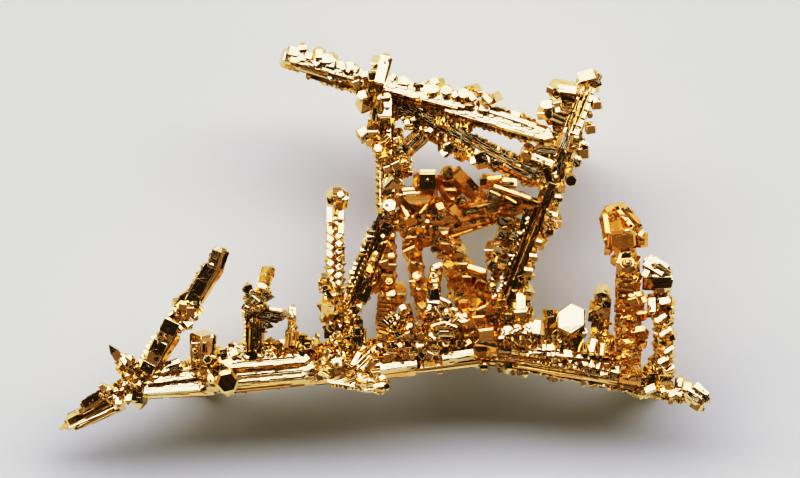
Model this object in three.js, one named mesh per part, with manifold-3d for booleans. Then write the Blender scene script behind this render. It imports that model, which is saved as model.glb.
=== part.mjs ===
import * as THREE from 'three';
import { mergeVertices } from 'three/addons/utils/BufferGeometryUtils.js';
import Module from 'manifold-3d';

// A branching crystal of native gold that lies on its back, in millimetres: +Z is up from the
// floor at z = 0, +X runs along the stem, and +Y points to the top bar.
const CLEARANCE = 0.03; // between a branch and the branch that it is grown onto
const SHORTEST_EDGE = 0.035; // a shorter one is closed up
const SAME_POINT = 1e-5; // corners nearer than this are one corner

// Widths of the crystals, across their flats.
const SMALL = 0.36;
const MEDIUM = 0.46;
const LARGE = 0.58;
const BLOCK = 0.72;

// Shapes of a crystal's end: how far it slopes, in widths, and the share of it left flat.
const BEVELLED = { tip: 0.25, flat: 0.6 };
const BLUNT = { tip: 0.45, flat: 0.3 };
const BLUNT_BOTH = { ...BLUNT, foot: 0.45, footFlat: 0.3 };
const POINTED = { tip: 0.75, flat: 0 };
const FOOT = { tip: 0.5, flat: 0.6 }; // of a crystal that stands on the floor
const SPIRAL = 2.4; // radians from one crystal of a knot to the next
const NEARLY_UPRIGHT = 0.95; // the share of its axis from which a crystal counts as upright

const GOLD = { colour: 0xd9a441, roughness: 0.22, metalness: 1 };

// The random series: its factor and its length, and the start of it for each branch.
const FACTOR = 16807;
const PERIOD = 2147483647;
const FIRST_SEED = 1000;
const SEED_STEP = 77;
let seed = FIRST_SEED;

const wasm = await Module();
wasm.setup();

/** The next number from 0 to 1 of a fixed random series. */
function random() {
  seed = (seed * FACTOR) % PERIOD;
  return (seed - 1) / (PERIOD - 1);
}

/** A random number up to `spread` either side of zero. */
function jitter(spread) {
  return (2 * random() - 1) * spread;
}

/** The point a `share` of the way between two points. */
function between(start, end, share) {
  return start.map((value, axis) => value + (end[axis] - value) * share);
}

/** A point moved along a direction by a distance. */
function shifted(point, direction, distance) {
  const size = Math.hypot(...direction);
  return point.map((value, axis) => value + (direction[axis] / size) * distance);
}

/**
 * One crystal: a straight prism between two end points, `roll` degrees round its axis. A positive
 * roll turns its upper face towards +Y. It is square in section unless `sides` says otherwise.
 */
function bar(from, to, width, roll = 0, shape = {}) {
  return { from, to, width, roll, ...shape };
}

/** A row of small pointed crystals that stand on a line and lean one way. */
function teeth(from, to, count, lean, reach, width) {
  const row = [];
  for (let tooth = 0; tooth < count; tooth += 1) {
    const root = between(from, to, (tooth + 0.5) / count);
    const way = lean.map((value) => value + jitter(0.15));
    const tip = shifted(root, way, reach * (1 + jitter(0.2)));
    row.push(bar(root, tip, width * (1 + jitter(0.2)), jitter(45), POINTED));
  }
  return row;
}

/** A knot of small crystals that point all ways out of a centre. */
function knot(centre, radius, count, width) {
  const crystals = [];
  for (let crystal = 0; crystal < count; crystal += 1) {
    const height = 1 - (2 * (crystal + 0.5)) / count;
    const turn = crystal * SPIRAL + jitter(0.4);
    const around = Math.sqrt(1 - height * height);
    const way = [around * Math.cos(turn), around * Math.sin(turn), height];
    const tip = shifted(centre, way, radius * (1 + jitter(0.15)));
    crystals.push(bar(centre, tip, width * (1 + jitter(0.2)), jitter(45), BLUNT));
  }
  return crystals;
}

/** Turns a closed geometry into a solid, with its shared corners merged. */
function toSolid(geometry) {
  geometry.deleteAttribute('normal');
  geometry.deleteAttribute('uv');
  const merged = mergeVertices(geometry, SAME_POINT);
  const corners = merged.index.array;
  const triangles = [];
  for (let first = 0; first < corners.length; first += 3) {
    const [a, b, c] = corners.slice(first, first + 3);
    if (a !== b && b !== c && c !== a) {
      triangles.push(a, b, c);
    }
  }
  return new wasm.Manifold(new wasm.Mesh({
    numProp: 3,
    vertProperties: new Float32Array(merged.attributes.position.array),
    triVerts: new Uint32Array(triangles),
  }));
}

/** The outline that is turned round a crystal's axis, from its foot to its tip. */
function profile(crystal, radius, half) {
  const { width, tip = 0, flat = 1, foot = 0, footFlat = 1 } = crystal;
  const slope = width * Math.min(1, (2 * half) / ((tip + foot || 1) * width));
  return [
    new THREE.Vector2(0, -half),
    new THREE.Vector2(radius * footFlat, -half),
    new THREE.Vector2(radius, -half + foot * slope),
    new THREE.Vector2(radius, half - tip * slope),
    new THREE.Vector2(radius * flat, half),
    new THREE.Vector2(0, half),
  ];
}

/** The solid of one crystal, made larger all round by `spare`. */
function crystalSolid(crystal, spare) {
  const { from, to, width, depth = width, sides = 4, roll } = crystal;
  const start = new THREE.Vector3(...from);
  const end = new THREE.Vector3(...to);
  const axis = end.clone().sub(start);
  const half = axis.length() / 2 + spare;
  axis.normalize();
  const radius = (width / 2 + spare) / Math.cos(Math.PI / sides);
  const geometry = new THREE.LatheGeometry(profile(crystal, radius, half), sides, Math.PI / sides);
  geometry.scale(1, 1, (depth + 2 * spare) / (width + 2 * spare));
  const upright = Math.abs(axis.z) > NEARLY_UPRIGHT;
  const up = upright ? new THREE.Vector3(0, 1, 0) : new THREE.Vector3(0, 0, 1);
  const side = new THREE.Vector3().crossVectors(axis, up).normalize();
  const front = new THREE.Vector3().crossVectors(side, axis);
  const sense = side.y < -0.001 ? -1 : 1;
  geometry.rotateY(THREE.MathUtils.degToRad(sense * roll));
  const frame = new THREE.Matrix4().makeBasis(side, axis, front);
  frame.setPosition(start.add(end).multiplyScalar(0.5));
  geometry.applyMatrix4(frame);
  return toSolid(geometry);
}

/** All crystals of a branch joined in one solid. */
function join(crystals, spare = 0) {
  const solids = crystals.map((crystal) => crystalSolid(crystal, spare));
  return solids.reduce((whole, solid) => whole.add(solid));
}

/** The pointed blade at the far left, the knot at its root and the short leaf-shaped spike above it. */
function leftBlade() {
  return [
    bar([-8.51, -5.09, 2.7], [-10.91, -6.47, 1.7], LARGE, 28, { depth: 0.43, tip: 1.2, flat: 0 }),
    ...knot([-8.41, -4.92, 2.8], 0.6, 4, MEDIUM),
    bar([-8.81, -5.26, 2.8], [-8.51, -5.63, 3.1], SMALL, 20),
    bar([-8.18, -4.99, 2.9], [-8.23, -5.83, 3], SMALL, 30, POINTED),
    // The spike.
    bar([-8.21, -4.79, 2.9], [-9.11, -3.89, 3.3], LARGE, 20, { depth: 0.43, tip: 1.2, flat: 0.25 }),
    bar([-8.81, -4.19, 3.2], [-9.25, -3.67, 3.5], 0.27, 10, POINTED),
    bar([-8.65, -4.36, 3.2], [-8.48, -3.99, 3.4], SMALL, 30),
  ];
}

/** The slanting post at the left, with a box crystal on its end. */
function leftProng() {
  return [
    bar([-8.11, -4.89, 2.8], [-7.21, -3.25, 3.2], LARGE, 20),
    bar([-7.47, -3.69, 3.2], [-6.24, -1.75, 3.6], LARGE, 5),
    bar([-6.54, -2.22, 3.6], [-5.67, -0.91, 3.9], MEDIUM, 25, { depth: 0.37 }),
    bar([-5.74, -1.11, 4], [-5.38, -0.39, 4.15], LARGE, 42, BEVELLED),
    bar([-7.14, -2.82, 3.4], [-6.54, -3.25, 3.5], SMALL, 30, POINTED),
    bar([-6.67, -2.42, 3.5], [-7.17, -2.15, 3.7], SMALL, 20, BLUNT),
  ];
}

/** The left part of the stem: two long bars side by side, and the crystals that stand on them. */
function leftStem() {
  return [
    bar([-8.18, -4.82, 2.8], [-2.66, -4.16, 3.2], LARGE, 25),
    bar([-8.11, -5.11, 2.8], [-2.32, -4.66, 3], LARGE, 25),
    // The box crystal, the six-sided crystal and the mound beside them.
    bar([-6.14, -4.66, 3.3], [-6.17, -3.35, 3.9], BLOCK, 22, BEVELLED),
    bar([-5.3, -4.86, 3.1], [-5.3, -4.96, 4.1], BLOCK, 15, { sides: 6, tip: 0.12, flat: 0.8 }),
    bar([-7.54, -4.49, 3], [-6.61, -4.32, 3.2], SMALL, 30, BLUNT),
    bar([-5.5, -4.32, 3.2], [-5.43, -3.72, 3.4], MEDIUM, 30, BLUNT),
    bar([-4.97, -4.26, 3.2], [-4.87, -3.62, 3.5], MEDIUM, 20, BLUNT),
    bar([-3.9, -4.26, 3.2], [-3.86, -3.25, 3.7], MEDIUM, 20, BLUNT),
    // The pale spire and the row of crystals at its foot.
    bar([-3.23, -4.12, 3.3], [-3.06, -2.25, 3.7], SMALL, 30, BLUNT),
    bar([-3.26, -4.19, 3.2], [-3.19, -2.98, 3.5], LARGE, 40, POINTED),
    bar([-2.63, -4.26, 3.2], [-2.69, -3.22, 3.5], LARGE, 30, BLUNT),
    // Crystals on the back, down to the floor.
    bar([-6, -4.82, 2.8], [-6, -4.82, 0], BLOCK, 10, FOOT),
    bar([-6, -4.82, 1.6], [-6.54, -4.66, 1.2], MEDIUM, 30, POINTED),
  ];
}

/** The short dark post on the left stem, with its side arm. */
function stubbyPost() {
  return [
    bar([-4.33, -4.26, 3], [-4.26, -1.91, 3.2], BLOCK, 20),
    bar([-4.13, -2.18, 3.2], [-3.93, -1.03, 3.5], MEDIUM, 30, BLUNT),
    bar([-4.36, -2.12, 3.3], [-4.63, -1.48, 3.4], SMALL, 20, BLUNT),
    bar([-4.26, -2.62, 3.3], [-3.39, -2.72, 3.6], MEDIUM, 30, { depth: 0.33 }),
    bar([-3.36, -2.63, 3.2], [-3.33, -2.65, 3.9], SMALL, 30, { sides: 6 }),
  ];
}

/** The upright white post with a cap crystal, and the crystals at its foot. */
function leftPost() {
  return [
    bar([-1.71, -2.58, 4.3], [-1.66, 1.03, 3.9], LARGE, 12),
    bar([-1.62, 0.79, 3.95], [-1.59, 1.61, 3.85], BLOCK, 24, BLUNT),
    bar([-1.69, -1.75, 4.2], [-2.22, -1.55, 4.2], SMALL, 20, POINTED),
    bar([-1.59, -2.32, 4.15], [-2.31, -2.38, 4.15], MEDIUM, 35, BLUNT),
  ];
}

/** The toothed slanting post behind the white one, with the block that it stands in. */
function slantedPost() {
  return [
    bar([-1.19, -2.52, 3.3], [0.08, 0.83, 3.77], LARGE, 30, { depth: 0.54 }),
    ...teeth([-1.22, -2.05, 3.4], [-0.32, 0.26, 3.84], 4, [-1, -0.35, 0.1], 0.47, 0.33),
    bar([0.12, 0.96, 3.62], [0.13, 1.06, 4.66], MEDIUM, 10, { sides: 6 }),
    // The block at its foot.
    bar([-1.52, -4.32, 3.2], [-1.35, -2.25, 3.5], 1, 20),
    bar([-1.52, -3.19, 3.5], [-2.22, -2.88, 3.7], LARGE, 20, BLUNT),
    bar([-1.32, -3.59, 3.4], [-0.69, -3.25, 3.7], MEDIUM, 40, POINTED),
    bar([-1.59, -3.19, 3.4], [-1.62, -2.92, 4.3], LARGE, 30, BLUNT),
  ];
}

/** The right part of the stem, with its end crystal. */
function rightStem() {
  return [
    bar([-2.59, -4.56, 3.1], [3.29, -3.99, 3.2], LARGE, 25),
    bar([2.83, -3.99, 3.1], [7.17, -4.62, 3], LARGE, 25),
    bar([6.64, -4.49, 3], [10.25, -5.39, 2.7], MEDIUM, 25),
    bar([-0.65, -4.19, 3.3], [1.29, -4.09, 3.4], MEDIUM, 30),
    bar([9.92, -5.23, 2.7], [10.85, -5.69, 2.8], BLOCK, 28, BEVELLED),
    bar([9.98, -5.33, 2.8], [10.08, -4.76, 3], MEDIUM, 20, POINTED),
    bar([8.85, -5.06, 2.9], [8.91, -4.72, 3.4], SMALL, 30, BLUNT),
    // A hanging crystal.
    bar([4.06, -4.09, 3.1], [4.06, -4.62, 3.2], SMALL, 0, POINTED),
    // Crystals on the back, down to the floor.
    bar([8.71, -4.92, 2.8], [8.71, -4.92, 0], BLOCK, 12, FOOT),
    bar([8.71, -4.92, 1.5], [9.28, -5.13, 1.1], MEDIUM, 25, POINTED),
  ];
}

/** The short spur that comes forward from the stem. */
function frontSpur() {
  return [
    bar([-1.92, -4.49, 3.3], [0.15, -5.09, 4.6], BLOCK, 25, { tip: 1.3, flat: 0 }),
    bar([-1.86, -4.39, 3.5], [-0.65, -4.72, 4.3], LARGE, 40),
    bar([-1.49, -4.39, 3.7], [-1.45, -4.22, 4.6], MEDIUM, 25),
    bar([-1.12, -4.52, 3.9], [-0.45, -3.89, 4.2], SMALL, 30),
    bar([-0.92, -4.59, 4], [-0.28, -4.42, 4.5], SMALL, 40, POINTED),
  ];
}

/** The post that carries on up to the top bar. */
function upperPost() {
  return [
    bar([0.08, 0.43, 3.51], [-0.02, 3.44, 3.7], MEDIUM, 20),
    bar([-0.18, 2.97, 3.8], [-0.22, 4.77, 3.5], MEDIUM, 20),
    bar([0.05, 3.27, 3.9], [-0.45, 2.67, 4.4], BLOCK, 15, BLUNT),
    bar([-0.18, 3.2, 4], [-0.79, 3.4, 4.2], MEDIUM, 25, BLUNT),
    bar([0.32, 1.06, 3.86], [0.25, 1.91, 4.3], LARGE, 38, BLUNT),
  ];
}

/** The long pale bar across the top, the crystals that cross it and the fringe below. */
function topBar() {
  return [
    bar([-3.36, 5.98, 4.2], [-0.12, 5.04, 3.8], BLOCK, 24),
    bar([-3.13, 5.68, 4], [-0.52, 4.84, 3.6], MEDIUM, -20),
    bar([-0.59, 5.08, 3.7], [2.83, 4.27, 3.8], LARGE, 24),
    bar([1.82, 4.47, 3.8], [5.7, 3.27, 3.8], MEDIUM, 24),
    bar([-2.99, 5.81, 4.2], [-3.46, 5.94, 4.3], LARGE, 15, { sides: 6 }),
    // The crystals on its upper side.
    bar([-2.76, 5.84, 4.2], [-2.86, 6.43, 4.5], MEDIUM, 30, BLUNT),
    bar([-2.16, 5.71, 4.2], [-2.16, 6.36, 4.5], SMALL, 40, POINTED),
    bar([-1.72, 5.51, 4.2], [-1.72, 6.08, 4.4], MEDIUM, 20),
    bar([1.12, 4.57, 3.9], [1.12, 5.18, 4.1], MEDIUM, 30, POINTED),
    bar([1.69, 4.44, 4], [1.79, 5.26, 4.3], LARGE, 20, BLUNT),
    bar([2.66, 4.24, 4], [2.73, 5.01, 4.3], MEDIUM, 20, BLUNT),
    bar([3.43, 4.04, 4], [3.46, 4.74, 4.2], MEDIUM, 20, BLUNT),
    // The crystals that cross it.
    bar([-0.25, 4.71, 3.8], [-0.05, 6.08, 4.5], LARGE, 20, BEVELLED),
    bar([-0.45, 4.91, 3.8], [-0.85, 3.97, 4.2], LARGE, 30, BLUNT),
    bar([-0.05, 4.97, 3.9], [-0.08, 3.74, 4.3], LARGE, 14),
    // The fringe below.
    bar([1.76, 4.37, 3.7], [1.89, 3.5, 3.8], MEDIUM, 30, POINTED),
    bar([2.42, 4.17, 3.7], [2.53, 3.37, 3.8], MEDIUM, 15, POINTED),
    ...teeth([3.03, 3.9, 3.7], [5.43, 3.17, 3.8], 4, [0, -1, 0.1], 0.47, MEDIUM),
    // Crystals on the back.
    bar([-0.25, 4.97, 3.8], [-0.18, 5.18, 2.6], BLOCK, 20, POINTED),
    bar([1.49, 4.57, 3.6], [1.42, 4.64, 2.8], BLOCK, 30, POINTED),
    bar([3.19, 4.11, 3.7], [3.23, 4.17, 2.6], BLOCK, 14, POINTED),
  ];
}

/** The dark striated bar under the top bar, and the short arm from it down to the upper post. */
function secondBar() {
  return [
    bar([0.02, 4.51, 3.4], [5.23, 1.83, 3.87], LARGE, 10),
    bar([0.82, 4.11, 3.4], [0.62, 3.54, 3.7], LARGE, 20, BLUNT),
    ...teeth([1.56, 3.5, 3.5], [2.83, 2.9, 3.7], 3, [0.1, -1, 0.4], 0.64, LARGE),
    bar([3.09, 2.9, 3.8], [3.23, 2.13, 4.09], LARGE, 20, { depth: 0.47 }),
    // The arm.
    bar([1.56, 3.64, 3.5], [0.62, 2.83, 3.8], LARGE, 20),
    bar([0.55, 3.3, 3.8], [0.48, 2.1, 3.97], LARGE, 30),
  ];
}

/** The long striated upright at the right of the middle. */
function rightUpright() {
  return [
    bar([6.84, 5.18, 4], [5.64, 1.9, 4.09], LARGE, 20),
    bar([5.77, 2.23, 4.2], [4.06, -2.58, 3.3], LARGE, -18),
    bar([5.1, 1.3, 3.85], [3.93, -2.18, 3.1], LARGE, 12),
    bar([4.1, -1.85, 3.2], [3.56, -4.19, 3.3], 0.94, 15),
    // The crystal on its top, and the prisms on its left.
    bar([6.74, 4.57, 4.1], [6.79, 5.48, 4.3], BLOCK, 30, BLUNT),
    bar([6.71, 4.77, 4.1], [5.33, 4.89, 4.4], LARGE, 25, BLUNT),
    bar([6.51, 4.11, 4.1], [5.12, 4.04, 4.5], BLOCK, 30, BLUNT),
    bar([6.04, 2.77, 4.1], [4.83, 2.87, 4.2], SMALL, 30, POINTED),
    bar([5.77, 2.33, 4.1], [4.46, 2.67, 4.2], SMALL, 20, BLUNT),
    // The crystals down its right edge.
    bar([6.57, 4.37, 4], [7.21, 4.31, 4.1], SMALL, 30, POINTED),
    bar([6.3, 3.6, 4], [7.11, 3.47, 4.2], SMALL, 20, POINTED),
    bar([6.1, 3.07, 4.1], [6.91, 2.8, 4.3], MEDIUM, 30, BLUNT),
    bar([5.84, 2.5, 4.1], [6.61, 2.43, 4.2], SMALL, 20, POINTED),
    bar([5.37, 1.26, 3.94], [5.94, 1.2, 4.01], MEDIUM, 10, POINTED),
    bar([5.1, 0.59, 3.77], [5.97, 0.36, 3.88], LARGE, 30, BLUNT),
    bar([4.77, -0.11, 3.49], [5.4, -0.31, 3.61], MEDIUM, 30, POINTED),
    bar([4.43, -0.91, 3.37], [5.07, -1.11, 3.49], MEDIUM, 35, POINTED),
    // The crystals on its left side lower down.
    bar([4.57, 0.16, 3.7], [3.7, 0.29, 3.95], LARGE, 25),
    bar([4.3, -0.64, 3.48], [3.36, -0.48, 3.75], LARGE, 30),
    bar([4.1, -1.85, 3.3], [4.97, -2.08, 3.5], MEDIUM, 40, POINTED),
    // Crystals on the back, down to the floor.
    bar([5.77, 2.77, 4], [5.77, 2.77, 0], BLOCK, 8, FOOT),
  ];
}

/** The fan of blades in the middle, above the columns. */
function fan() {
  return [
    bar([1.42, 0.69, 3.71], [1.35, 2.1, 4.47], BLOCK, 18, BEVELLED),
    bar([0.42, 0.29, 3.55], [2.36, 1.03, 4.05], 0.87, 20),
    bar([0.42, 1.36, 4.28], [0.95, 0.43, 4.11], SMALL, 35),
    bar([1.09, 1.23, 4.23], [1.12, 0.63, 4.29], LARGE, 10, { depth: 0.27, tip: 0.8, flat: 0 }),
    bar([3.63, 0.76, 3.64], [2.02, 2.2, 4.6], LARGE, 25, BLUNT),
    bar([5.17, 0.96, 3.82], [3.36, 1.53, 4.35], MEDIUM, 25),
    bar([4.9, 1.5, 3.93], [3.16, 1.83, 4.37], SMALL, 15),
    bar([1.69, 0.29, 3.65], [4.63, 1.1, 3.77], BLOCK, 25),
    bar([2.22, 0.69, 3.61], [2.36, -0.08, 3.31], MEDIUM, 20, POINTED),
    bar([1.49, 0.63, 3.69], [1.45, 0.69, 2.61], BLOCK, 20, POINTED),
  ];
}

/** A square column with short blunt crystals across it, one above the other. */
function beadedColumn(foot, head, crystals, width) {
  const across = [];
  for (let crystal = 0; crystal < crystals; crystal += 1) {
    const [x, y, z] = between(foot, head, (crystal + 0.5) / crystals);
    const reach = 0.56 * width * (1 + jitter(0.12));
    const slant = jitter(0.06);
    const ends = [[x - reach, y - slant, z], [x + reach, y + slant, z]];
    across.push(bar(...ends, 0.7 * width, 45 + jitter(10), BLUNT_BOTH));
  }
  return [bar(foot, head, 0.62 * width, 30), ...across];
}

/** The left column of the three under the fan. */
function leftColumn() {
  return [
    ...beadedColumn([0.12, -3.92, 3.2], [0.05, 0.43, 3.71], 4, 0.74),
    bar([0.02, -2.05, 3.1], [0.62, -1.98, 3.3], MEDIUM, 20),
  ];
}

/** The middle column, which slants to the right towards its foot. */
function middleColumn() {
  return beadedColumn([1.56, -3.99, 3], [0.82, 0.36, 3.68], 4, 0.74);
}

/** The right column, which slants and widens towards its foot. */
function rightColumn() {
  return [
    bar([1.69, 0.29, 3.65], [2.63, -1.65, 3.28], BLOCK, 25),
    bar([2.22, -0.91, 3.47], [3.23, -4.12, 3.2], 1.1, 14),
    bar([2.49, -1.28, 3.43], [3.43, -1.41, 3.57], MEDIUM, 25),
    bar([3.03, -1.91, 3.2], [3.7, -1.55, 3.52], MEDIUM, 20),
    bar([2.96, -2.38, 3.3], [3.06, -2.52, 4.1], BLOCK, 30, BLUNT),
    bar([3.29, -3.39, 3.3], [3.36, -3.45, 4], LARGE, 30, BLUNT),
    bar([2.56, -2.92, 3.1], [2.56, -2.92, 0], 0.87, 20, FOOT),
  ];
}

/** The pale column that leans forward before the others, and the low crystals beside it. */
function frontColumn() {
  return [
    bar([1.45, -2.18, 3.7], [1.72, -0.91, 3.9], SMALL, 20, BLUNT),
    bar([1.49, -1.88, 3.8], [2.36, -2.92, 4], LARGE, 30),
    bar([1.96, -3.99, 3.5], [2.02, -2.32, 3.8], BLOCK, 20),
    bar([2.36, -3.19, 3.7], [2.59, -2.72, 4], MEDIUM, 20, BLUNT),
    bar([1.82, -3.39, 3.6], [1.76, -3.19, 4.3], MEDIUM, 30, BLUNT),
    bar([0.42, -3.92, 3.5], [0.55, -2.45, 3.9], LARGE, 20, BLUNT),
    bar([0.79, -3.92, 3.5], [0.89, -2.88, 3.9], MEDIUM, 25, BLUNT),
    bar([0.02, -3.89, 3.5], [2.16, -3.79, 3.6], MEDIUM, 20),
  ];
}

/** The cluster with the big six-sided plate on the right stem. */
function whitePlateCluster() {
  return [
    bar([6.24, -3.05, 3.4], [6.2, -2.87, 4.1], 0.97, 8, { sides: 6 }),
    bar([5.5, -3.72, 3.3], [5.5, -2.48, 3.7], MEDIUM, 20, BLUNT),
    bar([5.33, -3.05, 3.6], [3.86, -3.22, 3.9], MEDIUM, 25, POINTED),
    bar([4.2, -3.39, 3.5], [4.16, -2.62, 3.7], SMALL, 20),
    bar([4.57, -3.39, 3.5], [4.53, -2.55, 3.8], LARGE, 10),
    bar([4.57, -2.78, 3.5], [4.6, -2.15, 3.8], MEDIUM, 30, POINTED),
    bar([7.17, -3.85, 3.4], [7.27, -1.88, 3.7], LARGE, 25, BLUNT),
    bar([6.97, -4.19, 3.4], [7.01, -3.25, 3.8], MEDIUM, 15),
    bar([6.51, -4.06, 3.3], [6.3, -3.19, 3.6], LARGE, 20),
    bar([4.16, -3.65, 3.2], [7.78, -4.26, 3.1], BLOCK, 25),
  ];
}

/** The post with the large end crystal at the right. */
function rightPost() {
  return [
    bar([8.11, -4.92, 3], [8.18, -0.58, 3.9], BLOCK, 12),
    bar([8.24, -2.12, 3.5], [8.71, -2.02, 3.7], MEDIUM, 20),
    bar([8.24, -3.45, 3.2], [8.85, -3.32, 3.5], MEDIUM, 30, BLUNT),
    // The end crystal: a large block with sloping upper faces.
    bar([8.08, -0.64, 4], [7.64, 1.03, 4.5], 1.14, 20, { depth: 1, tip: 0.4, flat: 0.3 }),
    bar([8.24, -0.48, 4.1], [8.18, 0.79, 4.4], BLOCK, 40, BLUNT),
    bar([8.14, -3.19, 3.4], [8.11, -3.05, 4.1], LARGE, 30, BLUNT),
    bar([8.14, -1.85, 3.6], [8.14, -1.78, 4.3], LARGE, 20, BLUNT),
    bar([8.04, -4.39, 3.2], [7.78, -4.19, 3.7], LARGE, 20, BLUNT),
  ];
}

/** The outer post, with its own end crystal. */
function outerPost() {
  return [
    bar([9.38, -5.19, 2.8], [9.18, -1.71, 3.4], MEDIUM, 20),
    bar([8.98, -1.85, 3.4], [9.25, -0.91, 3.7], 0.9, 25, BLUNT),
    bar([9.01, -2.78, 3.4], [9.01, -1.78, 3.5], SMALL, 20),
    bar([9.15, -2.38, 3.4], [9.78, -2.18, 3.7], LARGE, 30, BLUNT),
    bar([9.18, -3.39, 3.2], [9.82, -3.25, 3.5], LARGE, 40, BLUNT),
    bar([9.25, -4.12, 3.1], [9.75, -3.92, 3.4], LARGE, 20, BLUNT),
    bar([9.08, -5.13, 2.8], [8.88, -3.99, 3.2], SMALL, 30, POINTED),
  ];
}

const BRANCHES = [
  ['left_stem', leftStem],
  ['right_stem', rightStem],
  ['right_upright', rightUpright],
  ['top_bar', topBar],
  ['upper_post', upperPost],
  ['fan', fan],
  ['slanted_post', slantedPost],
  ['left_post', leftPost],
  ['second_bar', secondBar],
  ['front_spur', frontSpur],
  ['right_column', rightColumn],
  ['left_column', leftColumn],
  ['middle_column', middleColumn],
  ['front_column', frontColumn],
  ['white_plate_cluster', whitePlateCluster],
  ['right_post', rightPost],
  ['outer_post', outerPost],
  ['left_blade', leftBlade],
  ['left_prong', leftProng],
  ['stubby_post', stubbyPost],
];

/** The largest connected body of a solid. */
function largestBody(solid) {
  const bodies = solid.decompose();
  return bodies.reduce((best, body) => (body.volume() > best.volume() ? body : best));
}

/** Whether the boxes of two solids meet. */
function near(one, other) {
  const a = one.boundingBox();
  const b = other.boundingBox();
  return [0, 1, 2].every((axis) => a.min[axis] < b.max[axis] && b.min[axis] < a.max[axis]);
}

/** A named mesh of a solid. */
function toMesh(name, solid) {
  const { vertProperties, triVerts } = solid.getMesh();
  const geometry = new THREE.BufferGeometry();
  geometry.setAttribute('position', new THREE.BufferAttribute(vertProperties, 3));
  geometry.setIndex(new THREE.BufferAttribute(triVerts, 1));
  const material = new THREE.MeshStandardMaterial({
    color: GOLD.colour,
    roughness: GOLD.roughness,
    metalness: GOLD.metalness,
    flatShading: true,
  });
  const mesh = new THREE.Mesh(geometry, material);
  mesh.name = name;
  return mesh;
}

const specimen = new THREE.Group();
const cutters = [];
BRANCHES.forEach(([name, grow], index) => {
  seed = FIRST_SEED + SEED_STEP * index;
  const crystals = grow();
  let body = join(crystals);
  for (const cutter of cutters) {
    if (near(body, cutter)) {
      body = body.subtract(cutter);
    }
  }
  specimen.add(toMesh(name, largestBody(body.simplify(SHORTEST_EDGE))));
  cutters.push(join(crystals, CLEARANCE));
});

export default specimen;
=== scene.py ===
"""The looks of a branching crystal of native gold, 22 mm long, that lies on its back.

Each branch is one mesh of many crystals. A crystal is a straight prism between two points in
millimetres, with +X to the right, +Y towards the back and +Z up. A branch is described by short
functions that return lists of crystals, and to_object turns them into one mesh in metres.
"""

import math
import random

import bpy
import numpy as np
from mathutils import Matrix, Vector


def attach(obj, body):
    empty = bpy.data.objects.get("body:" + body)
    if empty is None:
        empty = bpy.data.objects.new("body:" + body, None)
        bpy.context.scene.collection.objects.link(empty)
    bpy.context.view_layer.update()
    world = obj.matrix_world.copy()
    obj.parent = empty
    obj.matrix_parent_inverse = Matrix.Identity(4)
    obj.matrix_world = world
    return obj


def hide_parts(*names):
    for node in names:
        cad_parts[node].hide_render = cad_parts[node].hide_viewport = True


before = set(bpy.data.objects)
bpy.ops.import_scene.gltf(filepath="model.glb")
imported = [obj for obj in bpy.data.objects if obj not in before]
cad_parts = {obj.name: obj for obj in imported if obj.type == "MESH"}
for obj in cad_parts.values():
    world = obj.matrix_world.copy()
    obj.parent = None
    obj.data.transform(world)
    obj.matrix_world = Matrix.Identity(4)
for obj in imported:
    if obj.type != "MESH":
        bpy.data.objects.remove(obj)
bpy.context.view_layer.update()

METRES = 0.001
FIRST_SEED = 1000

# The form of every crystal.
CHAMFER = 0.04  # share of a crystal's half width that its long edges lose
SMALLEST_CHAMFERED = 0.1  # narrower crystals have sharp edges
SHARPEST_TIP = 0.02  # the least share of the width that is left at a point
UPRIGHT = 0.95  # steeper crystals take +Y, not +Z, as the side that their front face looks to

# Growth steps: low plates on the long faces of the larger crystals.
SMALLEST_STEPPED = 0.2  # narrower crystals have plain faces
SHORTEST_STEPPED = 0.35
STEP = 0.02  # height of a growth step
STEP_EVERY = 0.35  # distance along a face with one more growth step

# Ways a face can look.
LIT = (0, 0.4, 0.92)
GLOW = (-0.05, 0.72, 0.69)
FORWARD = (0.1, -0.75, 0.66)
BACK = (0, 0, -1)

# Shapes of a crystal's ends: how far the tip and the foot slope, in widths, and the share of the
# width that is left flat.
BEVELLED = dict(tip=0.1, flat=0.8)
BLUNT = dict(tip=0.42, flat=0.15)
TAPERED = dict(tip=0.4, flat=0.3)
SPEARED = dict(tip=0.5, flat=0.2)
FACETED = dict(tip=0.35, flat=0.4, foot=0.25, foot_flat=0.5)
RIMMED = dict(tip=0.12, flat=0.7, foot=0.12, foot_flat=0.7)
POINTED = dict(tip=0.75, flat=0)
LONG_POINT = dict(tip=0.8, flat=0)
FOOT = dict(tip=0.5, flat=0.6)

# How groups of crystals vary.
TURN = 45  # widest random turn of a crystal round its axis, in degrees
GOLDEN_ANGLE = 2.4  # from one crystal of a knot to the next, in radians
PARALLEL = 0.85  # a crust crystal nearer than this to its line's direction is left out
SEATED = 0.3  # share of a crust crystal's length that is sunk in the branch
SHINGLE_LENGTH = 0.95  # share of its place that a shingle covers
BEAD_REACH = 0.8  # half length of a bead in pitches, so that beads overlap
BEAD_END = 0.35  # share of a bead's width that its ends keep
BLOCK_REACH = 0.85  # half height of a stacked block in pitches
CRUST_WIDTHS = (0.5, 1.35)  # the least and the most of what is asked, and so on below
CRUST_LENGTHS = (0.6, 1.0)
CELL_WIDTHS = (0.6, 1.2)
RIDGE_WIDTHS = (0.6, 1.3)
RIDGE_STARTS = (0, 0.3)  # share of the way along the face
RIDGE_ENDS = (0.7, 1)
TILE_WIDTHS = (0.6, 1.1)
TILE_HALF_LENGTHS = (0.4, 0.75)
TILE_TURNS = (-1.2, 0.6)  # radians from +X
SCALE_WIDTHS = (0.7, 1.3)
SCALE_HALF_LENGTHS = (0.9, 2.4)

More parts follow.
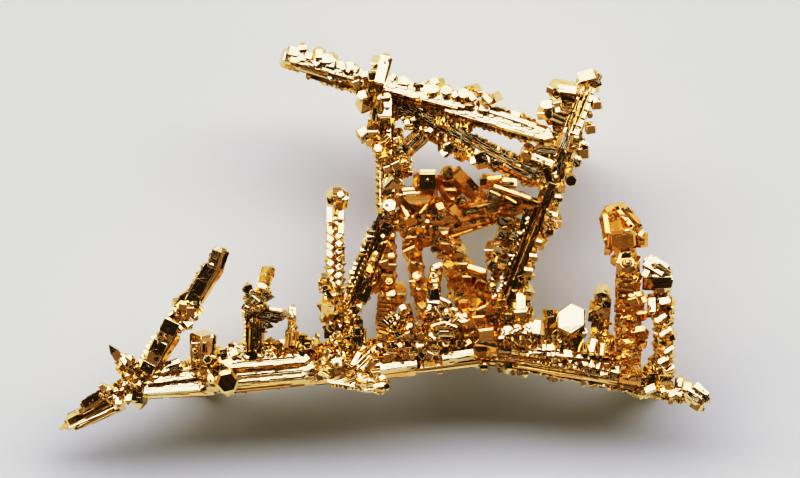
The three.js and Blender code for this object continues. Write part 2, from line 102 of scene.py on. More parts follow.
# Lamps: strength of light, and the colour of the two tinted ones.
FLOOR_LIGHT = 4.9
KEY_LIGHT = 1.7
SOFT_FILL = 0.23
LOW_FILL = 0.2
WARM_WHITE = (1, 0.94, 0.9)
AMBER = (1, 0.66, 0.38)
BETWEEN_LAMPS = (0.02, 0.015, 0.012, 1)
DUSK = (0.1, 0.072, 0.05, 1)
BELOW = (0.8, 0.54, 0.32, 1)
FLOOR_RADIUS = 8
FLOOR_COLOUR = (0.775, 0.785, 0.59, 1)

# Colours of the two golds, each a pale and a deep end for the random tone of each crystal. The orange
# pair is painted bounce light: its deeper orange stands in for the light that the crowded middle
# crystals reflect onto each other.
PALE_GOLD = (1, 0.82, 0.44, 1), (1, 0.73, 0.32, 1)
# Painted bounce light: this deeper orange stands in for light reflected from crystal to crystal.
ORANGE_GOLD_PAINTED_BOUNCE = (1, 0.71, 0.3, 1), (1, 0.58, 0.15, 1)

# Camera, in metres, and the tone curves of the picture.
FRAME_WIDTH = 0.02676
CAMERA_HEIGHT = 0.6
CAMERA_PLACE = (0.000485, -0.000142, CAMERA_HEIGHT + 0.003)
SENSOR = 36
WHITE = 1.6
BRIGHTEST = (1, 0.95)
TONES = [(0.031, 0.026), (0.075, 0.092), (0.156, 0.27), (0.281, 0.545), (0.4375, 0.78), (0.625, 0.88)]
BLUE_TONES = [(0.02, 0.02), (0.078, 0.1), (0.15, 0.215), (0.24, 0.335), (0.44, 0.5), (0.68, 0.705)]


def jitter(spread):
    """A random number up to `spread` either side of zero."""
    return random.uniform(-spread, spread)


def varied(value, share):
    """A value made larger or smaller at random, by up to a `share` of it."""
    return value * (1 + jitter(share))


def between(start, end, share):
    """The point a `share` of the way between two points."""
    return tuple(a + (b - a) * share for a, b in zip(start, end))


def spaced(start, end, count):
    """The middles of `count` equal lengths of the line between two points."""
    return [between(start, end, (number + 0.5) / count) for number in range(count)]


def shifted(point, direction, distance):
    """A point moved along a direction by a distance."""
    size = math.hypot(*direction)
    return tuple(a + b / size * distance for a, b in zip(point, direction))


def scattered(vector, spread):
    """A point or direction with a random change to each of its three numbers."""
    return tuple(value + jitter(spread) for value in vector)


# Single crystals.


def bar(start, end, width, roll=0, shape=None, **more):
    """One crystal: a straight prism between two points, `roll` degrees round its axis. A positive
    roll turns its upper face towards +Y. It is square in section unless `sides` says otherwise."""
    return {"start": start, "end": end, "width": width, "roll": roll, **(shape or {}), **more}


def rod(start, end, width, roll=22.5, **more):
    """A long eight-sided crystal. With that roll an edge runs along its top."""
    return bar(start, end, width, roll, sides=8, **more)


def plank(start, end, width, roll=24, shape=None, **more):
    """A long flat crystal, a third as deep as it is wide."""
    return bar(start, end, width, roll, shape, **{"depth": 0.35 * width, **more})


def facing(at, width, height=0.5, roll=0, lean=None, **more):
    """A crystal that points up from the floor and ends at a point, with a sloping rim round its
    flat end. It leans by `lean` in X and Y for each unit of height."""
    x, y, z = at
    lean = lean or (jitter(0.15), jitter(0.15))
    foot = (x - lean[0] * height, y - lean[1] * height, z - height)
    return bar(foot, at, width, roll, **{"tip": 0.12, "flat": 0.8, **more})


def tile(start, end, width, lean=LIT, shape=FACETED, **more):
    """A flat crystal over the line between two points, turned so that its face looks one way."""
    middle = between(start, end, 0.5)
    points = []
    for point in (start, end):
        fall = sum(lean[axis] * (point[axis] - middle[axis]) for axis in (0, 1)) / lean[2]
        points.append((point[0], point[1], middle[2] - fall))
    return bar(points[0], points[1], width, 0, shape, **{"front": lean, "depth": 0.5 * width, **more})


# Groups of crystals. The order of the random draws is part of the shape.


def knot(centre, radius, count, width, shape=BLUNT):
    """A knot of small crystals that point all ways out of a centre."""
    crystals = []
    for number in range(count):
        height = 1 - 2 * (number + 0.5) / count
        turn = number * GOLDEN_ANGLE + jitter(0.4)
        around = math.sqrt(1 - height * height)
        way = (around * math.cos(turn), around * math.sin(turn), height)
        tip = shifted(centre, way, varied(radius, 0.15))
        crystals.append(bar(centre, tip, varied(width, 0.2), jitter(TURN), shape))
    return crystals


def row(start, end, count, way, length, width, roll=20, shape=BEVELLED, spread=0.12):
    """A regular row of crystals that point one way, from one point to another."""
    crystals = []
    for root in spaced(start, end, count):
        aim = scattered(way, spread)
        tip = shifted(root, aim, varied(length, 0.22))
        crystals.append(bar(root, tip, varied(width, 0.18), roll + jitter(8), shape))
    return crystals


def beads(start, end, count, width, roll=0, wobble=0.12):
    """A string of eight-faced crystals that have grown into each other along a line."""
    axis = tuple(b - a for a, b in zip(start, end))
    pitch = math.hypot(*axis) / count
    reach = BEAD_REACH * pitch
    crystals = []
    for place in spaced(start, end, count):
        middle = scattered(place, wobble * width)
        size = varied(width, 0.15)
        low, high = shifted(middle, axis, -reach), shifted(middle, axis, reach)
        slope = 0.42 * 2 * reach / size
        ends = dict(tip=slope, flat=BEAD_END, foot=slope, foot_flat=BEAD_END)
        crystals.append(bar(low, high, size, roll + jitter(12), ends))
    return crystals


def lattice(turn, tilt):
    """Three directions at right angles: towards +Y, across it and to the front, turned by `turn`
    degrees in the plane of the floor and then tipped so that the upper faces show."""
    a, b = math.radians(turn), math.radians(tilt)
    up, across, front = np.array((0.0, 1, 0)), np.array((1.0, 0, 0)), np.array((0.0, 0, 1))
    up, across = up * math.cos(a) - across * math.sin(a), across * math.cos(a) + up * math.sin(a)
    tip = np.array(((1, 0, 0), (0, math.cos(b), -math.sin(b)), (0, math.sin(b), math.cos(b))))
    return tip @ up, tip @ across, tip @ front


def stacked(start, end, count, width, tilt=45, turn=14, loose=0.1):
    """A column of short blocks on top of each other, whose upper faces show."""
    crystals = []
    for place in spaced(start, end, count):
        up, across, front = lattice(jitter(turn), tilt + jitter(8))
        size = varied(width, 0.18)
        reach = BLOCK_REACH * math.dist(start, end) / count
        middle = np.array(place) + across * jitter(loose * width)
        foot, head = middle - up * reach, middle + up * reach
        crystals.append(bar(foot, head, size, 0, RIMMED, front=front))
    return crystals


def crust(start, end, count, reach, size, way=(0, 0, 0), pull=0.0, bare=2.0, tilt=30):
    """Small crystals that stand out of a line on all sides, or mostly one `way` as `pull` nears 1.
    They share one lattice, so their faces are nearly parallel. None rises more steeply than
    `bare`, which keeps the front of a branch clear."""
    axis = np.subtract(end, start) / max(1e-6, np.linalg.norm(np.subtract(end, start)))
    up, across, front = lattice(jitter(30), tilt + jitter(12))
    ways = [up, -up, across, -across, front, -front]
    ways += [up + across, up - across, up + front, across + front, front - across]
    crystals = []
    while len(crystals) < count:
        out = random.choice(ways)
        out = out / np.linalg.norm(out)
        stray = pull * (1 - abs(np.dot(out, way)))
        if abs(np.dot(out, axis)) > PARALLEL or np.dot(out, way) < -0.1 or out[2] > bare:
            continue
        if random.random() < stray:
            continue
        root = between(start, end, random.random())
        out = out + np.array([jitter(0.12) for _ in range(3)])
        width = size * random.uniform(*CRUST_WIDTHS)
        slip = [jitter(0.35 * reach) for _ in range(3)]
        slip[2] = min(slip[2], bare * reach)
        root = tuple(a + b for a, b in zip(root, slip))
        tip = shifted(root, out, reach * random.uniform(*CRUST_LENGTHS))
        shape = random.choice((BEVELLED, BLUNT, BLUNT, POINTED, POINTED))
        hint = front if abs(np.dot(out, front)) < 0.7 else up
        crystals.append(bar(between(root, tip, SEATED), tip, width, jitter(6), shape, front=hint))
    return crystals


def cells(start, end, count, width, spread=0.1):
    """Low raised cells with sloping rims, scattered along a line on a face that looks up."""
    crystals = []
    for number in range(count):
        x, y, z = between(start, end, (number + random.random()) / count)
        at = (x + jitter(spread), y + jitter(spread), z + 0.03 + jitter(0.02))
        size = width * random.uniform(*CELL_WIDTHS)
        sides = random.choice((4, 6, 8))
        crystals.append(facing(at, size, 0.2, jitter(TURN), sides=sides, tip=0.25, flat=0.5))
    return crystals


def ridges(start, end, side, count, width):
    """Thin raised lines that run along a face, side by side over the distance `side`."""
    lines = []
    for number in range(count):
        shift = tuple(value * (number + 0.5) / count for value in side)
        low, high = random.uniform(*RIDGE_STARTS), random.uniform(*RIDGE_ENDS)
        foot = tuple(a + b for a, b in zip(between(start, end, low), shift))
        head = tuple(a + b for a, b in zip(between(start, end, high), shift))
        lines.append(bar(foot, head, width * random.uniform(*RIDGE_WIDTHS), 45 + jitter(15)))
    return lines


def shingles(start, end, count, width, lean=LIT, shape=BEVELLED):
    """Flat crystals one after the other along a line, all tipped the same way."""
    crystals = []
    for number in range(count):
        foot = between(start, end, number / count)
        head = between(start, end, (number + SHINGLE_LENGTH) / count)
        way = scattered(lean, 0.04)
        crystals.append(tile(foot, head, varied(width, 0.12), way, shape))
    return crystals


def tiles(start, end, count, size, spread, lean=LIT, loose=0.12):
    """Small flat crystals strewn along a line, whose faces all look nearly one way."""
    crystals = []
    for x, y, z in spaced(start, end, count):
        middle = [x + jitter(spread), y + jitter(spread), z + jitter(0.04)]
        turn, half = random.uniform(*TILE_TURNS), size * random.uniform(*TILE_HALF_LENGTHS)
        along = (half * math.cos(turn), half * math.sin(turn), 0)
        foot = [a - b for a, b in zip(middle, along)]
        head = [a + b for a, b in zip(middle, along)]
        way = scattered(lean, loose)
        shape = random.choice((FACETED, FACETED, BLUNT, POINTED))
        crystals.append(tile(foot, head, size * random.uniform(*TILE_WIDTHS), way, shape))
    return crystals


def scales(start, end, width, count, size, lean=LIT):
    """Thin flat crystals strewn over a long face that looks one way, along it."""
    axis = np.subtract(end, start) / np.linalg.norm(np.subtract(end, start))
    across = np.cross(lean, axis)
    across /= np.linalg.norm(across)
    crystals = []
    for number in range(count):
        aside = random.uniform(-0.5, 0.5) * width
        middle = between(start, end, (number + random.random()) / count) + across * aside
        half = (axis + across * jitter(0.16)) * size * random.uniform(*SCALE_HALF_LENGTHS)
        way = scattered(lean, 0.05)
        wide = size * random.uniform(*SCALE_WIDTHS)
        crystals.append(tile(tuple(middle - half), tuple(middle + half), wide, way))
    return crystals


def leg(top, foot, width):
    """A thick crystal that points down to the floor, with a string of others grown round it."""
    low, lowest = between(foot, top, 0.24), between(foot, top, 0.14)
    return [
        bar(top, foot, width, jitter(15), FOOT),
        *beads(lowest, top, 4, 1.2 * width, 30, 0.1),
        *crust(low, top, 70, 0.8 * width, 0.4 * width),
        *crust(low, top, 60, 0.75 * width, 0.22 * width),
    ]


def beaded_column(start, end, blocks, width):
    """A column of blocks on top of each other, with side crystals all round."""
    return [
        *beads(start, end, blocks, 0.6 * width, 45, 0.06),
        *stacked(start, end, blocks, 0.68 * width, 48, 16, 0.08),
        *row(start, end, blocks, [-1, 0.1, 0.1], 0.45 * width, 0.5 * width, 45, BLUNT, 0.2),
        *row(start, end, blocks, [1, 0.1, 0.1], 0.45 * width, 0.5 * width, 45, BLUNT, 0.2),
        *row(start, end, blocks, [0, 0.1, -1], 0.55 * width, 0.45 * width, 35, BLUNT, 0.4),
        *crust(start, end, 4 * blocks, 0.42 * width, 0.22 * width, bare=0.3, tilt=45),
    ]


# The branches. The values that follow the points are, in millimetres and degrees:
#   bar, rod, plank   width, roll, shape of the ends
#   facing            width, height, roll, lean
#   tile              width, the way it looks, shape of the ends
#   row               count, way, length, width, roll, shape, how much the ways stray
#   beads, stacked    count, width, and how much they turn and stray
#   crust             count, reach, width, way, pull
#   knot              radius, count, width, shape
#   cells             count, width, spread
#   ridges            the way from the first to the last, count, width
#   shingles          count, width, the way they look, shape
#   tiles             count, size, spread, the way they look, how much that strays
#   scales            width of the face, count, size, the way they look


# left_blade: the pointed blade at the far left, the knot at its root and the leaf-shaped spike
# above it.


def left_blade_bars():
    """The long bars of the blade, with small crystals along both edges."""
    return [
        rod([-8.81, -5.33, 2.6], [-10.75, -6.36, 1.85], 0.5, 0, tip=0.5, flat=0.3),
        bar([-9.15, -5.19, 2.8], [-10.32, -5.93, 2.2], 0.3, -8, dict(tip=1, flat=0.1)),
        bar([-9.41, -5.26, 2.85], [-10.08, -5.66, 2.5], 0.27, 0),
        bar([-9.15, -5.33, 2.95], [-10.35, -6.03, 2.35], 0.17, 30, dict(tip=1, flat=0.1)),
        bar([-8.81, -5.63, 2.6], [-10.79, -6.46, 1.8], 0.37, 25, dict(tip=0.8, flat=0.2)),
        bar([-8.88, -5.79, 2.55], [-10.48, -6.5, 1.85], 0.2, 12, dict(tip=0.6, flat=0.2)),
        bar([-10.28, -6.1, 2.05], [-10.94, -6.53, 1.75], 0.33, -12, dict(tip=1.2, flat=0)),
        *ridges([-10.15, -6.33, 2.25], [-8.95, -5.73, 2.8], (0.05, -0.15, -0.1), 5, 0.05),
        *row([-10.15, -5.79, 2.4], [-9.35, -5.29, 2.8], 8, [-0.5, 0.8, 0], 0.17, 0.17, -5, BLUNT),
        *row([-10.48, -6.33, 1.9], [-9.01, -5.76, 2.6], 9, [0.3, -0.9, -0.1], 0.17, 0.17, 15, BLUNT),
        *crust([-10.69, -6.36, 1.8], [-10.28, -6.1, 2.1], 14, 0.17, 0.1, bare=0.1),
        *crust([-10.42, -6.06, 1.9], [-9.08, -5.39, 2.6], 40, 0.27, 0.13, bare=0.1),
    ]


def left_blade_knot():
    """The knot of small crystals at the root of the blade."""
    return [
        *knot([-8.41, -4.92, 2.7], 0.5, 20, 0.2),
        *knot([-8.88, -5.23, 2.7], 0.37, 16, 0.17),
        *crust([-9.41, -5.43, 2.8], [-8.01, -4.69, 3], 130, 0.4, 0.15),
        bar([-8.65, -5.36, 3], [-8.61, -5.69, 3.1], 0.27, 20, BLUNT),
        bar([-8.98, -5.46, 2.9], [-8.95, -5.79, 3], 0.23, 20, BLUNT),
        bar([-8.21, -5.26, 3.05], [-8.23, -5.86, 3], 0.4, 25, dict(tip=0.6, flat=0.2)),
        bar([-8.34, -5.19, 3.1], [-8.41, -5.66, 3.1], 0.27, -10, BLUNT),
    ]


def left_blade_spike():
    """The leaf-shaped spike above the knot."""
    return [
        bar([-8.21, -4.79, 2.9], [-9.08, -3.92, 3.3], 0.4, 20, dict(depth=0.33, tip=1.1, flat=0.2)),
        bar([-8.34, -4.46, 3.1], [-8.91, -4.09, 3.35], 0.33, 10, LONG_POINT),
        bar([-8.88, -4.16, 3.2], [-9.25, -3.67, 3.5], 0.27, -5, dict(tip=1, flat=0)),
        bar([-8.65, -4.42, 3.2], [-8.48, -4.02, 3.4], 0.27, 30, BLUNT),
        bar([-8.75, -4.59, 3.1], [-8.98, -4.32, 3.2], 0.23, 30, BLUNT),
        *crust([-8.98, -4.02, 3.1], [-8.28, -4.72, 2.9], 46, 0.27, 0.13, bare=0.4),
    ]


# left_prong: the slanting post at the left, with a box crystal on its end.


def left_prong_lumps():
    """Dark flat lumps up to the dark plate, with a pale strip down their right side."""
    return [
        rod([-8.11, -4.89, 2.8], [-7.14, -3.19, 3.2], 0.43, 0),
        bar([-8.01, -4.59, 3.3], [-7.83, -4.22, 3.4], 0.45, 4, RIMMED),
        bar([-7.84, -4.29, 3.36], [-7.64, -3.89, 3.48], 0.43, -4, RIMMED),
        bar([-7.68, -3.95, 3.44], [-7.44, -3.49, 3.58], 0.48, 2, RIMMED),
        bar([-7.47, -3.59, 3.5], [-7.27, -3.19, 3.63], 0.5, -3, RIMMED),
        bar([-7.31, -3.29, 3.6], [-7.07, -2.78, 3.75], 0.55, 0, RIMMED),
        bar([-7.78, -4.62, 3.2], [-7.01, -3.39, 3.5], 0.13, 30),
        bar([-7.61, -4.52, 3.1], [-6.94, -3.45, 3.4], 0.13, 50),
        *row([-8.08, -4.39, 3.2], [-7.34, -3.12, 3.5], 8, [-0.8, 0.4, 0.3], 0.27, 0.23, 10, BLUNT),
        *cells([-8.04, -4.59, 3.4], [-7.61, -3.69, 3.65], 12, 0.23, 0.12),
        *cells([-7.68, -3.85, 3.65], [-7.07, -2.78, 3.95], 14, 0.23, 0.16),
        *crust([-8.01, -4.52, 3], [-6.94, -2.92, 3.3], 90, 0.3, 0.13, bare=0.1),
        *crust([-8.01, -4.52, 3], [-6.94, -2.92, 3.2], 16, 0.37, 0.3, BACK, 0.6),
    ]


def left_prong_cluster():
    """The pale cluster half way up the prong."""
    return [
        bar([-6.54, -2.38, 3.7], [-6.81, -1.95, 3.75], 0.37, 12, BEVELLED),
        bar([-6.67, -2.52, 3.75], [-7.11, -2.15, 3.85], 0.33, 18, BLUNT),
        bar([-6.74, -2.65, 3.7], [-7.11, -2.45, 3.8], 0.27, 20, BLUNT),
        bar([-6.34, -2.45, 3.8], [-6.3, -2.05, 3.85], 0.3, 15, BEVELLED),
        bar([-6.77, -2.48, 4], [-6.74, -2.25, 4.1], 0.27, 5, BEVELLED),
        bar([-6.51, -2.65, 3.9], [-6.51, -2.38, 4], 0.27, 0, BEVELLED),
        bar([-6.61, -2.52, 3.6], [-6.27, -2.85, 3.7], 0.23, 10, BLUNT),
        bar([-6.77, -2.78, 3.6], [-6.47, -3.15, 3.65], 0.27, 20, BLUNT),
        bar([-6.97, -2.92, 3.5], [-6.71, -3.22, 3.55], 0.23, 20, BLUNT),
        *crust([-6.94, -2.72, 3.5], [-6.34, -2.18, 3.6], 90, 0.43, 0.15),
    ]


def left_prong_plate():
    """The plate-like upper part, dark on its face and bright along its right edge."""
    return [
        bar([-6.61, -2.38, 3.6], [-5.74, -0.94, 3.9], 0.4, 0, dict(depth=0.33, tip=0.2, flat=0.7)),
        bar([-6.54, -2.28, 3.75], [-6.3, -1.88, 3.84], 0.38, 0, RIMMED),
        bar([-6.37, -1.98, 3.85], [-6.07, -1.48, 3.96], 0.42, -2, RIMMED),
        bar([-6.14, -1.58, 3.92], [-5.77, -0.98, 4.06], 0.43, 2, RIMMED),
        bar([-6.3, -2.28, 3.8], [-5.57, -1.11, 4], 0.12, 25),
        bar([-6.17, -2.28, 3.7], [-5.47, -1.18, 3.9], 0.12, 45),
        *ridges([-6.37, -2.15, 3.95], [-5.74, -1.11, 4.1], (0.14, -0.06, 0), 3, 0.05),
        *cells([-6.54, -2.18, 3.85], [-5.74, -0.98, 4.1], 16, 0.23, 0.12),
        *row([-6.64, -2.12, 3.8], [-6, -1.05, 4], 7, [-0.8, 0.4, 0], 0.17, 0.2, 0, BLUNT),
        *crust([-6.54, -2.18, 3.6], [-5.74, -0.98, 3.9], 50, 0.27, 0.13, bare=0.1),
    ]


def left_prong_box():
    """The box crystal on the end of the prong."""
    return [
        bar([-5.7, -1.11, 4.1], [-5.48, -0.41, 4.2], 0.57, 22, dict(sides=6, tip=0.25, flat=0.6)),
        bar([-5.6, -1.11, 4.2], [-5.35, -0.51, 4.25], 0.3, -8, BEVELLED),
        bar([-5.8, -0.91, 4.2], [-5.67, -0.61, 4.3], 0.2, 20, BLUNT),
    ]


# left_stem: the left part of the stem: long bars side by side, and the crystals that stand on
# them.


def left_stem_bars():
    """The long bars. Their upper faces lean towards +Y, so they are the bright ones."""
    return [
        plank([-8.11, -5.16, 3.05], [-6, -5.01, 3.2], 0.4, 22, dict(tip=0.6, flat=0.1)),
        rod([-8.11, -5.26, 2.75], [-5.74, -5.13, 2.9], 0.47, 0),
        plank([-7.98, -4.86, 3.15], [-6, -4.61, 3.25], 0.33, 24, SPEARED),
        rod([-7.98, -4.92, 2.9], [-6, -4.72, 3], 0.4, 10),
        bar([-7.71, -4.59, 3.05], [-6.07, -4.36, 3.15], 0.3, 30, SPEARED),
        rod([-6, -4.96, 2.95], [-2.39, -4.64, 3.05], 0.64, 0, tip=0.3, flat=0.5),
        plank([-5.8, -4.84, 3.2], [-2.59, -4.56, 3.3], 0.4, 22, SPEARED),
        plank([-5.2, -5.06, 3.05], [-2.46, -4.77, 3.15], 0.3, -6),
        rod([-6.07, -4.42, 3.05], [-2.46, -4.16, 3.15], 0.57, 0, tip=0.3, flat=0.4),
        plank([-6, -4.36, 3.3], [-2.53, -4.09, 3.4], 0.4, 22, TAPERED),
        plank([-5.87, -4.09, 3.25], [-2.66, -3.89, 3.35], 0.2, 26),
        bar([-7.88, -5.08, 3.05], [-6, -4.86, 3.1], 0.1, 45),
        bar([-6, -4.64, 3.2], [-2.59, -4.36, 3.3], 0.1, 45),
        *ridges([-5.67, -4.29, 3.42], [-2.66, -4.02, 3.5], (0.05, -0.28, -0.08), 5, 0.04),
        *ridges([-5.67, -4.76, 3.38], [-2.66, -4.49, 3.45], (0.05, -0.2, -0.08), 3, 0.04),
        *ridges([-7.88, -4.72, 3.2], [-6.07, -4.46, 3.3], (0.05, -0.25, -0.08), 4, 0.04),
        *ridges([-5.67, -5.09, 3.15], [-2.46, -4.79, 3.25], (0.03, -0.2, -0.02), 4, 0.05),
        *ridges([-8.01, -5.26, 3], [-5.74, -5.13, 3.1], (0.05, -0.15, -0.05), 4, 0.05),
        *scales([-7.94, -5.16, 3.13], [-6.1, -5.03, 3.27], 0.3, 16, 0.08),
        *scales([-7.81, -4.84, 3.23], [-6.1, -4.62, 3.32], 0.23, 14, 0.07),
        *scales([-5.67, -4.84, 3.27], [-2.73, -4.57, 3.37], 0.3, 26, 0.08),
        *scales([-5.87, -4.36, 3.37], [-2.66, -4.11, 3.47], 0.3, 28, 0.08),
        plank([-5, -5.19, 2.98], [-2.39, -4.92, 3.08], 0.2, -22),
        *row([-5.27, -5.23, 2.85], [-2.39, -4.92, 2.9], 30, [0.1, -1, 0], 0.12, 0.11, -10, BLUNT, 0.2),
        bar([-2.93, -4.86, 3.1], [-2.26, -4.69, 3.2], 0.23, 30, POINTED),
        bar([-2.86, -4.52, 3.2], [-2.19, -4.32, 3.3], 0.27, 20, POINTED),
    ]


def left_stem_mound():
    """The mound at the left, and a raised bar beside it."""
    return [
        bar([-7.51, -4.56, 3.2], [-6.71, -4.29, 3.25], 0.27, 24, BLUNT),
        bar([-7.37, -4.39, 3.3], [-6.81, -4.22, 3.3], 0.2, 28, BLUNT),
        bar([-7.21, -4.52, 3.35], [-6.87, -4.42, 3.4], 0.17, 0, BEVELLED),
        *crust([-7.88, -4.62, 3], [-6.27, -4.29, 3.1], 60, 0.2, 0.12, (0, 1, 0), 0.5),
    ]


def left_stem_box():
    """The box crystal with etched faces, which stands on the left stem."""
    return [
        bar([-6.1, -4.39, 3.4], [-6.1, -3.29, 3.75], 0.64, 38, dict(tip=0.1, flat=0.85)),
        bar([-6.37, -4.26, 3.55], [-6.34, -3.55, 3.85], 0.3, 0, BEVELLED),
        bar([-6.1, -4.12, 3.8], [-6.1, -3.55, 3.95], 0.27, -10, BEVELLED),
        bar([-6.24, -3.52, 3.85], [-5.74, -3.39, 3.85], 0.12, 20),
        bar([-5.77, -3.92, 3.7], [-5.7, -3.35, 3.8], 0.12, 20),
        *cells([-6.37, -4.19, 3.85], [-6.14, -3.62, 4], 14, 0.17, 0.1),
        bar([-5.87, -4.32, 3.6], [-5.64, -3.89, 3.65], 0.27, 20, BLUNT),
        *crust([-6.2, -4.32, 3.5], [-6.07, -3.85, 3.6], 24, 0.33, 0.13, bare=0.3),
    ]


def left_stem_forward_crystals():
    """Crystals that face forward, and the small white ones between them."""
    return [
        facing([-5.94, -4.16, 4.2], 0.28, 0.7, 10, (0.05, -0.05), sides=6, tip=0.12, flat=0.8),
        facing([-5.28, -4.94, 4], 0.74, 1, 12, (0.12, -0.22), sides=6, tip=0.14, flat=0.76),
        bar([-5.4, -4.79, 3.3], [-5.54, -4.34, 3.75], 0.37, 30, BLUNT),
        bar([-5.27, -5.33, 3.3], [-5.07, -5.06, 3.7], 0.2, 30),
        facing([-6.1, -4.56, 3.6], 0.23, 0.4, 30, (0.1, 0.4)),
        bar([-6.07, -4.72, 3.3], [-5.84, -4.46, 3.6], 0.23, 20, BLUNT),
        bar([-5.97, -4.59, 3.4], [-5.7, -4.96, 3.6], 0.2, 30, BLUNT),
        *crust([-6.07, -4.66, 3.2], [-5.47, -4.72, 3.3], 26, 0.27, 0.13),
    ]


def left_stem_upper_edge():
    """The crowd of small crystals along the upper edge of the left stem."""
    return [
        *row([-5.74, -4.09, 3.1], [-2.12, -3.82, 3.2], 34, [0.05, 1, 0.1], 0.33, 0.15, 30, BLUNT, 0.3),
        *row([-5.54, -4.09, 3.2], [-2.26, -3.82, 3.3], 30, [0, 1, 0.35], 0.27, 0.15, 15, POINTED, 0.35),
        *row([-5.33, -4.06, 3.1], [-2.19, -3.79, 3.1], 16, [0, 1, -0.15], 0.47, 0.17, 10, BLUNT, 0.3),
        *crust([-5.67, -4.06, 3.1], [-2.06, -3.79, 3.2], 200, 0.27, 0.11, (0, 1, 0), 0.4),
        bar([-4.97, -4.12, 3.3], [-4.83, -3.59, 3.2], 0.33, 5, BLUNT),
        bar([-5.17, -4.06, 3.4], [-4.77, -3.89, 3.4], 0.23, 35, POINTED),
        bar([-3.93, -4.12, 3.2], [-3.83, -3.39, 3.2], 0.3, 40, POINTED),
        bar([-4.13, -4.06, 3.2], [-4.06, -3.52, 3.2], 0.27, 35, BLUNT),
        bar([-3.56, -4.06, 3.3], [-3.63, -3.52, 3.4], 0.27, 30, BLUNT),
        bar([-5.4, -4.12, 3.3], [-5.47, -3.75, 3.3], 0.23, 10, BLUNT),
        bar([-4.53, -4.12, 3.3], [-4.5, -3.75, 3.3], 0.2, 35, BLUNT),
    ]


def left_stem_spire():
    """The pale spire and the crystals at its foot."""
    return [
        bar([-3.14, -3.32, 3.5], [-3.11, -2.32, 3.3], 0.2, 40, dict(tip=0.6, flat=0.3)),
        *tiles([-3.14, -3.19, 3.75], [-3.11, -2.45, 3.65], 8, 0.1, 0.05, (0, 0.55, 0.83), 0.2),
        bar([-3.13, -2.72, 3.55], [-3.09, -2.35, 3.45], 0.23, 0, BLUNT),
        bar([-3.26, -3.79, 3.5], [-3.19, -3.05, 3.4], 0.2, 40, POINTED),
        bar([-2.99, -3.79, 3.5], [-3.04, -3.12, 3.4], 0.2, 45, POINTED),
        bar([-3.13, -3.72, 3.6], [-3.13, -3.19, 3.5], 0.17, 40, POINTED),
        bar([-2.79, -4.12, 3.3], [-2.76, -3.25, 3.3], 0.27, 25, BLUNT),
        bar([-2.56, -4.06, 3.3], [-2.49, -3.42, 3.3], 0.23, 30, BLUNT),
        bar([-2.26, -4.12, 3.3], [-2.26, -3.52, 3.4], 0.27, 35, BLUNT),
        facing([-2.59, -3.72, 3.6], 0.2, 0.4, 10, (0, 0)),
        *crust([-3.39, -3.92, 3.2], [-2.26, -3.72, 3.2], 90, 0.33, 0.13),
        *crust([-3.16, -3.65, 3.3], [-3.13, -3.05, 3.4], 30, 0.2, 0.1),
    ]


def left_stem_back():
    """Crystals on the back, and the leg down to the floor."""
    return [
        *leg([-6, -4.82, 2.8], [-6, -4.82, 0], 0.67),
        bar([-6, -4.82, 1.7], [-6.54, -4.66, 1.2], 0.47, 30, BLUNT),
        *row([-7.81, -5.06, 2.8], [-2.46, -4.56, 2.9], 16, [0, 0.1, -1], 0.57, 0.4, 20, BLUNT, 0.4),
        *crust([-7.88, -5.06, 2.9], [-2.32, -4.56, 3], 120, 0.4, 0.2, BACK, 0.35, bare=0.1),
    ]


# stubby_post: the short dark post on the left stem, with its side arm.


def stubby_post_shaft():
    """The dark shaft with a pale strip down its left edge."""
    return [
        bar([-4.4, -4.19, 3.2], [-4.4, -2.52, 3.3], 0.5, 0),
        bar([-4.63, -4.12, 3.25], [-4.62, -2.58, 3.3], 0.13, 40),
        bar([-4.2, -4.19, 3.1], [-4.2, -2.58, 3.2], 0.2, -35),
        *ridges([-4.57, -3.92, 3.5], [-4.53, -2.78, 3.6], (0.34, 0, 0), 5, 0.06),
        *cells([-4.36, -3.85, 3.48], [-4.36, -2.78, 3.58], 9, 0.3, 0.08),
        *row([-4.67, -3.85, 3.2], [-4.67, -2.72, 3.3], 8, [-1, 0.3, 0], 0.1, 0.13, 20, BLUNT),
    ]


def stubby_post_head():
    """The crowded head."""
    return [
        bar([-4.67, -2.55, 3.5], [-4.3, -2.08, 3.6], 0.37, 0, BEVELLED),
        bar([-4.43, -2.58, 3.6], [-4.03, -2.28, 3.65], 0.3, -8, BEVELLED),
        bar([-4.53, -2.32, 3.5], [-3.93, -2.15, 3.6], 0.3, 0, BLUNT),
        bar([-4.26, -2.28, 3.5], [-4.1, -1.78, 3.5], 0.3, 40, BEVELLED),
        *knot([-4.33, -2.38, 3.3], 0.4, 20, 0.2),
        *cells([-4.6, -2.45, 3.75], [-4, -2.25, 3.85], 10, 0.2, 0.15),
        facing([-4.43, -1.95, 3.75], 0.23, 0.5, 20, (0, 0), sides=6),
        bar([-4.16, -2.12, 3.4], [-4.08, -1.51, 3.3], 0.3, 12, BLUNT),
        bar([-4.06, -1.61, 3.45], [-3.9, -1.06, 3.4], 0.32, 38, dict(tip=0.25, flat=0.6)),
        bar([-4.16, -1.58, 3.4], [-4.06, -1.15, 3.3], 0.2, 5, BLUNT),
        facing([-3.93, -1.28, 3.6], 0.17, 0.2, 20, (0, 0)),
        bar([-4.46, -2.12, 3.4], [-4.63, -1.58, 3.45], 0.27, -8, BLUNT),
        bar([-4.57, -2.02, 3.45], [-4.77, -1.71, 3.4], 0.2, 8, BLUNT),
        bar([-4.13, -2.05, 3.5], [-3.7, -2.08, 3.5], 0.3, -5, POINTED),
        bar([-4.53, -2.58, 3.2], [-4.83, -2.55, 3.3], 0.23, 20, POINTED),
        *crust([-4.43, -2.72, 3.2], [-4.23, -1.91, 3.2], 90, 0.4, 0.13, bare=0.3),
        *crust([-4.13, -1.85, 3.3], [-3.93, -1.18, 3.3], 30, 0.27, 0.13),
    ]


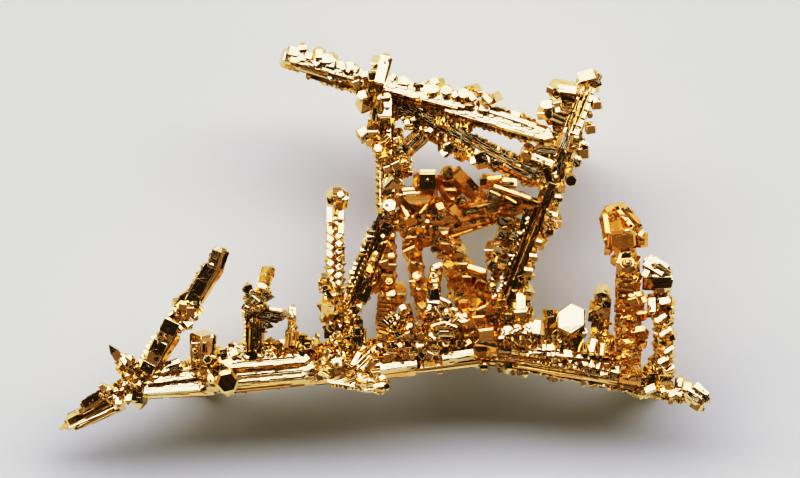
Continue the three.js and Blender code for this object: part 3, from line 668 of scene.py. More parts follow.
def stubby_post_arm():
    """The side arm."""
    return [
        bar([-4.06, -2.45, 3.6], [-3.46, -2.55, 3.6], 0.1, 28, BEVELLED),
        bar([-4.2, -2.58, 3.5], [-3.33, -2.78, 3.6], 0.27, -5, BLUNT),
        bar([-4.13, -2.78, 3.4], [-3.53, -2.88, 3.45], 0.17, -10, BLUNT),
        facing([-3.36, -2.65, 3.9], 0.27, 0.5, 20, (0, 0), sides=6, flat=0.75),
        facing([-3.24, -2.72, 3.8], 0.2, 0.4, 20, (0.1, 0), sides=6),
        bar([-4.16, -2.95, 3.35], [-3.73, -3.09, 3.4], 0.27, 0, POINTED),
        bar([-4.2, -3.19, 3.3], [-3.93, -3.25, 3.3], 0.17, 10, POINTED),
    ]


def stubby_post_foot():
    """The small crystals round its foot and on its back."""
    return [
        *crust([-4.67, -3.99, 3.2], [-3.8, -3.99, 3.2], 70, 0.3, 0.13),
        *row([-4.33, -3.85, 3], [-4.26, -2.18, 3.1], 6, BACK, 0.43, 0.33, 20, BLUNT, 0.5),
        *crust([-4.33, -3.85, 3.1], [-4.26, -2.05, 3.1], 50, 0.37, 0.17, BACK, 0.4, bare=0.1),
    ]


# left_post: the upright white post: two columns of diamond faces under a smooth top and a cap
# crystal.


def diamond_columns():
    """Seven pairs of diamond faces, one below the other, on the front of the left post."""
    diamonds = []
    for number in range(7):
        down = 0.262 * number
        for x, slip in ((-1.56, 0), (-1.83, 0.13)):
            at = (x + jitter(0.01), slip - 0.02 - down, 4.3 + 0.07 * down)
            lean = (0.05 if x > -1.7 else -0.05, 0.4)
            diamonds.append(facing(at, 0.2 + jitter(0.03), 0.35, 45, lean, tip=0.1, flat=0.8))
    return diamonds


def left_post_shaft():
    """The shaft, with long bright faces that lean back, one behind the other."""
    diamonds = diamond_columns()
    return [
        bar([-1.71, -2.58, 4.1], [-1.67, 1.03, 3.8], 0.43, 45),
        *shingles([-1.86, -0.71, 4.2], [-1.86, 0.96, 4.2], 3, 0.17, (-0.15, 0.36, 0.92), {}),
        *shingles([-1.49, 0.03, 4.2], [-1.49, 0.96, 4.2], 2, 0.18, (0.15, 0.36, 0.92), {}),
        *shingles([-1.86, -2.32, 4.25], [-1.86, -0.84, 4.25], 5, 0.13, GLOW),
        *shingles([-1.52, -2.32, 4.25], [-1.52, -0.18, 4.25], 7, 0.13, GLOW),
        *tiles([-1.67, -2.18, 4.25], [-1.67, 0.83, 4.2], 34, 0.1, 0.07, (0, 0.62, 0.78), 0.22),
        *diamonds,
        *row([-1.89, -2.18, 4.1], [-1.87, -0.04, 4], 9, [-1, 0.1, -0.1], 0.17, 0.2, 45, POINTED, 0.08),
        *row([-1.49, -2.18, 4.1], [-1.49, 0.23, 4], 9, [1, 0.1, -0.1], 0.17, 0.2, 45, POINTED, 0.08),
        *row([-1.69, -2.05, 4.1], [-1.67, 0.69, 3.8], 9, BACK, 0.3, 0.27, 45, BLUNT, 0.4),
    ]


def left_post_cap():
    """The cap crystal."""
    return [
        bar([-1.64, 0.89, 3.9], [-1.61, 1.6, 3.8], 0.54, 45, dict(tip=0.3, flat=0.5)),
        tile([-1.82, 1.46, 4.3], [-1.39, 1.46, 4.3], 0.23, (0, 0.62, 0.78)),
        tile([-1.72, 0.96, 4.35], [-1.35, 1.06, 4.35], 0.3, (0.25, -0.75, 0.66)),
        tile([-1.59, 1.3, 4.4], [-1.35, 1.4, 4.4], 0.2, (0.1, 0.5, 0.86)),
        facing([-1.84, 1.16, 4.3], 0.23, 0.5, 10, (0, 0), flat=0.86),
        *tiles([-1.82, 1.36, 4.3], [-1.35, 1.16, 4.3], 14, 0.12, 0.13, GLOW, 0.5),
        *crust([-1.62, 0.96, 3.9], [-1.59, 1.36, 3.9], 26, 0.3, 0.13, bare=0.3, tilt=45),
    ]


def left_post_foot():
    """The crystals at its foot."""
    return [
        bar([-1.66, -1.71, 4.2], [-2.22, -1.51, 4.1], 0.3, 30, BEVELLED),
        bar([-1.99, -1.91, 4.2], [-2.09, -1.38, 4.1], 0.3, 8, BLUNT),
        bar([-1.72, -2.05, 4.3], [-2.16, -1.78, 4.25], 0.27, 0, BLUNT),
        tile([-2.19, -1.41, 4.5], [-1.86, -1.38, 4.5], 0.23, (-0.1, 0.6, 0.79)),
        facing([-2.01, -1.78, 4.5], 0.17, 0.4, 10, (0, 0)),
        tile([-1.89, -1.65, 4.5], [-1.69, -2.05, 4.5], 0.2, (-0.2, 0.66, 0.72)),
        *crust([-2.12, -1.71, 4.05], [-1.45, -2.18, 4.1], 50, 0.27, 0.13, bare=0.5, tilt=45),
        bar([-1.59, -2.38, 4.1], [-2.29, -2.32, 4.1], 0.37, 45, BLUNT),
        bar([-1.79, -2.58, 4], [-2.19, -2.18, 4], 0.3, 45, BLUNT),
    ]


# slanted_post: the toothed slanting post behind the white one, with the block that it stands in.


def slanted_post_core():
    """The long crystal that the post has grown on."""
    return [
        rod([-1.19, -2.52, 3.3], [0.08, 0.76, 3.7], 0.43, 0),
    ]


def slanted_post_plates():
    """Dark plates on its right side, with ribs across them."""
    return [
        bar([-0.82, -2.18, 3.45], [-0.45, -1.25, 3.6], 0.4, -4, BEVELLED),
        bar([-0.62, -1.45, 3.6], [-0.18, -0.51, 3.7], 0.4, 0, BEVELLED),
        bar([-0.32, -0.71, 3.7], [0.12, 0.43, 3.85], 0.37, -4, BEVELLED),
        *ridges([-0.92, -2.18, 3.7], [0.02, 0.29, 4.1], (0.25, -0.06, -0.02), 5, 0.06),
        *row([-0.65, -2.18, 3.5], [0.22, 0.29, 3.8], 14, [0.9, -0.3, 0.2], 0.17, 0.17, 10, BLUNT, 0.2),
        *row(
            [-0.72, -1.31, 3.85], [-0.38, -0.58, 3.95], 6, [0.8, -0.5, 0.3], 0.23, 0.12,
            45, BLUNT, 0.1,
        ),
    ]


def slanted_post_ridge():
    """The pale ridge line with a row of teeth beside it."""
    return [
        bar([-1.32, -2.15, 3.8], [-0.15, 0.69, 4], 0.13, 20),
        bar([-1.42, -2.45, 3.6], [-0.28, 0.43, 3.8], 0.17, 40),
        *row(
            [-1.19, -2.12, 3.75], [-0.28, 0.19, 3.95], 15, [-1, -0.05, -0.1], 0.33, 0.15,
            35, BLUNT, 0.06,
        ),
        *row(
            [-1.19, -2.18, 3.6], [-0.28, 0.13, 3.85], 15, [-1, 0.3, -0.4], 0.3, 0.13, 5,
            BEVELLED, 0.06,
        ),
        *crust([-1.19, -2.32, 3.3], [0.02, 0.43, 3.6], 60, 0.27, 0.13, bare=0.1),
        facing([-0.08, -0.04, 4.1], 0.13, 0.4, 45, (0, 0.4)),
        facing([-0.32, -0.61, 4], 0.13, 0.4, 45, (0, 0.4)),
        facing([-0.65, -1.38, 3.85], 0.12, 0.4, 45, (0, 0.4)),
    ]


def slanted_post_head():
    """Its head: a white six-sided face over a dark cap."""
    return [
        bar([0.05, 0.56, 4.05], [0.15, 1.26, 3.85], 0.47, 0, dict(sides=6, tip=0.25, flat=0.6)),
        facing([0.13, 0.99, 4.5], 0.45, 0.8, 20, (0, 0.4), sides=6, tip=0.06, flat=0.88),
        facing([0.05, 0.98, 4.53], 0.12, 0.15, 20, (0.1, 0.2), sides=6, tip=0.2, flat=0.5),
        bar([-0.22, 0.59, 4], [0.38, 0.73, 4], 0.3, -4, BEVELLED),
        *row([-0.18, 0.49, 3.9], [0.38, 0.59, 3.9], 4, [0, -1, 0.2], 0.17, 0.17, 0, BLUNT),
    ]


def slanted_post_block():
    """The block at its foot: dark facets over a deep orange body."""
    return [
        bar([-1.49, -4.26, 3.2], [-1.35, -2.32, 3.45], 0.74, -4),
        bar([-1.89, -3.45, 3.4], [-1.79, -2.72, 3.55], 0.33, 0, BEVELLED),
        bar([-1.66, -3.19, 3.6], [-1.42, -2.58, 3.7], 0.47, 0, BEVELLED),
        bar([-1.72, -3.72, 3.5], [-1.66, -3.12, 3.6], 0.4, -20, BEVELLED),
        bar([-1.32, -3.72, 3.5], [-1.22, -2.92, 3.6], 0.37, -20, BEVELLED),
        bar([-1.02, -3.79, 3.4], [-0.95, -2.78, 3.5], 0.4, 0, BEVELLED),
        bar([-0.79, -3.59, 3.5], [-0.75, -3.12, 3.5], 0.2, 25, BEVELLED),
        bar([-1.59, -2.48, 3.7], [-1.29, -2.15, 3.75], 0.33, 5, BEVELLED),
        *cells([-1.72, -2.58, 3.95], [-1.19, -2.18, 4], 10, 0.17, 0.12),
        bar([-1.79, -2.25, 3.8], [-2.26, -2.35, 3.8], 0.37, 0, BLUNT),
        bar([-1.72, -2.85, 3.7], [-2.22, -2.75, 3.75], 0.27, 28, BLUNT),
        bar([-1.72, -3.19, 3.6], [-2.12, -3.09, 3.7], 0.23, 0, BLUNT),
        facing([-0.97, -3.25, 3.95], 0.3, 0.5, 5, (0, 0), flat=0.82),
        facing([-1.82, -3.09, 3.9], 0.3, 0.5, 15, (0, 0), sides=6, flat=0.75),
        bar([-1.12, -2.78, 3.6], [-0.82, -2.32, 3.7], 0.23, 10, BLUNT),
        bar([-0.99, -3.92, 3.4], [-0.52, -3.59, 3.5], 0.27, 30, BLUNT),
        *knot([-1.42, -3.59, 3.55], 0.5, 30, 0.2),
        *crust([-1.59, -4.19, 3.4], [-1.35, -2.65, 3.6], 200, 0.47, 0.15),
        *row([-1.12, -3.92, 3.3], [-0.05, -3.82, 3.3], 14, [0.1, 1, 0.1], 0.37, 0.17, 25, BLUNT, 0.3),
        *crust([-1.12, -3.92, 3.3], [0.02, -3.85, 3.3], 70, 0.3, 0.13),
    ]


def slanted_post_back():
    """Crystals on the back of the slanting post."""
    return [
        *row([-1.12, -2.72, 3.1], [-0.05, 0.16, 3.5], 8, [0, 0.1, -1], 0.43, 0.37, 20, BLUNT, 0.4),
        *crust([-1.39, -3.85, 3.2], [-0.05, 0.29, 3.5], 70, 0.43, 0.2, BACK, 0.4, bare=0.1),
    ]


# right_stem: the right part of the stem, with its end crystal.


def right_stem_bars():
    """The long bars of the right stem."""
    return [
        rod([-2.73, -4.76, 2.95], [1.15, -4.41, 3.05], 0.57, 0, tip=0.3, flat=0.4),
        plank([-2.66, -4.67, 3.2], [1.09, -4.32, 3.3], 0.4, 22, TAPERED),
        plank([-0.52, -4.66, 3.05], [3.23, -4.26, 3.15], 0.27, -6),
        rod([0.75, -4.39, 3], [3.29, -4.11, 3.1], 0.54, 0, tip=0.4, flat=0.3),
        plank([1.02, -4.34, 3.25], [3.16, -4.06, 3.35], 0.37, 22, TAPERED),
        rod([-2.12, -4.32, 3], [3.03, -3.89, 3.1], 0.47, 5),
        plank([-1.92, -4.22, 3.25], [3.03, -3.85, 3.35], 0.2, 26),
        plank([-1.72, -4.06, 3.25], [2.89, -3.7, 3.3], 0.17, 20),
        plank([-1.86, -3.92, 3.25], [3.29, -3.59, 3.3], 0.23, 28),
        plank([-0.75, -3.92, 3.4], [-0.12, -3.82, 3.45], 0.23, 24, BEVELLED),
        plank([0.28, -3.85, 3.4], [0.75, -3.79, 3.45], 0.2, 24, BLUNT),
        plank([1.35, -3.85, 3.4], [1.82, -3.79, 3.45], 0.2, 28, BLUNT),
        *ridges([-1.52, -4.52, 3.4], [1.15, -4.22, 3.5], (0.04, -0.25, -0.08), 4, 0.04),
        *ridges([1.15, -4.39, 3.35], [3.29, -4.12, 3.4], (0.04, -0.2, -0.1), 3, 0.05),
        *ridges([-1.86, -4.22, 3.35], [3.03, -3.85, 3.45], (0, 0.25, 0.02), 5, 0.05),
    ]


def right_stem_bright_faces():
    """The two brightest faces, and the dark edge below them."""
    return [
        tile([-0.18, -4.51, 3.4], [1.19, -4.31, 3.5], 0.2, shape=POINTED, depth=0.4),
        tile([1.89, -4.16, 3.62], [3.03, -3.99, 3.66], 0.22, shape=BLUNT, depth=0.5),
        plank([-0.25, -4.66, 3.3], [3.23, -4.22, 3.4], 0.1, -22),
        *scales([-2.53, -4.66, 3.27], [1.02, -4.32, 3.37], 0.3, 28, 0.08),
        *scales([1.15, -4.32, 3.32], [3.09, -4.07, 3.42], 0.27, 16, 0.07),
        *row([-0.32, -4.66, 2.9], [3.29, -4.26, 3], 28, [0.1, -1, 0], 0.1, 0.11, 30, BLUNT),
        facing([2.31, -3.55, 3.75], 0.2, 0.5, 0, (0.05, -0.1)),
        plank([2.59, -3.79, 3.5], [2.79, -3.49, 3.4], 0.23, 0, BEVELLED),
        *crust([-1.86, -3.92, 3.1], [3.29, -3.62, 3.2], 170, 0.2, 0.11, (0, 1, 0), 0.4),
    ]


def right_stem_middle():
    """The blocks and bars towards the right end of the stem."""
    return [
        rod([2.96, -4.09, 3.05], [5.7, -4.39, 3], 0.43, 0),
        plank([3.03, -4.02, 3.25], [5.57, -4.32, 3.2], 0.23, 26, TAPERED),
        plank([3.16, -4.24, 3.15], [5.84, -4.56, 3.1], 0.2, -10),
        rod([5.17, -4.39, 3], [7.78, -4.82, 2.9], 0.43, 0),
        plank([5.33, -4.22, 3.3], [7.58, -4.59, 3.2], 0.2, 28, TAPERED),
        plank([5.7, -4.42, 3.2], [7.71, -4.77, 3.1], 0.17, 24, TAPERED),
        plank([5.7, -4.59, 3.1], [7.91, -4.99, 2.95], 0.17, -10),
        plank([6.71, -4.56, 3.3], [7.37, -4.69, 3.25], 0.17, 24, BEVELLED),
        rod([7.37, -4.79, 2.9], [10.25, -5.46, 2.7], 0.37, 10),
        plank([7.51, -4.72, 3.1], [9.92, -5.33, 2.9], 0.2, 28),
        *ridges([3.83, -4.06, 3.35], [7.17, -4.59, 3.2], (0.02, -0.3, -0.12), 7, 0.04),
        *row([3.7, -4.32, 2.95], [8.51, -5.23, 2.7], 46, [-0.1, -1, 0], 0.1, 0.11, 30, BLUNT),
        *row([3.83, -3.85, 3.2], [7.51, -4.46, 3.1], 30, [0, 1, 0], 0.17, 0.12, 20, BLUNT, 0.3),
        *crust([3.83, -3.99, 3.1], [7.84, -4.66, 3], 80, 0.2, 0.11, bare=0.2),
        *row([4.9, -4.19, 3.4], [5.57, -4.32, 3.35], 5, [0.2, -0.6, 0.6], 0.13, 0.11, 20, POINTED),
    ]


def right_stem_crowd():
    """The crowded right end."""
    return [
        *crust([7.78, -4.86, 2.9], [10.18, -5.43, 2.7], 210, 0.25, 0.14),
        *row([7.91, -5.13, 2.8], [9.98, -5.56, 2.6], 17, [0, -1, 0], 0.13, 0.13, 30, BLUNT, 0.2),
        facing([8.55, -4.92, 3.3], 0.27, 0.4, 10, (0, 0), flat=0.85),
        facing([8.9, -4.76, 3.3], 0.27, 0.4, 5, (0.05, -0.05), flat=0.85),
        bar([8.28, -5.06, 3], [8.44, -4.59, 3], 0.27, 12, BLUNT),
        bar([8.68, -5.23, 3.1], [9.05, -5.09, 3.1], 0.23, 20, BEVELLED),
        bar([8.71, -5.26, 2.9], [8.85, -5.03, 2.9], 0.23, 20, BLUNT),
        facing([9.58, -5.33, 3.1], 0.2, 0.4, 10, (0, 0.3)),
        facing([9.28, -5.19, 3.1], 0.2, 0.4, 20, (0, 0.3)),
        bar([9.82, -5.19, 2.8], [9.88, -4.69, 2.75], 0.27, 20, BLUNT),
        bar([10.08, -5.23, 2.8], [10.18, -4.86, 2.75], 0.27, 15, BLUNT),
    ]


def right_stem_end_crystal():
    """The end crystal: bright ridged upper faces over a dark front."""
    return [
        bar([10.12, -5.23, 2.75], [10.65, -5.66, 2.85], 0.57, 6, dict(sides=6, tip=0.3, flat=0.5)),
        plank([10.15, -5.13, 3], [10.62, -5.39, 3.05], 0.23, 26, BEVELLED),
        plank([10.38, -4.99, 2.95], [10.82, -5.43, 2.95], 0.2, 28, BLUNT),
        bar([10.52, -5.26, 2.95], [10.85, -5.63, 2.95], 0.23, 0, BLUNT),
        bar([10.25, -5.59, 2.85], [10.62, -5.83, 2.85], 0.27, -25, BLUNT),
        *ridges([10.18, -5.26, 3.05], [10.65, -5.59, 3.1], (0.1, 0.25, 0), 4, 0.05),
        *crust([10.12, -5.29, 2.8], [10.62, -5.66, 2.8], 40, 0.33, 0.13, bare=0.4),
    ]


def right_stem_hanging():
    """The crystals that hang from the lower edge of the right stem."""
    return [
        bar([3.29, -4.32, 3.4], [3.29, -4.56, 3.35], 0.27, 0, BLUNT),
        facing([3.31, -4.39, 3.45], 0.23, 0.4, 45, (0, 0.35)),
        bar([3.26, -4.09, 3.05], [3.31, -4.66, 3.05], 0.27, 30, POINTED),
        bar([4.03, -4.09, 3.1], [4.06, -4.66, 3.1], 0.3, 30, dict(tip=0.5, flat=0.3)),
        bar([4.13, -4.26, 3.2], [4.13, -4.56, 3.2], 0.2, -10, BLUNT),
        bar([3.76, -4.12, 3.1], [3.76, -4.42, 3.2], 0.2, 30, BLUNT),
    ]


def right_stem_back():
    """Crystals on the back, and the leg down to the floor."""
    return [
        *leg([8.71, -4.92, 2.8], [8.71, -4.92, 0], 0.67),
        bar([8.71, -4.92, 1.5], [9.28, -5.13, 1.1], 0.43, 25, BLUNT),
        *row([-1.86, -4.52, 3], [3.29, -4.02, 3.1], 15, [0, 0.1, -1], 0.57, 0.4, 20, BLUNT, 0.4),
        *row([3.83, -4.19, 2.9], [10.18, -5.43, 2.7], 17, [0, 0.1, -1], 0.5, 0.37, 20, BLUNT, 0.4),
        *crust([-2.19, -4.52, 3], [3.29, -4.06, 3.1], 110, 0.4, 0.2, BACK, 0.35, bare=0.1),
        *crust([3.83, -4.22, 2.9], [10.18, -5.43, 2.7], 110, 0.37, 0.2, BACK, 0.35, bare=0.1),
    ]


# front_spur: the short spur that comes forward from the stem.


def front_spur_core():
    """The bars that carry the spur."""
    return [
        rod([-1.99, -4.39, 3.3], [-0.45, -4.89, 4.3], 0.47, 10),
        bar([-1.86, -4.79, 3.6], [-0.85, -4.99, 4.1], 0.3, 5),
    ]


def front_spur_faces():
    """The square pitted face, the ridged chevrons and the pale blocks."""
    return [
        tile([-1.76, -4.32, 4.25], [-1.32, -4.22, 4.25], 0.3),
        *cells([-1.66, -4.29, 4.45], [-1.32, -4.22, 4.45], 4, 0.13, 0.08),
        bar([-1.76, -4.56, 3.9], [-1.32, -4.46, 4.1], 0.3, -15),
        tile([-1.12, -4.39, 4.3], [-0.82, -3.89, 4.3], 0.17, (-0.3, 0.4, 0.86)),
        tile([-0.85, -4.52, 4.35], [-0.45, -4.02, 4.35], 0.18, (-0.25, 0.42, 0.86)),
        tile([-0.65, -4.59, 4.3], [-0.32, -4.19, 4.3], 0.17, (0.3, -0.3, 0.9)),
        *ridges([-1.05, -4.39, 4.4], [-0.59, -3.92, 4.45], (0.12, -0.14, 0), 6, 0.05),
        tile([-0.82, -4.69, 4.45], [-0.42, -4.59, 4.45], 0.17, GLOW),
        bar([-1.39, -4.86, 4], [-0.79, -4.72, 4.2], 0.23, 45, BLUNT),
        tile([-1.32, -4.66, 4.25], [-1.02, -4.56, 4.25], 0.17, GLOW),
        bar([-1.72, -4.79, 3.8], [-1.39, -4.62, 4], 0.23, 45, BEVELLED),
        bar([-2.12, -4.46, 3.6], [-1.72, -4.72, 3.9], 0.27, 45, BLUNT),
        plank([-2.12, -4.26, 3.6], [-1.35, -3.95, 3.8], 0.23, 26),
    ]


def front_spur_tip():
    """The knobbly tip."""
    return [
        bar([-0.79, -4.99, 4.2], [-0.25, -4.92, 4.5], 0.3, 45, BEVELLED),
        tile([-0.72, -4.89, 4.6], [-0.48, -4.82, 4.6], 0.13),
        tile([-0.32, -5.03, 4.65], [0.02, -4.99, 4.7], 0.13),
        facing([-0.12, -4.76, 4.7], 0.2, 0.5, 30, (0, 0.35)),
        facing([0.05, -5.06, 4.7], 0.2, 0.5, 20, (0.3, 0)),
        facing([-0.32, -5.03, 4.65], 0.2, 0.5, 20, (-0.1, 0.35)),
        bar([-0.65, -5.13, 4.2], [0.08, -5.09, 4.5], 0.23, 20, POINTED),
        *tiles([-0.72, -4.86, 4.5], [0.08, -4.92, 4.6], 10, 0.13, 0.13, GLOW, 0.3),
        *crust([-0.79, -4.89, 4.3], [0.02, -5.03, 4.5], 46, 0.27, 0.15, bare=0.5),
        *row([-1.86, -4.92, 3.6], [-0.05, -5.19, 4.3], 14, [0.1, -1, 0.3], 0.17, 0.17, 30, BLUNT, 0.25),
        *crust([-1.99, -4.46, 3.5], [-0.65, -4.86, 4.2], 90, 0.37, 0.15, bare=0.4),
        *row([-1.79, -4.52, 3.3], [-0.32, -4.96, 4], 6, [0.1, 0, -1], 0.4, 0.33, 20, BLUNT, 0.4),
    ]


def front_spur_root():
    """The small crystals between the spur and the left part of the stem."""
    return [
        *crust([-2.53, -4.56, 3.3], [-1.82, -4.26, 3.5], 90, 0.43, 0.17, bare=0.1),
        *crust([-2.49, -4.22, 3.2], [-1.96, -3.99, 3.3], 50, 0.3, 0.17, bare=0.1),
        tile([-2.26, -4.59, 3.8], [-1.82, -4.72, 3.85], 0.17, GLOW),
        tile([-2.12, -4.19, 3.8], [-1.89, -4.09, 3.85], 0.17, GLOW),
    ]


# upper_post: the post that carries on up to the top bar.


def upper_post_core():
    """The shaft and the crystals along it."""
    return [
        bar([-0.07, 0.43, 3.51], [-0.12, 2.83, 3.8], 0.3, 45),
        *shingles([-0.07, 0.66, 3.95], [-0.11, 2.77, 3.95], 7, 0.2, (-0.15, 0.35, 0.92)),
        *ridges([-0.15, 0.76, 4], [-0.18, 2.63, 4.15], (0.16, 0, 0), 3, 0.05),
        rod([0.18, 0.89, 3.59], [0.12, 3.84, 3.6], 0.37, 20),
        *row([0.08, 0.96, 3.7], [0.02, 2.77, 3.9], 9, [0.8, 0.2, 0.8], 0.2, 0.27, 45, BLUNT, 0.3),
        *row([-0.18, 0.89, 3.6], [-0.22, 2.57, 3.9], 8, [-1, 0.1, 0.3], 0.15, 0.17, 45, POINTED, 0.2),
        *crust([0.08, 0.89, 3.6], [0.05, 2.83, 3.8], 50, 0.3, 0.17, bare=0.5, tilt=42),
    ]


def upper_post_low_crystal():
    """The crystal low on its right side."""
    return [
        bar([0.32, 1.06, 3.86], [0.28, 1.83, 4.2], 0.6, 45, BLUNT),
        facing([0.28, 1.56, 4.45], 0.5, 0.5, 45, (0.1, -0.8)),
        facing([0.08, 1.43, 4.4], 0.3, 0.5, 10, (-0.6, -0.1)),
        tile([-0.05, 1.83, 4.3], [0.15, 1.76, 4.3], 0.2),
        tile([0.38, 1.8, 4.3], [0.55, 1.76, 4.3], 0.17),
        facing([0.42, 1.23, 4.3], 0.3, 0.5, 30, (0.3, -0.8)),
    ]


def upper_post_cluster():
    """The cluster half way up on the left."""
    return [
        bar([0.02, 3.17, 3.9], [-0.42, 2.83, 4.2], 0.54, 45, BLUNT),
        facing([-0.75, 3.44, 4.35], 0.37, 0.5, 25, (-0.05, 0.38)),
        facing([-0.42, 3.3, 4.45], 0.4, 0.5, 10, (-0.1, -0.8)),
        tile([-0.79, 3.2, 4.4], [-0.38, 3.54, 4.4], 0.12, (0, 0, 1)),
        facing([-0.25, 2.9, 4.6], 0.33, 0.5, 8, (0, 0.45), sides=6),
        bar([-0.12, 2.83, 4], [-0.25, 2.43, 4.3], 0.43, 45, POINTED),
        facing([-0.55, 3.04, 4.35], 0.27, 0.4, 40, (-0.5, -0.7)),
        *tiles([-0.52, 3.17, 4.4], [-0.12, 2.63, 4.3], 6, 0.13, 0.1, (0.1, -0.7, 0.7)),
        *crust([-0.18, 2.83, 4], [-0.45, 3.24, 4.2], 24, 0.3, 0.17, bare=0.2, tilt=42),
    ]


def upper_post_neck():
    """The neck under the top bar."""
    return [
        rod([-0.22, 3.1, 3.7], [-0.22, 4.77, 3.5], 0.47, 0),
        bar([-0.25, 3.37, 3.9], [-0.22, 4.24, 3.95], 0.4, 0),
        bar([-0.05, 3.5, 3.95], [-0.02, 3.97, 3.95], 0.13, 45),
        *ridges([-0.35, 3.37, 4.15], [-0.32, 4.17, 4.2], (0.3, 0, 0), 5, 0.04),
        *shingles([0.12, 2.67, 3.95], [0.1, 3.94, 3.95], 5, 0.17, (0.15, 0.35, 0.92)),
        *row([-0.32, 3.17, 3.8], [-0.35, 4.11, 3.8], 6, [-0.9, 0.1, 0.5], 0.2, 0.17, 20, BLUNT, 0.3),
        *crust([-0.22, 3.17, 3.7], [-0.22, 4.57, 3.6], 40, 0.3, 0.17, bare=0.2),
        *row([0.08, 0.99, 3.43], [-0.12, 4.17, 3.4], 9, [0.1, 0, -1], 0.47, 0.37, 20, BLUNT, 0.5),
    ]


# top_bar: the long pale bar across the top, the crystals that cross it and the fringe below.


def top_bar_core():
    """The left part of the bar."""
    return [
        rod([-3.36, 5.91, 4.1], [-0.12, 4.97, 3.75], 0.57, 0),
        plank([-2.96, 5.88, 4.4], [-0.45, 5.18, 4.15], 0.4, 21, BLUNT),
        plank([-3.09, 5.71, 4.3], [-1.12, 5.08, 4], 0.23, 26, BLUNT),
        bar([-2.46, 5.38, 3.95], [-0.72, 4.81, 3.75], 0.27, -12),
        *tiles([-2.86, 5.94, 4.5], [-0.65, 5.31, 4.3], 15, 0.3, 0.1),
        *tiles([-2.93, 5.68, 4.4], [-1.12, 5.11, 4.15], 12, 0.23, 0.08),
        *ridges([-3.06, 5.71, 4.5], [-2.12, 5.44, 4.4], (0, -0.06, 0), 2, 0.05),
        *scales([-2.86, 5.84, 4.5], [-0.59, 5.21, 4.25], 0.33, 24, 0.09),
    ]


def top_bar_left_end():
    """Its six-sided left end, and the blocks on the upper edge."""
    return [
        bar([-2.96, 5.78, 4.15], [-3.46, 5.93, 4.25], 0.6, 15, dict(sides=6, tip=0.1, flat=0.84)),
        tile([-3.29, 6.15, 4.45], [-2.83, 6.05, 4.45], 0.33),
        tile([-3.23, 5.91, 4.5], [-2.83, 5.81, 4.5], 0.3),
        tile([-2.74, 6.08, 4.45], [-2.76, 6.41, 4.45], 0.3, (-0.3, 0.25, 0.92)),
        tile([-2.89, 6.01, 4.35], [-2.96, 6.28, 4.35], 0.23),
        bar([-2.99, 5.58, 4], [-2.93, 5.41, 4], 0.2, 0, BLUNT),
        bar([-2.22, 5.78, 4.3], [-2.21, 6.3, 4.2], 0.33, 45, BLUNT),
        tile([-2.22, 5.88, 4.5], [-2.21, 6.25, 4.5], 0.23, shape=BLUNT),
        tile([-2.19, 5.88, 4.45], [-1.62, 5.81, 4.45], 0.33, (0.05, 0.42, 0.9), POINTED),
        bar([-1.82, 5.71, 4.25], [-1.76, 6.11, 4.15], 0.3, 45, BLUNT),
        tile([-1.52, 5.54, 4.35], [-1.52, 5.86, 4.35], 0.22, shape=BLUNT),
        tile([-1.17, 5.48, 4.35], [-1.19, 5.84, 4.35], 0.23, shape=BLUNT),
        bar([-1.12, 5.41, 4.1], [-1.12, 5.78, 4.05], 0.27, 45, BLUNT),
        tile([-0.89, 5.28, 4.3], [-0.92, 5.64, 4.3], 0.2, shape=POINTED),
        *row([-2.59, 5.44, 3.9], [-0.72, 4.84, 3.7], 17, [-0.1, -1, 0.2], 0.23, 0.17, 20, BLUNT, 0.25),
        *row([-1.72, 5.11, 4], [-0.65, 4.77, 3.8], 9, [-0.1, -1, 0.5], 0.2, 0.18, 45, BLUNT, 0.3),
        *crust([-2.99, 5.84, 4.1], [-0.65, 5.11, 3.8], 70, 0.27, 0.13, bare=0.1),
    ]


def top_bar_crossing():
    """The crystals that cross it."""
    return [
        bar([-0.32, 4.77, 4.1], [-0.02, 5.98, 4.4], 0.43, 28, BLUNT),
        tile([-0.22, 5.04, 4.6], [0.03, 6.05, 4.6], 0.33, (0.05, 0.4, 0.91), dict(tip=0.35, flat=0.5)),
        tile([-0.05, 5.18, 4.5], [0.18, 5.91, 4.5], 0.13, (0.5, -0.3, 0.8), BLUNT),
        tile([-0.42, 5.64, 4.6], [-0.25, 5.98, 4.6], 0.27, (-0.1, 0.72, 0.69)),
        tile([-0.48, 5.51, 4.6], [-0.18, 5.38, 4.6], 0.2),
        facing([-0.43, 5.28, 4.8], 0.3, 0.5, 8, (0.04, -0.04)),
        tile([-0.67, 5.21, 4.55], [-0.65, 5.51, 4.55], 0.2, (-0.45, 0.35, 0.82)),
        bar([-0.65, 4.84, 4], [-0.65, 5.51, 4.25], 0.37, 20, BLUNT),
        facing([-0.95, 5.01, 4.35], 0.3, 0.4, 30, (-0.1, -0.6)),
        facing([-0.65, 5.01, 4.4], 0.23, 0.4, 20, (0.1, -0.8)),
    ]


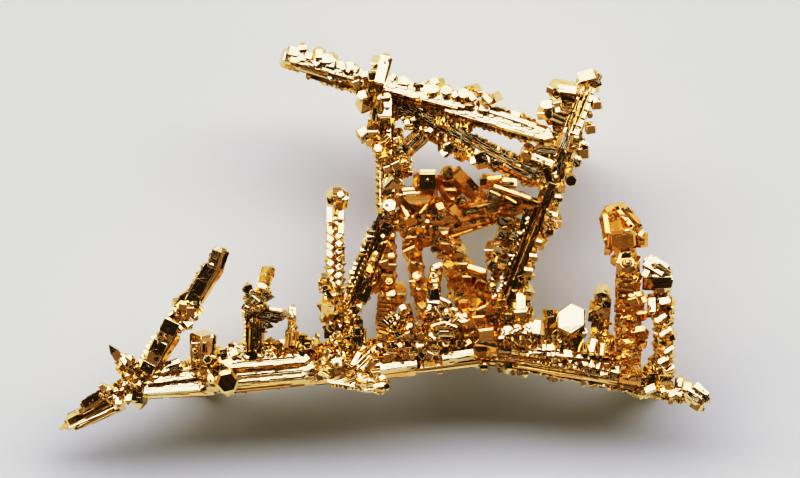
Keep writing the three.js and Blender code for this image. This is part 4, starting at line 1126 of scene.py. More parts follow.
def top_bar_hanging():
    """The crystals that hang from it."""
    return [
        bar(
            [-0.52, 4.81, 3.95], [-0.8, 4.04, 4.2], 0.47, 0, dict(tip=0.55, flat=0.1),
            front=(0.5, -0.05, 0.86),
        ),
        tile([-0.92, 4.61, 4.5], [-0.55, 4.71, 4.5], 0.3),
        bar([-0.05, 4.77, 3.95], [-0.03, 3.87, 4.15], 0.47, 0, BEVELLED, front=(0.04, -0.06, 1)),
        tile([-0.2, 4.51, 4.35], [-0.17, 4.04, 4.35], 0.2, (-0.55, 0.2, 0.8)),
        *ridges([-0.28, 4.54, 4.45], [-0.23, 4.04, 4.45], (0.2, 0, 0), 4, 0.04),
        tile([-0.18, 4.61, 4.45], [0.18, 4.64, 4.45], 0.2),
        bar([-0.18, 3.89, 4.2], [0.32, 3.89, 4.2], 0.27, 45, BLUNT),
        bar([0.25, 4.31, 4.1], [0.28, 4.07, 4.1], 0.13, 45, BLUNT),
    ]


def top_bar_right_part():
    """The right part of the bar."""
    return [
        rod([-0.38, 5.04, 3.75], [2.83, 4.24, 3.9], 0.54, 0),
        rod([1.49, 4.54, 3.85], [5.37, 3.34, 3.95], 0.43, 0, tip=0.4, flat=0.4),
        plank([-0.05, 5.06, 4.25], [2.69, 4.36, 4.3], 0.57, 21, BLUNT),
        plank([-0.05, 4.77, 4.1], [2.02, 4.24, 4.1], 0.2, 25, BLUNT),
        plank([2.02, 4.32, 4.25], [5.67, 3.27, 4.15], 0.5, 21, dict(tip=0.7, flat=0.1)),
        plank([2.22, 4.09, 3.95], [5.43, 3.15, 3.9], 0.13, 24, POINTED),
        plank([3.83, 4.04, 4.15], [4.97, 3.64, 4.15], 0.17, 26, POINTED),
        *tiles([0.08, 5.18, 4.25], [1.49, 4.84, 4.3], 8, 0.27, 0.1),
        *ridges([0.22, 4.97, 4.35], [2.69, 4.34, 4.4], (0.03, -0.2, -0.06), 5, 0.04),
        *scales([0.08, 5.04, 4.35], [2.56, 4.41, 4.4], 0.47, 44, 0.09),
        *scales([2.16, 4.29, 4.35], [5.23, 3.4, 4.25], 0.37, 44, 0.09),
        *ridges([2.56, 4.41, 4.3], [5.37, 3.5, 4.3], (0.03, -0.22, -0.06), 5, 0.04),
        tile([0.35, 5.14, 4.3], [0.82, 5.08, 4.3], 0.27),
        bar([0.92, 4.97, 4.2], [1.35, 4.87, 4.2], 0.3, -10, BLUNT),
        facing([1.07, 4.94, 4.5], 0.17, 0.3, 10, (0, 0)),
        bar([1.76, 4.67, 4.1], [1.66, 5.21, 4.1], 0.43, 45, BEVELLED),
        tile([1.39, 4.81, 4.5], [1.79, 4.87, 4.5], 0.3),
        tile([1.49, 5.04, 4.4], [1.82, 5.18, 4.4], 0.23),
        tile([1.89, 4.77, 4.5], [2.22, 4.84, 4.5], 0.3),
        bar([2.06, 4.74, 4.1], [2.06, 5.04, 4.1], 0.3, 45, BLUNT),
        facing([2.02, 4.57, 4.45], 0.15, 0.3, 10, (0, 0)),
        tile([2.22, 4.61, 4.5], [2.46, 4.74, 4.5], 0.2),
        facing([2.44, 4.52, 4.5], 0.17, 0.3, 10, (0, 0)),
        tile([2.46, 4.64, 4.5], [2.79, 4.77, 4.5], 0.37),
        bar([2.79, 4.57, 4.1], [2.69, 4.97, 4.1], 0.37, 45, BEVELLED),
        tile([2.79, 4.54, 4.5], [3.06, 4.71, 4.5], 0.33, shape=BLUNT),
        facing([3.18, 4.67, 4.4], 0.23, 0.4, 30, (0.5, -0.7)),
        tile([2.63, 4.34, 4.4], [2.99, 4.31, 4.4], 0.2, (0, 0.3, 0.95), sides=8),
        bar([3.7, 4.41, 4.1], [3.56, 4.71, 4.1], 0.37, 45, BEVELLED),
        tile([3.26, 4.41, 4.5], [3.56, 4.64, 4.5], 0.37),
        tile([3.09, 4.24, 4.4], [3.49, 4.17, 4.4], 0.2),
        *row([3.83, 4.11, 3.85], [5.03, 3.7, 3.9], 7, [0, 1, -0.1], 0.23, 0.17, 24, BLUNT, 0.3),
        *row([0.22, 5.01, 3.9], [3.83, 4.07, 3.95], 14, [0, 1, -0.1], 0.27, 0.17, 30, BLUNT, 0.3),
        *crust([-0.05, 4.91, 3.8], [5.37, 3.3, 3.85], 90, 0.23, 0.13, bare=0.05, tilt=42),
    ]


def top_bar_fringe():
    """The fringe of small crystals below the bar."""
    return [
        *row([0.22, 4.71, 3.7], [1.89, 4.24, 3.75], 13, [0.1, -1, 0.25], 0.3, 0.2, 45, BLUNT, 0.25),
        *row([1.49, 4.27, 3.75], [2.83, 3.84, 3.85], 6, [0.05, -1, 0.2], 0.57, 0.27, 45, BLUNT, 0.15),
        *row([1.62, 4.31, 3.9], [2.83, 3.97, 4], 9, [0.05, -1, 0.4], 0.3, 0.17, 45, BLUNT, 0.25),
        *row([2.89, 3.87, 3.8], [4.83, 3.3, 3.85], 11, [-0.05, -1, 0.2], 0.27, 0.18, 45, BLUNT, 0.08),
        *row([4.9, 3.3, 3.8], [5.7, 3.07, 3.9], 5, [0.1, -1, 0.3], 0.23, 0.2, 45, BLUNT, 0.2),
    ]


def top_bar_back():
    """Crystals on the back."""
    return [
        *row([-3.06, 5.84, 3.9], [-0.59, 5.11, 3.6], 8, [0, -0.1, -1], 0.5, 0.37, 20, BLUNT, 0.4),
        *row([0.22, 4.91, 3.6], [5.43, 3.34, 3.8], 15, [0, 0.1, -1], 0.5, 0.37, 20, BLUNT, 0.4),
        *crust([-3.13, 5.84, 3.9], [-0.45, 5.04, 3.6], 50, 0.33, 0.2, BACK, 0.35, bare=0.1),
        *crust([0.22, 4.91, 3.6], [5.43, 3.34, 3.8], 90, 0.33, 0.2, BACK, 0.35, bare=0.1),
        bar([-0.25, 4.97, 3.8], [-0.18, 5.18, 2.7], 0.6, 20, POINTED),
        bar([3.19, 4.11, 3.7], [3.23, 4.17, 2.7], 0.57, 14, POINTED),
    ]


# second_bar: the dark striated bar under the top bar, and the arm that joins it to the upper post.


def second_bar_core():
    """The long striated bars."""
    return [
        rod([0.22, 4.31, 3.3], [5.17, 1.8, 3.84], 0.47, 0, tip=0.4, flat=0.5),
        plank([0.18, 4.54, 3.75], [2.16, 3.5, 3.95], 0.3, 0),
        plank([1.69, 3.77, 3.9], [5.1, 1.9, 4.1], 0.33, 0),
        plank([1.76, 3.44, 3.7], [4.83, 1.8, 3.9], 0.17, -10),
        *ridges([1.69, 3.84, 3.95], [5.03, 2.03, 4.15], (0.05, -0.24, 0), 3, 0.03),
        *ridges([1.82, 3.5, 3.85], [4.77, 1.9, 4], (0.02, -0.12, 0), 2, 0.05),
        *row([1.82, 3.8, 3.6], [4.97, 2.2, 3.85], 20, [0.3, 1, 0], 0.17, 0.14, 45, BLUNT, 0.2),
    ]


def second_bar_cubes():
    """The dark cubes at its left end."""
    return [
        *knot([0.89, 3.87, 3.4], 0.43, 12, 0.3),
        facing([0.5, 4.11, 4], 0.25, 0.5, 30, (0, 0), flat=0.86),
        facing([0.45, 4.34, 3.95], 0.2, 0.5, 20, (0.05, 0), flat=0.86),
        facing([1.09, 4.01, 4.1], 0.28, 0.5, 20, (0, 0), flat=0.86),
        facing([1.05, 3.7, 4], 0.27, 0.5, 30, (0, -0.05), flat=0.86),
        facing([0.72, 3.77, 4], 0.2, 0.5, 10, (0, 0.35)),
        facing([0.85, 3.6, 3.95], 0.2, 0.5, 30, (-0.1, -0.8)),
        facing([0.28, 4.17, 3.9], 0.17, 0.5, 30, (0, -0.9)),
        facing([0.28, 3.87, 3.8], 0.23, 0.5, 30, (-0.2, -0.8)),
        bar([0.22, 4.11, 3.6], [0.42, 4.51, 3.8], 0.27, 45, BLUNT),
        *tiles([0.55, 3.9, 4.05], [1.42, 3.5, 4], 4, 0.13, 0.13),
        facing([1.49, 3.5, 4], 0.2, 0.4, 20, (0.1, 0.38)),
        facing([1.35, 3.27, 3.9], 0.27, 0.4, 30, (0.2, -0.9)),
        *crust([0.28, 4.24, 3.4], [1.49, 3.5, 3.5], 60, 0.37, 0.17, bare=0.3),
    ]


def second_bar_lower_side():
    """The crystals on its lower side."""
    return [
        bar([2.02, 3.44, 3.6], [2.06, 2.63, 3.95], 0.43, 45, BLUNT),
        facing([2.12, 2.87, 4.2], 0.4, 0.5, 20, (-0.02, -0.22), sides=6, flat=0.75),
        tile([1.87, 2.87, 4.1], [2.06, 2.6, 4.1], 0.2, (-0.35, 0.3, 0.9)),
        bar([2.49, 3.24, 3.7], [2.56, 2.43, 3.95], 0.37, 45, BLUNT),
        facing([2.53, 2.67, 4.1], 0.3, 0.5, 30, (0.3, -0.9)),
        bar([2.83, 2.97, 3.7], [2.86, 2.43, 3.9], 0.27, 45, BLUNT),
        bar([3.19, 2.83, 3.8], [3.23, 2.27, 4], 0.47, 14, dict(depth=0.4, tip=0.2, flat=0.7)),
        facing([3.19, 2.55, 4.3], 0.4, 0.5, 20, (0, 0), flat=0.9),
        tile([2.93, 2.63, 4.2], [2.94, 2.3, 4.2], 0.2, (-0.35, 0.35, 0.87)),
        tile([3.03, 2.25, 4.1], [3.49, 2.37, 4.1], 0.2, (0, -0.75, 0.66)),
        facing([3.68, 2.37, 4.15], 0.23, 0.4, 20, (0, 0), flat=0.86),
        *row([1.49, 3.37, 3.5], [3.16, 2.6, 3.7], 12, [0.1, -1, 0.5], 0.3, 0.23, 45, BLUNT, 0.25),
        *row([3.43, 2.43, 3.7], [4.9, 1.76, 3.8], 11, [0.1, -1, 0.3], 0.23, 0.18, 45, BLUNT, 0.25),
        *tiles([1.69, 3.37, 4], [3.83, 2.37, 4.1], 10, 0.1, 0.07, loose=0.3),
        *crust([1.49, 3.5, 3.45], [4.97, 1.8, 3.75], 80, 0.27, 0.14, bare=0.1, tilt=42),
    ]


def second_bar_oval_face():
    """The long crystal with the flat oval face at its right end."""
    return [
        rod([3.9, 2.4, 4], [5.1, 1.83, 4.1], 0.37, 0, tip=0.6, flat=0.3, foot=0.5, foot_flat=0.3),
        bar([4.03, 2.48, 4.15], [5, 2.03, 4.2], 0.07, 45),
        bar([3.96, 2.3, 4.15], [4.9, 1.81, 4.2], 0.07, 45),
        bar([4.16, 2.33, 4.2], [4.83, 2, 4.25], 0.05, 45),
    ]


def second_bar_back():
    """Crystals on the back."""
    return [
        *row([0.48, 4.17, 3.2], [4.9, 1.93, 3.65], 15, [0, 0.1, -1], 0.47, 0.37, 20, BLUNT, 0.4),
        *crust([0.35, 4.24, 3.2], [4.97, 1.9, 3.65], 90, 0.37, 0.2, BACK, 0.35, bare=0.1),
    ]


def second_bar_arm():
    """The arm that joins the second bar to the upper post."""
    return [
        rod([1.45, 3.57, 3.5], [0.55, 2.7, 3.8], 0.57, 0, tip=0.3, flat=0.6),
        bar([1.35, 3.47, 3.7], [0.82, 2.9, 3.9], 0.33, -12),
        *ridges([1.39, 3.37, 3.95], [0.79, 2.77, 4.1], (-0.25, -0.25, 0), 6, 0.05),
        facing([0.55, 2.8, 4.2], 0.5, 0.5, 10, (-0.12, -0.1), sides=6, flat=0.8),
        *cells([0.42, 3.1, 4.2], [0.55, 2.5, 4.2], 8, 0.13, 0.12),
        facing([0.42, 3.14, 4.1], 0.27, 0.4, 30, (-0.1, -0.8)),
        *knot([0.42, 2.2, 3.9], 0.4, 12, 0.27),
        facing([0.38, 2.27, 4.5], 0.33, 0.5, 25, (0.02, -0.3)),
        facing([0.08, 2.17, 4.4], 0.27, 0.5, 30, (-0.1, -0.8)),
        facing([0.65, 2.2, 4.4], 0.3, 0.5, 20, (0.2, -0.8)),
        facing([0.45, 1.96, 4.3], 0.3, 0.5, 10, (0, -0.9)),
        facing([0.82, 2.03, 4.2], 0.2, 0.5, 30, (0.3, -0.8)),
        *crust([0.62, 2.5, 3.9], [0.28, 2.1, 4], 50, 0.37, 0.18, bare=0.5, tilt=42),
        *row([1.22, 3.44, 3.4], [0.35, 2.33, 3.8], 5, BACK, 0.43, 0.33, 20, BLUNT, 0.5),
    ]


# right_upright: the long striated upright at the right of the middle.


def right_upright_pale_part():
    """The pale upper part."""
    return [
        rod([6.77, 5.04, 3.85], [5.9, 2.83, 4.2], 0.6, 0),
        *shingles([6.91, 4.97, 4.3], [6.27, 3.3, 4.62], 6, 0.3, (0.1, 0.36, 0.92)),
        *shingles([6.64, 4.97, 4.28], [6, 3.37, 4.58], 8, 0.2, (-0.3, 0.28, 0.9)),
        bar([6.81, 5.04, 4.36], [6.2, 3.64, 4.66], 0.08, 45),
        bar([6.71, 4.97, 4.34], [6.1, 3.5, 4.66], 0.08, 45),
        *ridges([6.51, 4.91, 4.42], [5.84, 3.24, 4.7], (0.46, 0.08, 0), 6, 0.04),
        *cells([6.57, 4.77, 4.44], [6.04, 3.44, 4.68], 5, 0.13, 0.06),
        *tiles([6.84, 4.71, 4.42], [6.24, 3.24, 4.68], 9, 0.13, 0.1, loose=0.25),
    ]


def right_upright_dark_part():
    """The dark parts below it."""
    return [
        rod([6.17, 3.44, 4.1], [5.37, 1.1, 3.77], 0.57, 0),
        plank([6.1, 2.97, 4.25], [5.64, 1.96, 4.15], 0.3, 0, BLUNT),
        plank([5.7, 2.9, 4.2], [5.43, 2.1, 4.1], 0.23, 4, BLUNT),
        *tiles([5.97, 3.17, 4.35], [5.37, 0.96, 4], 26, 0.17, 0.2, (-0.1, 0.2, 0.95), 0.4),
        *ridges([5.9, 2.83, 4.3], [5.23, 1.16, 4], (0.45, 0.1, -0.03), 6, 0.05),
        rod([5.6, 1.76, 4], [4, -2.52, 3.2], 0.57, 0),
        plank([5.54, 1.56, 4.15], [3.96, -2.32, 3.5], 0.3, 0),
        plank([5, 1.23, 4], [4.5, 0.09, 3.75], 0.23, -4),
        bar([4.97, 0.96, 3.77], [3.96, -2.18, 3.1], 0.47, 12),
        bar([5, 0.96, 4.05], [3.83, -2.32, 3.45], 0.07, 45),
        bar([4.8, -0.38, 3.85], [3.83, -2.32, 3.5], 0.07, 30),
        *ridges([5.37, 1.3, 4.25], [3.9, -2.32, 3.6], (0.2, 0.06, 0), 3, 0.03),
        *row([4.9, 0.76, 3.7], [3.76, -2.18, 3.3], 26, [-1, -0.2, 0.5], 0.17, 0.12, 15, POINTED, 0.2),
        *tiles([4.77, 0.69, 3.95], [3.7, -2.18, 3.4], 34, 0.11, 0.13, (-0.1, 0.2, 0.95), 0.4),
        *beads([4.1, -1.85, 3.25], [3.63, -3.72, 3.3], 7, 0.57, 45, 0.1),
    ]


def right_upright_top():
    """The crystal on its top."""
    return [
        bar([6.74, 4.77, 4.05], [6.79, 5.41, 4.05], 0.57, 45, BLUNT),
        tile([6.44, 5.21, 4.5], [7.07, 5.38, 4.5], 0.37, (0.02, 0.44, 0.9), dict(tip=0.3, flat=0.5)),
        tile([7.01, 5.04, 4.4], [7.17, 5.38, 4.4], 0.2, (0.5, 0.3, 0.8)),
        facing([7.14, 5.04, 4.3], 0.17, 0.3, 20),
        facing([6.87, 5.11, 4.5], 0.13, 0.3, 10, (0, 0)),
        *tiles([6.37, 5.04, 4.4], [7.04, 5.08, 4.4], 7, 0.13, 0.07),
    ]


def right_upright_prisms():
    """The prisms on its left."""
    return [
        bar([6.51, 4.74, 4.05], [5.37, 4.94, 4.2], 0.47, 45, BLUNT),
        plank([6.37, 4.81, 4.4], [5.6, 4.91, 4.4], 0.27, 20, POINTED),
        facing([5.47, 4.81, 4.4], 0.27, 0.4, 30, (-0.6, -0.5)),
        plank([6.44, 4.61, 4.3], [5.87, 4.84, 4.45], 0.1, 0),
        plank([6.44, 4.47, 4.3], [5.7, 4.61, 4.35], 0.1, -10),
        bar([6.3, 4.37, 4.1], [5.84, 4.51, 4.2], 0.27, 45, BLUNT),
        bar([6.44, 4.07, 4], [5.17, 4.11, 4.2], 0.64, 45, BLUNT),
        tile([5.17, 4.31, 4.6], [5.64, 4.34, 4.6], 0.3),
        facing([5.74, 4.31, 4.65], 0.27, 0.4, 15, (0, -0.8)),
        facing([5.43, 4.04, 4.7], 0.3, 0.4, 25, (-0.1, -0.1), sides=6),
        facing([5.74, 4.17, 4.65], 0.2, 0.4, 10, (-0.1, 0.2)),
        facing([5.2, 3.94, 4.55], 0.33, 0.4, 30, (-0.4, -0.9)),
        bar([6.24, 3.77, 4.35], [5.57, 4.11, 4.5], 0.13, 45),
        bar([6.24, 3.6, 4.3], [5.5, 3.94, 4.45], 0.13, 45),
        plank([6.17, 3.84, 4.4], [5.57, 4.17, 4.6], 0.13, 0),
        bar([6.17, 3.44, 4.1], [5.57, 3.64, 4.2], 0.3, 45, BLUNT),
        bar([6.04, 3.27, 4.1], [5.7, 3.37, 4.2], 0.23, 45, BLUNT),
        bar([5.84, 2.8, 4], [4.87, 2.85, 4.1], 0.37, 45, POINTED),
        plank([5.7, 2.77, 4.3], [5.03, 2.85, 4.3], 0.23, 0, BLUNT),
        bar([5.7, 2.33, 4], [4.46, 2.67, 4.1], 0.4, 45, BLUNT),
        facing([4.67, 2.62, 4.4], 0.4, 0.4, 15, (-0.3, -0.7), sides=8),
        bar([5.57, 2.3, 4.3], [4.87, 2.57, 4.35], 0.13, 24),
        bar([5.57, 2.4, 4.3], [4.93, 2.67, 4.35], 0.1, 24),
        facing([5.07, 2.5, 4.4], 0.12, 0.2, 10, (0, 0)),
        facing([5.27, 2.4, 4.4], 0.12, 0.2, 10, (0, 0)),
        bar([5.57, 2.03, 4], [5, 2.13, 4.1], 0.3, 45, BLUNT),
        bar([5.43, 1.7, 4], [4.97, 1.8, 4.1], 0.27, 45, BLUNT),
        plank([5.5, 1.76, 4.2], [5.33, 2.23, 4.25], 0.2, 0),
        *row([6.1, 4.37, 4.1], [5.43, 1.5, 4], 16, [-1, 0.05, 0.35], 0.3, 0.2, 45, BLUNT, 0.25),
        *crust([6.64, 4.64, 4], [5.43, 1.3, 3.8], 110, 0.33, 0.17, bare=0.1),
    ]


def right_upright_right_edge():
    """The crystals down its right edge."""
    return [
        tile([6.91, 4.47, 4.4], [7.17, 4.54, 4.4], 0.22, (0.05, 0.4, 0.9), BLUNT),
        facing([7.07, 4.31, 4.4], 0.3, 0.4, 25, (0.15, -0.3)),
        *row([6.84, 4.64, 4.2], [6.77, 4.31, 4.2], 3, [1, -0.2, 0.2], 0.17, 0.1, 20, BLUNT, 0.1),
        facing([6.84, 3.97, 4.3], 0.2, 0.4, 20, (0.2, -0.3), sides=8),
        tile([6.67, 3.67, 4.45], [6.91, 3.67, 4.45], 0.13, GLOW),
        facing([6.87, 3.5, 4.45], 0.32, 0.4, 25, (0.2, -0.3)),
        facing([6.44, 3.27, 4.4], 0.3, 0.4, 20, (0.1, -0.3)),
        bar([6.3, 3.04, 4.1], [6.74, 2.9, 4.2], 0.47, 24, BLUNT),
        tile([6.51, 3.1, 4.5], [6.77, 3, 4.5], 0.13),
        facing([6.67, 2.93, 4.55], 0.2, 0.4, 20, (0.05, -0.1)),
        facing([6.61, 2.7, 4.4], 0.4, 0.5, 20, (0.15, -0.35)),
        facing([6.37, 2.4, 4.5], 0.33, 0.5, 15, (0.02, 0), sides=6, flat=0.84),
        tile([6.3, 2.6, 4.45], [6.54, 2.53, 4.45], 0.12),
        facing([6.14, 2.17, 4.3], 0.27, 0.4, 30, (0.3, -0.8)),
        facing([6.2, 1.8, 4.4], 0.37, 0.5, 10, (0.05, -0.15), sides=6, flat=0.84),
        facing([5.87, 1.46, 4.2], 0.3, 0.4, 15, (0.3, -0.8)),
        facing([5.8, 1.2, 4.15], 0.27, 0.4, 15, (0.05, -0.05), sides=8),
        tile([5.64, 1.3, 4.2], [5.9, 1.26, 4.2], 0.13),
        tile([5.57, 0.99, 4.15], [5.84, 0.96, 4.15], 0.17, (0.2, 0.7, 0.69)),
        bar([5.37, 0.63, 3.77], [5.84, 0.43, 3.85], 0.6, 45, BLUNT),
        tile([5.43, 0.73, 4.2], [5.8, 0.63, 4.2], 0.15, (0.15, 0.3, 0.93)),
        tile([5.37, 0.43, 4.15], [5.67, 0.29, 4.15], 0.13, (0.2, 0.7, 0.69)),
        facing([5.74, 0.33, 4.15], 0.33, 0.4, 25, (0.3, -0.8)),
        facing([5.47, 0.13, 4.05], 0.37, 0.4, 20, (0.25, 0.1), sides=6),
        *cells([5.43, 0.76, 4.3], [5.7, 0.16, 4.25], 7, 0.13, 0.1),
        bar([4.97, -0.11, 3.7], [5.33, -0.38, 3.75], 0.33, 45, BEVELLED),
        facing([5.13, -0.28, 4], 0.27, 0.4, 15, (0.2, -0.3), sides=6),
        tile([5.03, -0.18, 4.05], [5.23, -0.24, 4.05], 0.1),
        facing([5.2, -0.44, 3.9], 0.23, 0.4, 15, (0.2, -0.8)),
        facing([4.97, -0.78, 3.85], 0.27, 0.4, 30, (0.2, -0.4), sides=6),
        tile([4.8, -0.68, 3.9], [5.1, -0.71, 3.9], 0.1, (0.15, 0.28, 0.92), BLUNT),
        bar([4.63, -0.71, 3.5], [5.1, -0.84, 3.55], 0.23, 45, BLUNT),
        facing([4.8, -1.28, 3.8], 0.27, 0.4, 20, (0.2, -0.4), sides=6),
        tile([4.63, -1.15, 3.85], [4.97, -1.18, 3.85], 0.12, (0.05, 0.36, 0.92), BLUNT),
        bar([4.5, -1.28, 3.4], [5, -1.38, 3.45], 0.27, 45, BLUNT),
        facing([4.53, -1.45, 3.75], 0.2, 0.4, 20, (0.1, 0.1)),
        *row([5.7, 1.63, 4], [4.3, -1.85, 3.4], 24, [0.9, 0.1, 0.3], 0.27, 0.17, 45, BLUNT, 0.25),
        *crust([5.5, 1.16, 3.7], [4.1, -2.05, 3.1], 90, 0.33, 0.14, bare=0.1),
    ]


def right_upright_left_edge():
    """The crystals on its left side lower down."""
    return [
        bar([4.43, 0.29, 3.7], [3.83, 0.49, 3.85], 0.37, 45, BEVELLED),
        facing([3.91, 0.44, 4.2], 0.4, 0.6, 15, (0, 0), sides=6, flat=0.88),
        tile([4, 0.59, 4.1], [4.36, 0.43, 4.1], 0.23, (0.1, -0.7, 0.7)),
        bar([4.36, -0.04, 3.59], [3.73, 0.09, 3.75], 0.37, 0, BEVELLED),
        facing([3.9, 0.03, 4.1], 0.3, 0.5, 15, (0, 0), sides=6, flat=0.88),
        facing([4.26, -0.01, 4.05], 0.3, 0.5, 35, (0.02, 0.02), sides=6, flat=0.88),
        tile([3.83, 0.19, 4.1], [4.23, 0.13, 4.1], 0.08, GLOW),
        bar([4.3, -0.54, 3.48], [3.56, -0.38, 3.65], 0.43, 45, BEVELLED),
        facing([3.78, -0.51, 4.15], 0.37, 0.5, 15, (0, 0), sides=6, flat=0.88),
        tile([3.53, -0.28, 4.05], [3.9, -0.24, 4.05], 0.13, GLOW),
        facing([3.46, -0.64, 3.9], 0.33, 0.4, 30, (-0.4, -0.8)),
        bar([3.7, -0.71, 3.56], [3.53, -1.18, 3.6], 0.4, 45, BLUNT),
        facing([3.56, -1.06, 4], 0.37, 0.5, 30, (0, -0.05), sides=8, flat=0.84),
        facing([3.9, -1.05, 3.9], 0.3, 0.5, 30, (0.1, -0.9)),
        bar([4.23, -1.85, 3.38], [4.9, -2.08, 3.45], 0.4, 45, POINTED),
        facing([4.77, -2.08, 3.8], 0.37, 0.4, 40, (0.3, -0.8)),
        tile([4.53, -2.55, 3.85], [4.53, -1.81, 3.85], 0.3, (-0.1, 0.48, 0.87), POINTED),
        bar([4.23, -2.38, 3.3], [4.83, -2.45, 3.4], 0.3, 45, BLUNT),
        facing([4.7, -2.45, 3.7], 0.3, 0.4, 20, (0.2, -0.8)),
        plank([3.83, -2.58, 3.5], [4.13, -1.71, 3.55], 0.27, 45),
        *row([4.3, 0.16, 3.6], [3.63, -1.91, 3.3], 13, [-1, 0, 0.5], 0.33, 0.2, 45, BLUNT, 0.3),
        *crust([4.03, -1.85, 3.2], [3.7, -3.52, 3.2], 60, 0.37, 0.18, bare=0.6, tilt=42),
    ]


def right_upright_back():
    """Crystals on the back, down to the floor."""
    return [
        *row([6.77, 4.84, 3.9], [5.43, 1.3, 3.7], 11, [0, 0.1, -1], 0.54, 0.4, 20, BLUNT, 0.4),
        *row([5.37, 1.1, 3.6], [3.83, -3.19, 3], 14, [0, 0.1, -1], 0.5, 0.4, 20, BLUNT, 0.4),
        *crust([6.71, 4.77, 3.9], [4.03, -2.85, 3.1], 120, 0.4, 0.2, BACK, 0.35, bare=0.1),
        bar([5.84, 2.77, 3.9], [5.77, 2.9, 2.5], 0.57, 25),
        *leg([5.74, 2.9, 3.2], [5.74, 2.9, 0], 0.64),
    ]


# fan: the fan of blades in the middle, above the columns.


def fan_block():
    """The upright block with the dark face."""
    return [
        bar([1.45, 0.96, 3.72], [1.39, 2.07, 4.2], 0.6, 0, BEVELLED),
        tile([1.39, 1.5, 4.7], [1.39, 2.07, 4.7], 0.54, (0.04, -0.04, 1), BEVELLED),
        tile([1.02, 1.5, 4.4], [1.05, 2.07, 4.4], 0.23, (-0.8, 0.1, 0.6)),
        tile([1.15, 2.12, 4.6], [1.69, 2.12, 4.6], 0.1),
        tile([1.79, 1.5, 4.3], [1.76, 2, 4.3], 0.27, (0.7, -0.1, 0.7)),
    ]


def fan_triangle():
    """The triangle between its cream edges, and the streaked bars round it."""
    return [
        bar([0.59, 1.36, 4.1], [1.62, 1.43, 4.2], 0.33, 45),
        bar([0.55, 1.5, 4.35], [1.62, 1.56, 4.4], 0.1, 24),
        bar([0.59, 1.36, 4.35], [1.62, 1.43, 4.4], 0.1, 24),
        bar([0.62, 1.23, 4.3], [1.59, 1.26, 4.35], 0.08, 24),
        tile(
            [1.1, 1.33, 4.4], [1.12, 0.69, 4.4], 0.84, (0.02, -0.65, 0.76),
            dict(tip=0.8, flat=0.02), depth=0.17,
        ),
        bar([0.65, 1.26, 4.5], [1.12, 0.66, 4.4], 0.07, 30),
        bar([1.59, 1.26, 4.5], [1.12, 0.66, 4.4], 0.07, 30),
        rod([0.48, 1.36, 4.1], [0.92, 0.53, 4.1], 0.43, 0),
        *ridges([0.48, 1.26, 4.4], [0.85, 0.49, 4.35], (0.3, 0.12, 0), 7, 0.06),
        tile([0.45, 1.26, 4.3], [0.79, 0.56, 4.3], 0.13, (-0.4, 0.3, 0.86)),
    ]


def fan_crowd():
    """The crowd below, with small dark cubes."""
    return [
        bar([0.42, 0.36, 3.58], [2.16, 0.89, 4.02], 0.67, 45),
        bar([0.75, -0.11, 3.39], [2.36, 0.36, 3.78], 0.67, 45),
        facing([1.1, 0.61, 4.5], 0.2, 0.4, 8, (0, 0), flat=0.92),
        facing([1.64, 0.76, 4.55], 0.23, 0.4, 5, (0, 0), flat=0.92),
        facing([1.4, 0.24, 4.3], 0.15, 0.4, 5, (0, 0), flat=0.92),
        facing([1.67, 0.23, 4.3], 0.2, 0.4, 10, (0, 0), flat=0.92),
        facing([1.14, -0.03, 4.15], 0.22, 0.4, 4, (0, 0), flat=0.92, depth=0.13),
        facing([1.39, 0.01, 4.15], 0.2, 0.4, 4, (0, 0), flat=0.92, depth=0.13),
        tile([1.32, 0.46, 4.35], [1.49, 0.43, 4.35], 0.13),
        tile([1.72, 0.49, 4.4], [1.92, 0.69, 4.4], 0.2, (0.3, 0.1, 0.95)),
        tile([0.69, 0.29, 4.1], [0.82, 0.29, 4.1], 0.1),
        tile([0.25, 0.46, 4], [0.48, 0.43, 4], 0.13),
        facing([0.85, 0.43, 4.3], 0.4, 0.4, 20, (0, -0.8)),
        facing([1.29, 0.53, 4.3], 0.37, 0.4, 30, (0.1, -0.8)),
        facing([1.42, 0.13, 4.1], 0.4, 0.4, 10, (0, -0.8)),
        facing([0.95, 0.09, 4.05], 0.37, 0.4, 30, (-0.1, -0.8)),
        facing([1.89, 0.06, 4.1], 0.43, 0.4, 20, (0.1, -0.8)),
        facing([1.82, 0.96, 4.4], 0.3, 0.4, 20, (-0.1, 0.25)),
        *stacked([0.55, 0.16, 3.8], [2.22, 0.69, 4.1], 8, 0.47, 45, 30),
        *stacked([0.69, -0.18, 3.6], [2.22, 0.23, 3.8], 6, 0.43, 45, 30),
        *row([0.62, 0.16, 3.8], [2.22, 0.56, 4.1], 7, [0, -0.3, 1], 0.23, 0.2, 45, BLUNT, 0.35),
        *crust([0.42, 0.43, 3.7], [2.36, 0.76, 3.8], 60, 0.4, 0.17, bare=0.4, tilt=45),
    ]


